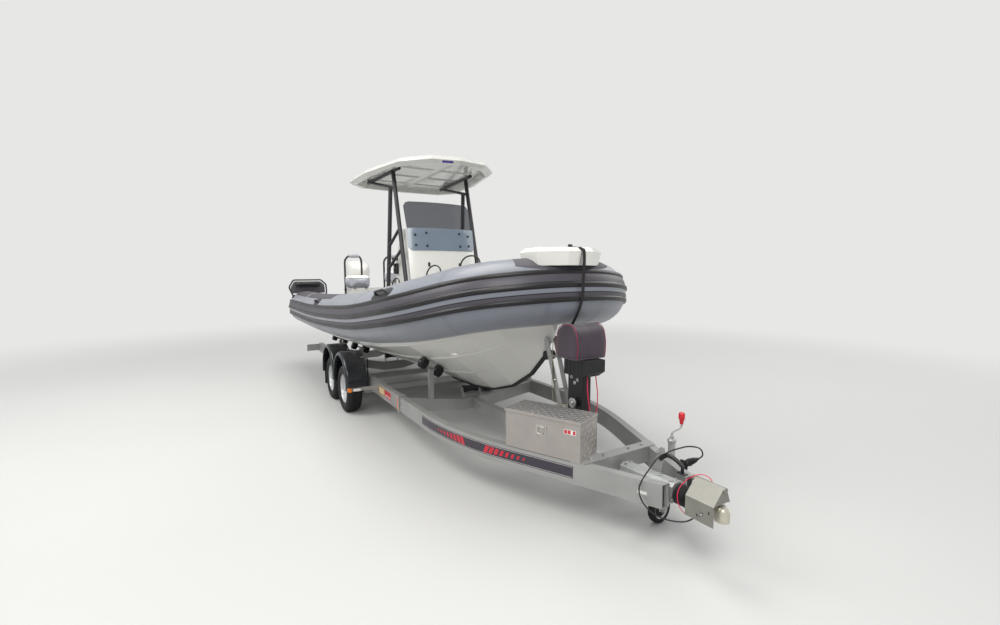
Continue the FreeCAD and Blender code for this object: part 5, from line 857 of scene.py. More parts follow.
# Jockey wheel: zinc-plated tubes and clamp, a cranked spindle with a red moulded knob, and a
# solid rubber tyre on a pressed rim in its fork.
knob_red = finish("knob_red", tinted(205, 25, 40), 0.28, mottle=0.08, cloud=0.03, coat=0.4,
                  grain=0.0002, grain_size=0.004)
JOCKEY_X, JOCKEY_Y = -592.8, 306.1
rail_way = at_station(JOCKEY_X, JOCKEY_Y, 0, -BEND_TURN)
UP = (0, 0, 1)
jockey_parts = [
    turned([(340, 20.8), (340, 24), (548, 24), (548, 29), (552, 30), (564, 30), (568, 27),
            (574, 14), (592, 12), (596, 9), (596, 0.01)], station(JOCKEY_X, JOCKEY_Y, 0), UP, 40),
    turned([(388, 24.2), (388, 33), (391, 34), (439, 34), (442, 33), (442, 24.2)],
           station(JOCKEY_X, JOCKEY_Y, 0), UP, 40),
    block((-44, -32.4, 391), (44, -24, 439), 2.5, rail_way),
    block((-13, -60, 396), (13, -33, 434), 2.0, rail_way @ Matrix.Translation((0, 0.03, 0)))]
for x in (-34, 34):
    jockey_parts.append(hex_bolt(rail_way @ Vector((x / 1000, -0.0238, 0.415)),
                                 rail_way.to_3x3() @ Vector((0, 1, 0)), 15))
jockey_tube = piece("jockey_tube", gathered(jockey_parts), zinc, crease=30)
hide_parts("jockey_mounting")
piece("jockey_clamp_handle", gathered([
    turned([(0, 5), (26, 5), (26, 0.01)], station(JOCKEY_X + 24, JOCKEY_Y + 24, 415),
           (1, 1, 0), 16),
    block((-6, -6, -38), (6, 6, 8), 4.0, at_station(JOCKEY_X + 46, JOCKEY_Y + 46, 420, 45))]),
    black_moulding)
bead("jockey_crank", [station(JOCKEY_X, JOCKEY_Y, 590), station(JOCKEY_X, JOCKEY_Y, 606),
                      station(JOCKEY_X + 4, JOCKEY_Y + 8, 622),
                      station(JOCKEY_X + 25, JOCKEY_Y + 50, 646),
                      station(JOCKEY_X + 30, JOCKEY_Y + 59.4, 662),
                      station(JOCKEY_X + 30, JOCKEY_Y + 59.4, 690)], 6.5, zinc, sides=12)
piece("jockey_knob", turned([(676, 6), (676, 11), (680, 12), (706, 16.5), (712, 20), (718, 21.5),
                             (742, 22), (752, 20.5), (759, 15), (761, 6), (761, 0.01)],
                            station(JOCKEY_X + 30, JOCKEY_Y + 59.4, 0), UP, 32), knob_red)
wheel_axis = (0.99863, 0.052336, 0)
wheel_at = station(-586.6, 186.2, 100)
tyre_profile = [(-14, 62), (-21, 66), (-24.5, 76), (-25, 86), (-22, 94), (-15, 98.5), (-7, 99.8),
                (-5, 97), (5, 97), (7, 99.8), (15, 98.5), (22, 94), (25, 86), (24.5, 76), (21, 66),
                (14, 62)]
jockey_tyre = piece("jockey_tyre", turned(tyre_profile, wheel_at, wheel_axis, 64), rubber,
                    "jockey_wheel_body", 30)
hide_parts("jockey_wheel")
rim_profile = [(-22, 6.6), (-22, 17), (-19, 19), (-8, 24), (-6, 40), (-9, 52), (-18, 60), (-22, 66),
               (-20, 67), (-14, 62), (14, 62), (20, 67), (22, 66), (18, 60), (9, 52), (6, 40),
               (8, 24), (19, 19), (22, 17), (22, 6.6)]
piece("jockey_rim", turned(rim_profile, wheel_at, wheel_axis, 48), silver_paint,
      "jockey_wheel_body", 32)
dress(bolt_zinc, "jockey_leg")

# Handbrake: a zinc ratchet plate bolted on the housing and a lever with a bent, ribbed grip of
# black moulding that lies forward over the coupling.
plate = [(-600, 372), (-500, 372), (-470, 430), (-446, 560), (-452, 600), (-474, 604), (-492, 588),
         (-520, 500)]
points = [station(x, 52 + y, z) for y in (0, 6) for x, z in plate]
count = len(plate)
faces = [list(range(count)), list(range(2 * count - 1, count - 1, -1))]
faces += [[i, (i + 1) % count, (i + 1) % count + count, i + count] for i in range(count)]
brake_parts = [(points, faces), block((-590, 20, 372), (-510, 58, 384), 1.5, AT_BALL)]
for x, z in ((-572, 400), (-528, 400), (-497, 560)):
    brake_parts.append(hex_bolt(station(x, 51.8, z), (0, -1, 0), 15))
brake = piece("handbrake_plate", gathered(brake_parts), zinc, crease=28)
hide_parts("handbrake_lever")
grip_route = [station(-480, 55, 518), station(-452, 55, 546), station(-424, 55, 562),
              station(-392, 55, 563), station(-352, 55, 551), station(-300, 55, 527)]
bead("handbrake_grip", grip_route, 13.0, black_moulding, sides=16)
grip_rings = []
for i in range(6):
    at = station(-404 + 16 * i, 55, 563.5 - 1.1 * i * i * 0.9 - 0.8 * i)
    grip_rings.append(turned([(-3, 12.5), (-2, 14.4), (2, 14.4), (3, 12.5)], at,
                             (1, 0, -0.06 - 0.07 * i), 24))
piece("handbrake_rings", gathered(grip_rings), black_moulding)

# Plug of the trailer's lead, parked in a bracket on the port rail: a black moulded body with
# finger ribs, a bayonet ring and a hinged flap.
plug_axis = (Vector((-232, 0, 600)) - Vector((-326, 0, 532))).normalized()
plug_foot = station(-326, 100, 532)
plug_body = piece("plug_body", turned(
    [(0, 6), (0, 19), (4, 21), (30, 21), (33, 23.5), (40, 23.5), (43, 20), (50, 19.5)]
    + [p for i in range(5) for p in ((53 + 7 * i, 20.2 - i), (56 + 7 * i, 20.2 - i),
                                     (57 + 7 * i, 18.2 - i), (59 + 7 * i, 18.0 - i))]
    + [(92, 13), (100, 10), (112, 7), (116, 4.6), (116, 0.01)], plug_foot, plug_axis, 32),
    black_moulding, crease=30)
piece("plug_bracket", gathered([
    block((-356, 97, 460.5), (-334, 103, 552), 1.0, AT_BALL),
    block((-376, 82, 460.5), (-312, 118, 464.5), 1.0, AT_BALL),
    block((-350, 84, 516), (-318, 116, 530), 3.0, AT_BALL),
    block((-322, 76, 508), (-292, 80, 548), 2.0, AT_BALL),
    hex_bolt(station(-366, 92, 464.5), (0, 0, 1), 10)]), black_moulding)
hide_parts("plug")

# Hull: hand-laid fibreglass in white gelcoat, with spray rails moulded along the bottom, a
# chine flat under the tube, and a black rubber guard bonded round the forefoot.
gelcoat = finish("white_gelcoat", tinted(226, 225, 219), 0.16, mottle=0.025, cloud=0.9, coat=0.5,
                 grain=0.00008, grain_size=0.03, rough_spread=0.06)
LEVEL = (Matrix.Translation(station(-2900, 0, 500)) @ Matrix.Rotation(math.radians(-1.2), 4, "Y")
         @ Matrix.Translation((2.9, 0, -0.5)))


def afloat(x, y, z):
    """Place given in the boat's own level drawing, as she lies trimmed on the trailer."""
    return LEVEL @ Vector((x / 1000, y / 1000, z / 1000))


dress(gelcoat, "hull")
dress(bellows_rubber, "keel_guard")
# station, keel, chine half breadth, chine height
BOTTOM = [(-7350, 500, 885, 845), (-5400, 500, 900, 862), (-4200, 500, 890, 890),
          (-3450, 500, 850, 948), (-2900, 503, 780, 1015), (-2500, 540, 665, 1085),
          (-2150, 640, 520, 1160), (-1850, 805, 355, 1235), (-1655, 985, 195, 1295)]
for side, side_name in SIDES:
    for number, (share, wide, last) in enumerate(
            ((0.34, 0.040, 7), (0.66, 0.036, 8), (0.965, 0.035, 9))):
        points, faces = [], []
        rows = BOTTOM[:last]
        for i, (x, keel, chine, high) in enumerate(rows):
            taper = 0.0 if i == len(rows) - 1 else 1.0
            def across(f, drop):
                return afloat(x, side * chine * f, keel + (high - keel) * f - drop)
            points += [across(share, -1.0), across(share + wide * 0.8, 15.0 * taper - 1.0),
                       across(share + wide, 13.0 * taper - 1.0), across(share + wide * 1.1, -1.0)]
        for i in range(len(rows) - 1):
            for k in range(3):
                faces.append([4 * i + k, 4 * i + k + 1, 4 * i + 5 + k, 4 * i + 4 + k])
        faces.append([0, 1, 2, 3])
        piece("spray_rail_%s_%d" % (side_name, number + 1), (points, faces), gelcoat, crease=25)
mat_foam = finish("deck_foam", tinted(92, 96, 104), 0.8, mottle=0.10, cloud=0.2, grain=0.0005,
                  grain_size=0.003)
deck_pads = []
for low_x, high_x, half in ((-6080, -4700, 600), (-3260, -2620, 430)):
    for i in range(7):
        y0 = -half + i * (2 * half + 8) / 7
        deck_pads.append(block((low_x, y0, 940.2), (high_x, y0 + (2 * half + 8) / 7 - 8, 944), 1.5,
                               LEVEL))
piece("deck_foam_planks", gathered(deck_pads), mat_foam)

# Collar: coated fabric tubes glued from panels and blown up hard, with tape over each joint, two
# dark rubbing strakes with black ribs glued round the outside, and moulded end cones.
collar_fabric = finish("collar_fabric", tinted(120, 124, 133), 0.33, mottle=0.05, cloud=0.7,
                       grain=0.00022, grain_size=0.0016, sheen=0.25, rough_spread=0.07, dust=0.05)
tape_fabric = finish("seam_tape", tinted(116, 120, 129), 0.40, mottle=0.06, cloud=0.3, sheen=0.25,
                     grain=0.00022, grain_size=0.0016)
band_rubber = finish("band_rubber", tinted(70, 67, 74), 0.42, mottle=0.08, cloud=0.5, grain=0.0003,
                     grain_size=0.0022, dust=0.08)
rib_rubber = finish("rib_rubber", tinted(22, 21, 24), 0.38, mottle=0.14, cloud=0.3, grain=0.0003,
                    grain_size=0.003, dust=0.06)
TUBE = 270.0
COLLAR_ROUTE = [(-7337, -990, 1203), (-5187, -990, 1188), (-3284, -975, 1268),
                (-2231, -893, 1396), (-1680, -632, 1514), (-1475, -258, 1550)]


def bent_line(route, step):
    """Straight runs and tangent arcs as (place, way) rows."""
    route = [Vector(p) for p in route]
    rows, start = [], route[0]
    for i in range(1, len(route) - 1):
        here = route[i]
        back, ahead = route[i - 1] - here, route[i + 1] - here
        turn = (-back).angle(ahead)
        tangent = 0.45 * min(back.length, ahead.length)
        radius = tangent / math.tan(turn / 2)
        enter, leave = here + back.normalized() * tangent, here + ahead.normalized() * tangent
        count = max(1, math.ceil((enter - start).length / step))
        for k in range(count):
            rows.append((start.lerp(enter, k / count), -back.normalized()))
        hub = here + (back.normalized() + ahead.normalized()).normalized() * (
            radius / math.cos(turn / 2))
        a, b = enter - hub, leave - hub
        count = max(3, math.ceil(radius * turn / step))
        for k in range(count):
            f = k / count
            p = hub + (a * math.sin((1 - f) * turn) + b * math.sin(f * turn)) / math.sin(turn)
            way = (-a * math.cos((1 - f) * turn) + b * math.cos(f * turn)).normalized()
            rows.append((p, way))
        start = leave
    way = (route[-1] - start).normalized()
    count = max(1, math.ceil((route[-1] - start).length / step))
    for k in range(count + 1):
        rows.append((start.lerp(route[-1], k / count), way))
    return rows


collar_line = bent_line(COLLAR_ROUTE + [(x, -y, z) for x, y, z in reversed(COLLAR_ROUTE)], 45.0)
collar_runs = [0.0]
for (p, _), (q, _) in zip(collar_line, collar_line[1:]):
    collar_runs.append(collar_runs[-1] + (q - p).length)
COLLAR_LENGTH = collar_runs[-1]
# Outward direction carried from the bow to each stern without twist, as a glued band lies
collar_outs = [None] * len(collar_line)
half_way = len(collar_line) // 2
for order in (range(half_way, len(collar_line)), range(half_way, -1, -1)):
    out, before = Vector((1, 0, 0)), Vector((0, 1, 0))
    for k in order:
        out = before.rotation_difference(collar_line[k][1]) @ out
        before = collar_line[k][1]
        collar_outs[k] = out


def collar_row(run):
    """Centre, way ahead and untwisted outward direction along the collar's centre line."""
    run = min(max(run, 0.0), COLLAR_LENGTH)
    k = max(0, min(int(np.searchsorted(collar_runs, run)) - 1, len(collar_line) - 2))
    f = (run - collar_runs[k]) / (collar_runs[k + 1] - collar_runs[k])
    (p, way), (q, way2) = collar_line[k], collar_line[k + 1]
    out = collar_outs[k].lerp(collar_outs[k + 1], f).normalized()
    return p.lerp(q, f), way.lerp(way2, f).normalized(), out


def on_collar(run, angle, proud=0.0, carried=False):
    """Place on the collar's skin; the angle is measured up from straight outboard, or from the
    direction carried from the bow."""
    centre, way, out = collar_row(run)
    over = max(0.0, -run, run - COLLAR_LENGTH)
    if not carried:
        out = Vector((way.y, -way.x, 0)).normalized()
    up = out.cross(way)
    radius = TUBE - 120.0 * min(over, 430.0) / 430.0
    if over:
        centre = centre + way * (over if run > 0 else -over)
    a = math.radians(angle)
    here = centre + (out * math.cos(a) + up * math.sin(a)) * (radius + proud)
    return afloat(*here)


def skin(runs, angles, proud, carried=False, close=False):
    """Sheet over the collar: one row of places for each run, at the given angles."""
    points = [on_collar(run, angle, lift, carried)
              for run in runs for angle, lift in zip(angles, proud)]
    return points, woven(len(runs), len(angles), close)


ring = [i * 360 / 72 for i in range(72)]
rows = [-430, -424, -400, -300, -200, -100, -30, 0] + collar_runs[1:-1] + [
    COLLAR_LENGTH + d for d in (0, 30, 100, 200, 300, 400, 424, 430)]
points, faces = skin(rows, ring, [0.0] * 72, close=True)
wide = len(ring)
for first, row, way in ((0, -430, 1), (len(points) - wide, COLLAR_LENGTH + 430, -1)):
    centre = sum((points[first + k] for k in range(wide)), Vector()) / wide
    inner = []
    for scale, out in ((0.93, 0.010), (0.6, 0.020)):
        start = len(points)
        away = (LEVEL.to_3x3() @ Vector((-1, 0, 0))) * out
        points += [centre + (points[first + k] - centre) * scale + away for k in range(wide)]
        inner.append(start)
    points.append(centre + (LEVEL.to_3x3() @ Vector((-1, 0, 0))) * 0.022)
    chain = [first] + inner
    for a, b in zip(chain, chain[1:]):
        faces += [[a + k, a + (k + 1) % wide, b + (k + 1) % wide, b + k] for k in range(wide)]
    faces += [[inner[-1] + k, inner[-1] + (k + 1) % wide, len(points) - 1] for k in range(wide)]
tube = piece("collar_tube", (points, faces), collar_fabric, crease=60)
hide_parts("collar")
tapes = []
seam_runs = [0, 1090, 2150, 3150, 4120, 4860, 5560, 6170]
for run in seam_runs + [COLLAR_LENGTH - r for r in seam_runs]:
    tapes.append(skin([run - 19, run - 17, run, run + 17, run + 19], ring,
                      [0.9] * 72, close=True))
tapes = gathered(tapes)
piece("collar_seam_tapes", tapes, tape_fabric, crease=60)
end_bands = gathered([skin([start, start + way * 4, start + way * 70, start + way * 74], ring,
                           [1.6] * 72, close=True)
                      for start, way in ((-424, 1), (COLLAR_LENGTH + 424, -1))])
piece("collar_end_bands", end_bands, rib_rubber, crease=60)

# angle from the carried direction, height over the tube, and the stuff up to the next row
BAND = [(39.4, 0.2, 1), (39.2, 9, 1), (37.6, 15.2, 1), (36.7, 17.2, 1), (33.3, 17.2, 1),
        (32.4, 15.2, 1), (31.2, 9, 1), (30.8, 5, 0), (27, 7.5, 0), (22, 8.5, 0), (18, 6.5, 1),
        (17, 7, 1), (15.8, 9, 1), (14.6, 15.2, 1), (13.7, 17.2, 1), (10.3, 17.2, 1), (9.4, 15.2, 1),
        (8.2, 9, 1), (7.6, 2.4, 2), (7, 2.0, 2), (0.8, 2.0, 1), (0.4, 6.5, 1), (-0.8, 6.5, 0),
        (-4, 7.5, 0), (-6.6, 6, 1), (-7.2, 9, 1), (-8.4, 15.2, 1), (-9.3, 17.2, 1),
        (-12.7, 17.2, 1), (-13.6, 15.2, 1), (-14.8, 9, 1), (-15.2, 0.2, 1)]
runs = [4.0] + collar_runs[1:-1] + [COLLAR_LENGTH - 4.0]
points, faces = skin(runs, [a for a, _, _ in BAND], [p for _, p, _ in BAND], carried=True)
wide = len(BAND)
faces += [list(range(wide)), list(range(len(points) - wide, len(points)))[::-1]]
band = piece("rubbing_band", (points, faces), [band_rubber, rib_rubber, collar_fabric], crease=50)
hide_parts("rubbing_strakes")
for face in band.data.polygons:
    if face.index < (len(runs) - 1) * (wide - 1):
        face.material_index = BAND[face.index % (wide - 1)][2]

# Patches on the tube: flat anti-slip pads aft, the curved pad under the bow step, oval seats
# for the moulded handles, and inflation valves in their dished cups.
grip_rubber = finish("anti_slip_pad", tinted(70, 68, 76), 0.7, mottle=0.12, cloud=0.2,
                     grain=0.0009, grain_size=0.004, dust=0.10)
valve_plastic = finish("valve_plastic", tinted(40, 41, 45), 0.4, mottle=0.12, cloud=0.02,
                       grain=0.0002, grain_size=0.003)


def other_side(run, side):
    return run if side < 0 else COLLAR_LENGTH - run


def patch(name, runs, angles, proud, material):
    """Rubber patch on the tube with a low bevelled edge, on both sides of the boat."""
    for side, side_name in SIDES:
        count_r, count_a = max(2, math.ceil((runs[1] - runs[0]) / 60)), 8
        inset_r, inset_a = 6.0, 1.2
        rr = [runs[0], runs[0] + inset_r] + [runs[0] + inset_r + (runs[1] - runs[0] - 2 * inset_r)
             * i / count_r for i in range(1, count_r)] + [runs[1] - inset_r, runs[1]]
        aa = [angles[0], angles[0] + inset_a] + [angles[0] + inset_a + (
            angles[1] - angles[0] - 2 * inset_a) * i / count_a for i in range(1, count_a)]
        aa += [angles[1] - inset_a, angles[1]]
        points = []
        for i, run in enumerate(rr):
            for k, angle in enumerate(aa):
                edge = i in (0, len(rr) - 1) or k in (0, len(aa) - 1)
                points.append(on_collar(other_side(run, side), angle, 0.3 if edge else proud))
        piece(name + "_" + side_name, (points, woven(len(rr), len(aa))), material, crease=30)


def oval(name, run, angle, half_run, half_angle, proud, material):
    """Oval patch on the tube with a low bevelled edge, on both sides of the boat."""
    for side, side_name in SIDES:
        points, faces = [on_collar(other_side(run, side), angle, proud)], []
        rings = ((0.5, proud), (0.93, proud), (1.0, 0.3))
        for scale, lift in rings:
            for i in range(32):
                a = 2 * math.pi * i / 32
                c, s = math.cos(a), math.sin(a)
                square = (abs(c) ** 2.6 + abs(s) ** 2.6) ** (-1 / 2.6)
                points.append(on_collar(other_side(run + half_run * scale * square * c, side),
                                        angle + half_angle * scale * square * s, lift))
        for k in range(32):
            m = (k + 1) % 32
            faces.append([0, 1 + k, 1 + m])
            for j in range(2):
                a, b = 1 + 32 * j, 33 + 32 * j
                faces.append([a + k, b + k, b + m, a + m])
        piece(name + "_" + side_name, (points, faces), material, crease=30)


patch("anti_slip_aft", (110, 1090), (52, 104), 2.2, grip_rubber)
patch("anti_slip_mid", (1190, 2850), (52, 104), 2.2, grip_rubber)
oval("handle_seat_fore", 4785, 42, 205, 15, 2.4, rib_rubber)
oval("handle_seat_mid", 2190, 42, 170, 14, 2.4, rib_rubber)
dress(rib_rubber, "collar_fittings")
steps_middle = COLLAR_LENGTH / 2
runs = [steps_middle + d for d in range(-390, 391, 39)]
lower = [30 + 12 * (abs(r - steps_middle) / 390) ** 3 for r in runs]
points = []
for run, low in zip(runs, lower):
    for k, (angle, lift) in enumerate(((low + 9, 0.3), (low + 10, 2.4), (52, 2.4), (66, 2.4),
                                       (80, 2.4), (96, 2.4), (97, 0.3))):
        points.append(on_collar(run, angle, lift))
piece("bow_pad", (points, woven(len(runs), 7)), grip_rubber, crease=30)
VALVE_ANGLE = 128
for number, run in enumerate((900, 3500, 5300)):
    for side, side_name in SIDES:
        spot = other_side(run, side)
        seat_at = on_collar(spot, VALVE_ANGLE, 0)
        away = (on_collar(spot, VALVE_ANGLE, 50) - seat_at).normalized()
        piece("air_valve_%s_%d" % (side_name, number + 1), turned(
            [(-2, 34), (3, 34), (5, 30), (5, 26), (1, 24), (1, 14), (6, 13), (8, 9), (8, 0.01)],
            seat_at, away, 32), valve_plastic, crease=30)
for run, reach, high in ((4520, 92, 88), (5260, 100, 92), (5670, 92, 84)):
    for side, side_name in SIDES:
        arc = []
        for i in range(9):
            a = math.pi * i / 8
            arc.append(on_collar(other_side(run - reach * math.cos(a), side), 101,
                                 -3 + high * math.sin(a) ** 0.8))
        bead("grab_arc_%s_%d" % (side_name, run), arc, 6.5, rib_rubber, sides=8)

# Bow step: two white mouldings glued on the tube, with the bow roller fitting between them and
# the black strap that ties the bow down to the winch post.
dress(gelcoat, "bow_steps")
strap_route = [station(x, 0, z) for x, z in (
    (-1300, 1921), (-1250, 1921), (-1206, 1915), (-1188, 1894), (-1188, 1780), (-1198, 1650),
    (-1196, 1590), (-1204, 1530), (-1250, 1420), (-1338, 1300), (-1350, 1235))]
ribbon("bow_strap", strap_route, 27, 3.2, webbing)
ribbon("olive_tie", [station(x, y, z) for x, y, z in (
    (-1485, -56, 1199), (-1488, -58, 1100), (-1490, -60, 960), (-1486, -62, 830), (-1480, -62, 740),
    (-1462, -66, 682), (-1420, -70, 662), (-1378, -66, 672), (-1330, -60, 690), (-1290, -56, 694))],
       24, 2.6, olive, across=(0.85, -0.52, 0.0))
piece("bow_clamp", gathered([
    block((-34, -22, -14), (30, 22, 16), 5.0, at_station(-1262, 0, 1905)),
    block((-22, -27, 12), (18, 27, 24), 5.0, at_station(-1262, 0, 1903))]),
    black_moulding)
step_grips = []
for side in (-1, 1):
    for i in range(5):
        x0 = -1345 - 38 * i
        step_grips.append(block((x0, side * 50 if side > 0 else -270, 1888.6),
                                (x0 + 14, 270 if side > 0 else -50, 1890.6), 0.8, LEVEL))
piece("bow_step_grips", gathered(step_grips), gelcoat)

# Console: a white gelcoat moulding with two flush latches in front; behind, a sloping black
# dash with a display, gauges and switches, and the engine's lever beside it.
dress(gelcoat, "console")
dash_black = finish("dash_panel", tinted(38, 40, 44), 0.35, mottle=0.10, cloud=0.2, grain=0.0003,
                    grain_size=0.003)
display_glass = finish("display_glass", tinted(12, 14, 18), 0.08, mottle=0.2, cloud=0.3, coat=0.6)
# Half breadth of the console's front, and how far it bows forward in the middle
CONSOLE_HALF, CONSOLE_BOW = 430, 70
for y, z in ((-208, 1832), (189, 1823)):
    bow = (1 - (y / CONSOLE_HALF) ** 2) * CONSOLE_BOW
    x = -3465 - CONSOLE_BOW - 0.16 * (z - 940) + bow
    turn = math.degrees(math.atan2(2 * CONSOLE_BOW * y / CONSOLE_HALF ** 2, 1))
    spot = LEVEL @ Matrix.Translation((x / 1000, y / 1000, z / 1000)) @ Matrix.Rotation(
        math.radians(turn), 4, "Z") @ Matrix.Rotation(math.radians(-9.1), 4, "Y")
    piece("console_latch_%d" % (1 if y < 0 else 2), gathered([
        block((-1, -14, -26), (4, 14, 26), 3.0, spot),
        block((3, -8, -18), (12, 8, 2), 3.0, spot)]), black_moulding)
DASH = LEVEL @ Matrix.Translation((-4.030, 0, 2.072)) @ Matrix.Rotation(math.radians(28), 4, "Y")
piece("dash_panel", block((-3, -395, -152), (1.2, 395, 152), 1.0, DASH @ Matrix.Rotation(
    math.pi, 4, "Z")), dash_black)
piece("dash_display", block((-9, 20, -70), (0, 330, 118), 4.0, DASH), display_glass)
dials = []
for y, z in ((-330, 96), (-250, 110), (-50, 110), (-330, 10)):
    dials.append(turned([(0, 36), (6, 38), (8, 36), (8, 31), (4, 30), (4, 0.01)],
                        DASH @ Vector((-0.001, y / 1000, z / 1000)),
                        DASH.to_3x3() @ Vector((-1, 0, 0)), 32))
piece("dash_gauges", gathered(dials), dash_black)
switches = [block((-9, 40 + 44 * i, -128), (0, 68 + 44 * i, -92), 3.0, DASH) for i in range(7)]
piece("dash_switches", gathered(switches), black_moulding)
lever_base = LEVEL @ Matrix.Translation((-4.10, -0.430, 1.80))
piece("throttle_box", block((-60, -34, -70), (60, 0, 60), 12.0, lever_base), black_moulding)
bead("throttle_lever", [LEVEL @ Vector(p) for p in (
    (-4.10, -0.466, 1.80), (-4.098, -0.478, 1.84), (-4.094, -0.476, 1.88), (-4.09, -0.46, 1.90))],
     9.0, bolt_zinc, sides=12)
piece("throttle_knob", block((-24, -48, -17), (22, 28, 17), 14.0, LEVEL @ Matrix.Translation(
    (-4.09, -0.452, 1.912))), black_moulding)
wheel_leather = finish("helm_rim", tinted(30, 30, 33), 0.5, mottle=0.12, cloud=0.05, grain=0.0004,
                       grain_size=0.002)
dress(wheel_leather, "helm_wheel")

# Windscreen: a sheet of smoked acrylic bent round the console, standing on a slate-blue lower
# panel that is held by black dome nuts.
smoke = finish("smoked_acrylic", tinted(116, 118, 122), 0.04, mottle=0.03, cloud=0.8,
               rough_spread=0.02)
shader = smoke.node_tree.nodes["Principled BSDF"]
shader.inputs["Transmission Weight"].default_value = 0.92
shader.inputs["IOR"].default_value = 1.12
slate = finish("slate_panel", tinted(116, 130, 144), 0.14, mottle=0.05, cloud=0.5, coat=0.5,
               rough_spread=0.04, grain=0.00005, grain_size=0.05)
SCREEN_ARC = (CONSOLE_HALF ** 2 + CONSOLE_BOW ** 2) / (2 * CONSOLE_BOW)
# Heights of the screen's foot, of its fold, of the joint between its sheets, and of its top
SCREEN_FOOT, SCREEN_FOLD, SCREEN_JOINT, SCREEN_TOP = 1998, 2254, 2262, 2580


def screen_x(y, z):
    """The screen's outer face."""
    corner = -3535 - 0.16 * (min(z, SCREEN_FOLD) - 940) - 0.388 * max(0, z - SCREEN_FOLD)
    return corner + CONSOLE_BOW - SCREEN_ARC + math.sqrt(SCREEN_ARC ** 2 - y * y) + 8.3


def screen_sheet(heights, thick, out=0.0, round_top=0.0, round_foot=0.0):
    """Bent sheet through rows of heights; its top or foot corners are rounded off."""
    points, faces = [], []
    columns = [(-1 + i / 14) for i in range(29)]
    top, foot = heights[-1], heights[0]
    for face_out in (out, out - thick):
        for z in heights:
            for c in columns:
                y = 429.5 * c
                z_here = z
                if round_top and abs(y) > CONSOLE_HALF - round_top:
                    dip = round_top - math.sqrt(max(0.0, round_top ** 2 - (
                        abs(y) - CONSOLE_HALF + round_top) ** 2))
                    z_here = foot + (z - foot) * (top - dip - foot) / (top - foot)
                if round_foot and abs(y) > CONSOLE_HALF - round_foot:
                    rise = round_foot - math.sqrt(max(0.0, round_foot ** 2 - (
                        abs(y) - CONSOLE_HALF + round_foot) ** 2))
                    z_here = top - (top - z) * (top - foot - rise) / (top - foot)
                points.append(afloat(screen_x(y, z_here) + face_out, y, z_here))
    wide, tall = len(columns), len(heights)
    layer = wide * tall
    for i in range(tall - 1):
        for k in range(wide - 1):
            a = i * wide + k
            faces.append([a, a + 1, a + wide + 1, a + wide])
            faces.append([layer + a, layer + a + wide, layer + a + wide + 1, layer + a + 1])
    rim = list(range(wide)) + [i * wide + wide - 1 for i in range(1, tall)]
    rim += [(tall - 1) * wide + k for k in range(wide - 2, -1, -1)]
    rim += [i * wide for i in range(tall - 2, 0, -1)]
    for a, b in zip(rim, rim[1:] + rim[:1]):
        faces.append([b, a, layer + a, layer + b])
    return points, faces


heights = [SCREEN_JOINT + (SCREEN_TOP - SCREEN_JOINT) * i / 12 for i in range(13)]
upper = piece("screen_upper", screen_sheet(heights, 7.0, round_top=60.0), smoke, crease=40)
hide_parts("windscreen")
low_heights = [SCREEN_FOOT + (SCREEN_FOLD - SCREEN_FOOT) * i / 6 for i in range(7)]
low_heights.append(SCREEN_JOINT)
piece("screen_lower_panel", screen_sheet(low_heights, 8.0, out=1.0, round_foot=40.0), slate,
      crease=40)
edge = [afloat(screen_x(y, SCREEN_TOP) - 3.0, y, SCREEN_TOP + 0.5)
        for y in range(-370, 371, 37)]
bead("screen_top_edge", edge, 2.0, display_glass)
screws = []
for y, z in ((-345, 2180), (-345, 2060), (-215, 2205), (-215, 2052), (215, 2205), (215, 2052),
             (345, 2180), (345, 2060)):
    turn = math.degrees(math.asin(y / SCREEN_ARC))
    way = LEVEL.to_3x3() @ Vector((math.cos(math.radians(turn)), math.sin(math.radians(turn)),
                                   0.15))
    screws.append(turned([(0, 15), (3, 15), (6, 13), (8, 10), (14, 9), (17, 6), (18, 0.01)],
                         afloat(screen_x(y, z) + 1.0, y, z), way, 20))
piece("screen_screws", gathered(screws), black_moulding)

# T-top: a faceted white roof moulding with a recessed, ribbed underside, on a black powder-coated
# tube frame with welded plates at its feet and heads.
black_powder = finish("black_powder_coat", tinted(46, 44, 48), 0.42, mottle=0.10, cloud=0.25,
                      grain=0.0003, grain_size=0.0014, dust=0.10)
# The roof's gelcoat is the white gelcoat made darker: painted shade for the shade under the roof,
# laid over the whole roof moulding and its coffers.
roof_gelcoat_painted_shade = finish("roof_gelcoat_painted_shade", tinted(208, 207, 201), 0.20, mottle=0.025, cloud=0.9,
                      coat=0.4, grain=0.00008, grain_size=0.03, rough_spread=0.06)
dress(roof_gelcoat_painted_shade, "ttop_roof")
dress(black_powder, "ttop_frame")
ceiling = []
for low_x, high_x, half_low, half_high in ((-3420, -3760, 300, 420), (-3800, -4220, 470, 560),
                                            (-4260, -4660, 560, 580), (-4700, -4980, 560, 520)):
    for side in (-1, 1):
        top, foot = 2981, 2966
        corners = [(low_x, side * 26), (low_x, side * half_low), (high_x, side * half_high),
                   (high_x, side * 26)]
        middle = Vector((sum(c[0] for c in corners) / 4, sum(c[1] for c in corners) / 4))
        points = [afloat(x, y, top) for x, y in corners]
        for x, y in corners:
            inner = Vector((x, y)).lerp(middle, 0.16)
            points.append(afloat(inner.x, inner.y, foot))
        ceiling.append((points, [[0, 1, 5, 4], [1, 2, 6, 5], [2, 3, 7, 6], [3, 0, 4, 7],
                                 [4, 5, 6, 7]]))
# The coffers carry the roof's painted shade: the white gelcoat made darker.
piece("roof_coffers", gathered(ceiling), roof_gelcoat_painted_shade, crease=20)
blank_film = finish("blank_violet_film", tinted(64, 52, 150), 0.35, mottle=0.08, cloud=0.05,
                    coat=0.3)
corner_a, corner_b = Vector((-3209, -330)), Vector((-3149, 0))
way = (corner_b - corner_a).normalized()
out = Vector((-way.y, way.x))
out = out if out.x > 0 else -out
film = []
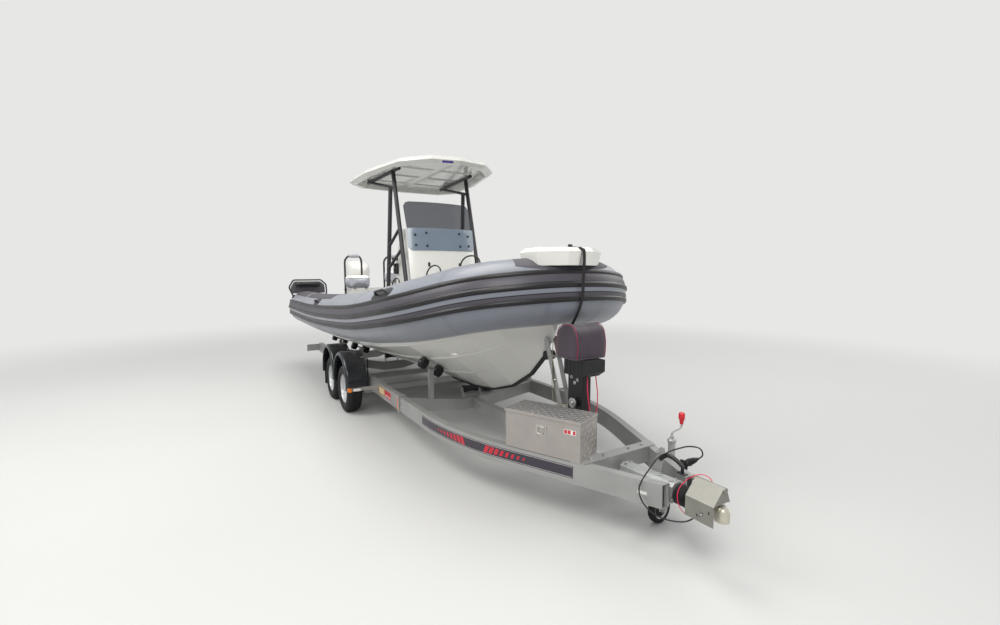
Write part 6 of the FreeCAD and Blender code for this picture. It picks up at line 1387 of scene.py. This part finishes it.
for y, z in ((-211, 2920), (-85, 2920), (-85, 2938), (-211, 2938)):
    t = (y - corner_a.y) / (corner_b.y - corner_a.y)
    spot = corner_a.lerp(corner_b, t)
    scale = 0.955 + 0.045 * (z - 2915) / 31
    middle_x = (-3149 - 5149) / 2
    film.append(afloat(middle_x + (spot.x - middle_x) * scale + out.x * 1.2,
                       spot.y * scale + out.y * 1.2, z))
piece("roof_blank_film", (film, [[0, 1, 2, 3]]), blank_film)
lens_at = afloat(-3699, 0, 3009)
piece("nav_light_lens", gathered([
    turned([(9, 40.5), (9, 43), (14, 43), (17, 34), (17, 27)], lens_at, UP, 40),
    turned([(18, 27), (20, 28.5), (46, 28.5), (52, 26), (56, 20), (58, 8), (58, 0.01)], lens_at, UP,
           40)]), clear_lens)
feet = []
for x, y in ((-3481, 480), (-4282, 520)):
    for side in (-1, 1):
        for i in range(4):
            a = math.pi / 4 + i * math.pi / 2
            feet.append(hex_bolt(afloat(x + 40 * math.cos(a), side * y + 40 * math.sin(a), 950),
                                 (0, 0, 1), 10))
piece("frame_foot_bolts", gathered(feet), bolt_zinc, crease=28)
clamps = []
for side in (-1, 1):
    for x, y in ((-3900, 473), (-4080, 483), (-4420, 503), (-4800, 526)):
        clamps.append(block((-22, -30, 2978), (22, 30, 2984), 1.0,
                            LEVEL @ Matrix.Translation((x / 1000, side * y / 1000, -0.0034))))
piece("frame_head_plates", gathered(clamps), black_powder)

# Helm seat: a white moulded base and two thick bolster cushions in grey vinyl with white tops,
# foam filled with sewn and piped edges, in front of two black tube hoops.
dress(gelcoat, "seat_bases")
dress(black_powder, "seat_hoops", "backrest_frames")
vinyl_grey = finish("grey_vinyl", tinted(168, 170, 176), 0.46, mottle=0.06, cloud=0.12,
                    grain=0.0004, grain_size=0.0022, sheen=0.1, dust=0.04)
vinyl_white = finish("white_vinyl", tinted(222, 221, 216), 0.44, mottle=0.04, cloud=0.12,
                     grain=0.0004, grain_size=0.0022, sheen=0.1, dust=0.04)
stitch_grey = finish("grey_piping", tinted(120, 122, 130), 0.5, mottle=0.10, cloud=0.03,
                     grain=0.0003, grain_size=0.002)
CLOTH_FRAMES = 20


def plump(name, size, corner, bulge, cap):
    """Mesh of a foam cushion about its own middle, blown up in its cover by cloth pressure."""
    half = [s / 2 for s in size]
    points, faces = block([-h for h in half], half, corner)
    mesh = bpy.data.meshes.new(name)
    mesh.from_pydata([tuple(p) for p in points], [], faces)
    body = placed(name, mesh)
    grid = body.modifiers.new("grid", "REMESH")
    grid.mode = "VOXEL"
    grid.voxel_size = 0.0075
    depsgraph = bpy.context.evaluated_depsgraph_get()
    fine = bpy.data.meshes.new_from_object(body.evaluated_get(depsgraph))
    body.modifiers.clear()
    body.data = fine
    start = np.array([v.co[:] for v in fine.vertices])
    sim = body.modifiers.new("cover", "CLOTH")
    sim.settings.quality = 5
    sim.settings.mass = 0.4
    sim.settings.tension_stiffness = 18
    sim.settings.compression_stiffness = 18
    sim.settings.shear_stiffness = 8
    sim.settings.bending_stiffness = 0.6
    sim.settings.use_pressure = True
    sim.settings.uniform_pressure_force = bulge
    sim.settings.effector_weights.gravity = 0
    sim.point_cache.frame_start, sim.point_cache.frame_end = 1, CLOTH_FRAMES
    for f in range(1, CLOTH_FRAMES + 1):
        bpy.context.scene.frame_set(f)
    shown = body.evaluated_get(bpy.context.evaluated_depsgraph_get())
    after = np.array([v.co[:] for v in shown.data.vertices])
    body.modifiers.clear()
    bpy.context.scene.frame_set(1)
    move = after - start
    far = np.linalg.norm(move, axis=1, keepdims=True)
    start = start + move * np.minimum(1.0, cap / 1000 / np.maximum(far, 1e-9))
    low, high = start.min(0), start.max(0)
    start = (start - (low + high) / 2) * (np.array(size) / 1000 / (high - low))
    foot = -size[2] / 2000
    start[:, 2] = np.where(start[:, 2] < foot + 0.012, foot, start[:, 2])
    for vert, place in zip(fine.vertices, start):
        vert.co = place
    bpy.data.objects.remove(body)
    return fine


def cushion(name, mesh, place, lower, upper, split, body=ROOT):
    """A cushion from its blown-up mesh: two vinyls that meet at a piped seam."""
    own = mesh.copy()
    own.name = name
    own.transform(place)
    own.materials.clear()
    own.materials.append(lower)
    own.materials.append(upper)
    away = place.inverted()
    for face in own.polygons:
        face.use_smooth = True
        face.material_index = 1 if (away @ face.center).z > split / 1000 else 0
    pad = placed(name, own)
    soft = pad.modifiers.new("soft", "SUBSURF")
    soft.levels = soft.render_levels = 1
    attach(pad, body)
    return pad


def seam_ring(mesh, height, place, count=96, lift=0.6):
    """Closed line round a cushion at a height, just proud of its cover."""
    points = np.array([v.co[:] for v in mesh.vertices])
    near = points[np.abs(points[:, 2] - height / 1000) < 0.007]
    spots = np.arctan2(near[:, 1], near[:, 0])
    reach = np.hypot(near[:, 0], near[:, 1])
    line = []
    for i in range(count):
        a = -math.pi + 2 * math.pi * (i + 0.5) / count
        gap = np.abs((spots - a + math.pi) % (2 * math.pi) - math.pi)
        best = np.argsort(gap)[:5]
        r = float(np.mean(reach[best])) + lift / 1000
        line.append(place @ Vector((r * math.cos(a), r * math.sin(a), height / 1000)))
    return line


# The two helm seats stand this far from the middle
SEAT_Y = 335
helm_pad = plump("helm_pad_cover", (430, 340, 207.7), 34.0, 4.0, 14.0)
for side, side_name, lift in ((-1, "starboard", 0.0), (1, "port", 75.0)):
    middle = LEVEL @ Matrix.Translation((-6.350, side * SEAT_Y / 1000, (1634.15 + lift) / 1000))
    pad = cushion("helm_cushion_" + side_name, helm_pad, middle, vinyl_grey, vinyl_white, 52)
    if side < 0:
        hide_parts("seat_cushions")
    for height, label in ((52, "top"), (-62, "foot")):
        bead("helm_piping_%s_%s" % (side_name, label), seam_ring(helm_pad, height, middle), 3.2,
             stitch_grey, closed=True)
seat_rails = []
for side in (-1, 1):
    for dy in (-90, 90):
        seat_rails.append(block((-6520, side * SEAT_Y + dy - 14, 1524),
                                (-6150, side * SEAT_Y + dy + 14, 1530.4), 1.5, LEVEL))
piece("seat_rails", gathered(seat_rails), black_moulding)
clamp_rings = []
for side in (-1, 1):
    for dy in (-140, 140):
        for z in (1500, 1180):
            clamp_rings.append(turned([(-14, 16.5), (-14, 21), (14, 21), (14, 16.5)],
                                      afloat(-6589, side * SEAT_Y + dy, z),
                                      LEVEL.to_3x3() @ Vector(UP), 24))
piece("hoop_clamps", gathered(clamp_rings), black_moulding, crease=28)
for side in (-1, 1):
    rings = []
    for i in range(13):
        y = side * SEAT_Y - 88 + 176 * i / 12
        fat = 30 + 4 * math.sin(math.pi * i / 12)
        rings.append((y, fat if 0 < i < 12 else 19))
    pad = piece("hoop_pad_" + ("port" if side > 0 else "starboard"),
                turned([(y - side * SEAT_Y, r) for y, r in rings],
                       afloat(-6539, side * SEAT_Y, 2066), (0, 1, 0), 28), vinyl_grey, crease=60)
    smooth = pad.modifiers.new("smooth", "SUBSURF")
    smooth.levels = smooth.render_levels = 1

# Aft seats beside the motor well: low cushions on the lockers, in the same two vinyls and
# piped round the seam.
aft_pad = plump("aft_pad_cover", (400, 292, 69.7), 16.0, 3.0, 9.0)
for side, side_name in SIDES:
    middle = LEVEL @ Matrix.Translation((-7.068, side * 0.530, 1.2452))
    cushion("aft_cushion_" + side_name, aft_pad, middle, vinyl_grey, vinyl_white, 18)
    bead("aft_piping_" + side_name, seam_ring(aft_pad, 18, middle), 2.6, stitch_grey, closed=True)

# Stern backrests: bent black tube frames on the collar, each with a dark quilted panel inside it
# and a roll bolster strapped to its head.
panel_cloth = finish("dark_panel_cloth", tinted(66, 62, 68), 0.6, mottle=0.10, cloud=0.1,
                     grain=0.0006, grain_size=0.002, sheen=0.3)
roll_vinyl = finish("black_roll_vinyl", tinted(30, 28, 31), 0.4, mottle=0.12, cloud=0.06,
                    grain=0.0004, grain_size=0.002)
PANEL = [(1236, 1545), (1178, 1646), (746, 1646), (676, 1580), (668, 1440), (1230, 1440)]
outline = []
for i, here in enumerate(PANEL):
    last, ahead = Vector(PANEL[i - 1]), Vector(PANEL[(i + 1) % len(PANEL)])
    here = Vector(here)
    for k in range(4):
        f = k / 3
        a = here + (last - here).normalized() * 24
        b = here + (ahead - here).normalized() * 24
        outline.append(a.lerp(here, f).lerp(here.lerp(b, f), f))
    reach = (ahead - here).length
    for k in range(1, 6):
        outline.append(here + (ahead - here) * (24 + (reach - 48) * k / 6) / reach)
middle = Vector((952, 1540))
ROLL_X = -7246.7
for side, side_name in SIDES:
    points, faces = [], []
    scales = [(1.0, 1.5), (0.985, 6.5), (0.95, 9.6), (0.86, 8.8), (0.74, 10.4), (0.60, 8.4),
              (0.46, 10.6), (0.30, 9.2), (0.14, 10.8)]
    wide = len(outline)
    for face_way in (1, -1):
        for scale, thick in scales:
            for spot in outline:
                at = middle + (spot - middle) * scale
                points.append(afloat(-7300 + face_way * thick, side * at.x, at.y))
    layer = len(scales) * wide
    for face_way in (0, 1):
        for j in range(len(scales) - 1):
            for k in range(wide):
                m = (k + 1) % wide
                a, b = face_way * layer + j * wide, face_way * layer + (j + 1) * wide
                faces.append([a + k, a + m, b + m, b + k])
        faces.append([face_way * layer + (len(scales) - 1) * wide + k for k in range(wide)])
    for k in range(wide):
        m = (k + 1) % wide
        faces.append([k, m, layer + m, layer + k])
    panel = piece("backrest_panel_" + side_name, (points, faces), panel_cloth, crease=60)
    if side < 0:
        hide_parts("backrest_pads")
    roll_rings = [(-200, 10), (-199, 24), (-194, 34), (-184, 39), (-150, 41.5), (-100, 42),
                  (-50, 40.5), (0, 42), (50, 40.5), (100, 42), (150, 41.5), (184, 39), (194, 34),
                  (199, 24), (200, 10), (200, 0.01)]
    roll = piece("backrest_roll_" + side_name, turned(roll_rings, afloat(ROLL_X, side * 960, 1600),
                                                      (0, 1, 0), 36), roll_vinyl, crease=60)
    straps = [turned([(-12, 42.2), (-12, 43.4), (12, 43.4), (12, 42.2)],
                     afloat(ROLL_X, side * (960 + dy), 1600), (0, 1, 0), 32) for dy in (-120, 120)]
    piece("roll_straps_" + side_name, gathered(straps), webbing)

# Outboard: a painted leg with its bracket, a smooth white cowling with a dark joint line, and a
# propeller in stainless steel.
leg_paint = finish("leg_paint", tinted(206, 208, 208), 0.50, mottle=0.04, cloud=0.3,
                   grain=0.00012, grain_size=0.01)
bracket_paint = finish("bracket_paint", tinted(60, 62, 66), 0.38, metal=0.3, mottle=0.10, cloud=0.2,
                       grain=0.0003, grain_size=0.004, dust=0.08)
stainless = finish("stainless", tinted(196, 197, 200), 0.18, metal=0.95, mottle=0.06, cloud=0.05,
                   grain=0.0001, grain_size=0.004)
dress(leg_paint, "engine_leg")
dress(bracket_paint, "engine_clamp", "engine_swivel")
dress(stainless, "propeller")
ENGINE_TILT = math.radians(20)
ENGINE = (LEVEL @ Matrix.Translation((-7.412, 0, 1.165)) @ Matrix.Rotation(ENGINE_TILT, 4, "Y")
          @ Matrix.Translation((7.412, 0, -1.165)))
# front, rear, half breadth, nose half breadth, height of the cowling's sections
COWL = [(-7472, -7950, 172, 50, 1235), (-7464, -7985, 185, 52, 1300),
        (-7452, -8050, 208.6, 55, 1384.6), (-7452, -8068, 213, 58, 1500),
        (-7458, -8080, 215, 60, 1609), (-7470, -8070, 212, 70, 1715),
        (-7492, -8040, 200, 80, 1813), (-7522, -7996, 184, 86, 1872),
        (-7562, -7930, 150.5, 90, 1915)]
COWL_STEPS = 28


def cowl_ring(front, rear, half, nose, z):
    """Rounded section of the cowling: a narrow nose in front and a round stern."""
    ring = []
    for i in range(COWL_STEPS):
        a = 2 * math.pi * i / COWL_STEPS
        c, s = math.cos(a), math.sin(a)
        mid = (front + rear) / 2
        x = mid + (front - rear) / 2 * math.copysign(abs(c) ** 0.62, c)
        t = max(0.0, (x - mid) / ((front - rear) / 2))
        side_half = half + (nose * 1.25 - half) * t ** 2.2
        ring.append(ENGINE @ Vector((x / 1000, side_half / 1000 * math.copysign(abs(s) ** 0.62, s),
                                     z / 1000)))
    return ring


rings = [cowl_ring(*row) for row in COWL]
points = [p for ring in rings for p in ring]
top_point = len(points)
points.append(ENGINE @ Vector((-7.746, 0, 1.917)))
points.append(ENGINE @ Vector((-7.711, 0, 1.2352)))
faces = []
for row in range(0, top_point - COWL_STEPS, COWL_STEPS):
    for k in range(COWL_STEPS):
        m = (k + 1) % COWL_STEPS
        faces.append([row + k, row + m, row + COWL_STEPS + m, row + COWL_STEPS + k])
last = top_point - COWL_STEPS
faces += [[last + k, last + (k + 1) % COWL_STEPS, top_point] for k in range(COWL_STEPS)]
faces += [[(k + 1) % COWL_STEPS, k, top_point + 1] for k in range(COWL_STEPS)]
cowling = piece("cowling_shell", (points, faces), gelcoat, "engine_steer_body", 60)
smooth = cowling.modifiers.new("smooth", "SUBSURF")
smooth.levels = smooth.render_levels = 2
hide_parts("engine_cowling")
joint = [p + (p - (ENGINE @ Vector((-7.76, 0, 1.35)))).normalized() * 0.0004
         for p in cowl_ring(-7456, -8030, 201, 54, 1350)]
bead("cowling_joint", joint, 4.0, black_moulding, "engine_steer_body", closed=True)
air_slots = [block((-8042, y - 40, 1640 + 26 * i), (-8030, y + 40, 1650 + 26 * i), 3.0,
                   ENGINE @ Matrix.Translation((-0.044, 0, 0)))
             for y in (-70, 70) for i in range(3)]
piece("cowling_air_slots", gathered(air_slots), black_moulding, "engine_steer_body")

# Floor and light: a plain pale floor that runs out into the backdrop, a pale world, and four
# large soft lamps.
floor_tint = finish("pale_floor", tinted(200, 200, 198), 0.75, mottle=0.015, cloud=2.5)
nodes, links = floor_tint.node_tree.nodes, floor_tint.node_tree.links
seen = nodes.new("ShaderNodeLightPath")
# the pale floor that the camera sees throws back only as much light as a grey workshop floor
grey = nodes.new("ShaderNodeMix")
grey.data_type = "RGBA"
grey.inputs["A"].default_value = (0.47, 0.47, 0.465, 1)
links.new(seen.outputs["Is Camera Ray"], grey.inputs["Factor"])
links.new(nodes["tint"].outputs["Color"], grey.inputs["B"])
links.new(grey.outputs["Result"], nodes["Principled BSDF"].inputs["Base Color"])
# far away the floor runs out into the backdrop
far = nodes.new("ShaderNodeVectorMath")
far.operation = "LENGTH"
links.new(nodes["place"].outputs["Object"], far.inputs[0])
fade = nodes.new("ShaderNodeMapRange")
fade.interpolation_type = "SMOOTHSTEP"
fade.inputs["From Min"].default_value = 3.0
fade.inputs["From Max"].default_value = 12.0
links.new(far.outputs["Value"], fade.inputs["Value"])
backdrop = nodes.new("ShaderNodeEmission")
backdrop.inputs["Color"].default_value = (0.80, 0.80, 0.79, 1)
run_out = nodes.new("ShaderNodeMixShader")
links.new(fade.outputs["Result"], run_out.inputs["Fac"])
links.new(nodes["Principled BSDF"].outputs["BSDF"], run_out.inputs[1])
links.new(backdrop.outputs["Emission"], run_out.inputs[2])
links.new(run_out.outputs["Shader"], nodes["Material Output"].inputs["Surface"])
floor = bpy.data.meshes.new("floor")
floor.from_pydata([(-40, -40, -0.0005), (40, -40, -0.0005), (40, 40, -0.0005), (-40, 40, -0.0005)],
                  [], [(0, 1, 2, 3)])
floor.materials.append(floor_tint)
ground = placed("floor", floor)
ground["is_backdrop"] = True
world = bpy.data.worlds.new("studio")
world.use_nodes = True
nodes, links = world.node_tree.nodes, world.node_tree.links
sky = nodes["Background"]
sky.inputs["Color"].default_value = (0.86, 0.88, 0.90, 1)
sky.inputs["Strength"].default_value = 0.62
pale = nodes.new("ShaderNodeBackground")
pale.inputs["Color"].default_value = (0.80, 0.80, 0.79, 1)
pale.inputs["Strength"].default_value = 1.0
seen = nodes.new("ShaderNodeLightPath")
either = nodes.new("ShaderNodeMath")
either.operation = "MAXIMUM"
links.new(seen.outputs["Is Camera Ray"], either.inputs[0])
links.new(seen.outputs["Is Transmission Ray"], either.inputs[1])
choose = nodes.new("ShaderNodeMixShader")
links.new(either.outputs["Value"], choose.inputs["Fac"])
links.new(sky.outputs["Background"], choose.inputs[1])
links.new(pale.outputs["Background"], choose.inputs[2])
links.new(choose.outputs["Shader"], nodes["World Output"].inputs["Surface"])
bpy.context.scene.world = world
# name, station, aim, size, watts
for name, spot, aim, size, watts in (
        ("lamp_fore", (3400, -3600, 6400), (-2600, 0, 1000), 3.6, 320),
        ("lamp_starboard", (-4500, -6400, 6800), (-4200, 0, 1000), 4.5, 345),
        ("lamp_port", (-2500, 7200, 6000), (-4000, 0, 1000), 6.0, 200),
        ("lamp_over", (-4200, -900, 8000), (-4000, -200, 1000), 4.5, 320)):
    lamp = bpy.data.lights.new(name, "AREA")
    lamp.size = size
    lamp.energy = watts
    lamp.color = (1.0, 0.985, 0.96)
    holder = placed(name, lamp)
    holder.location = station(*spot)
    holder.rotation_euler = (station(*aim) - station(*spot)).to_track_quat("-Z", "Y").to_euler()
bpy.context.scene.view_settings.view_transform = "Standard"

low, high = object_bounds()
{"cad": [list(cad_low), list(cad_high)], "visual": [list(low), list(high)]}
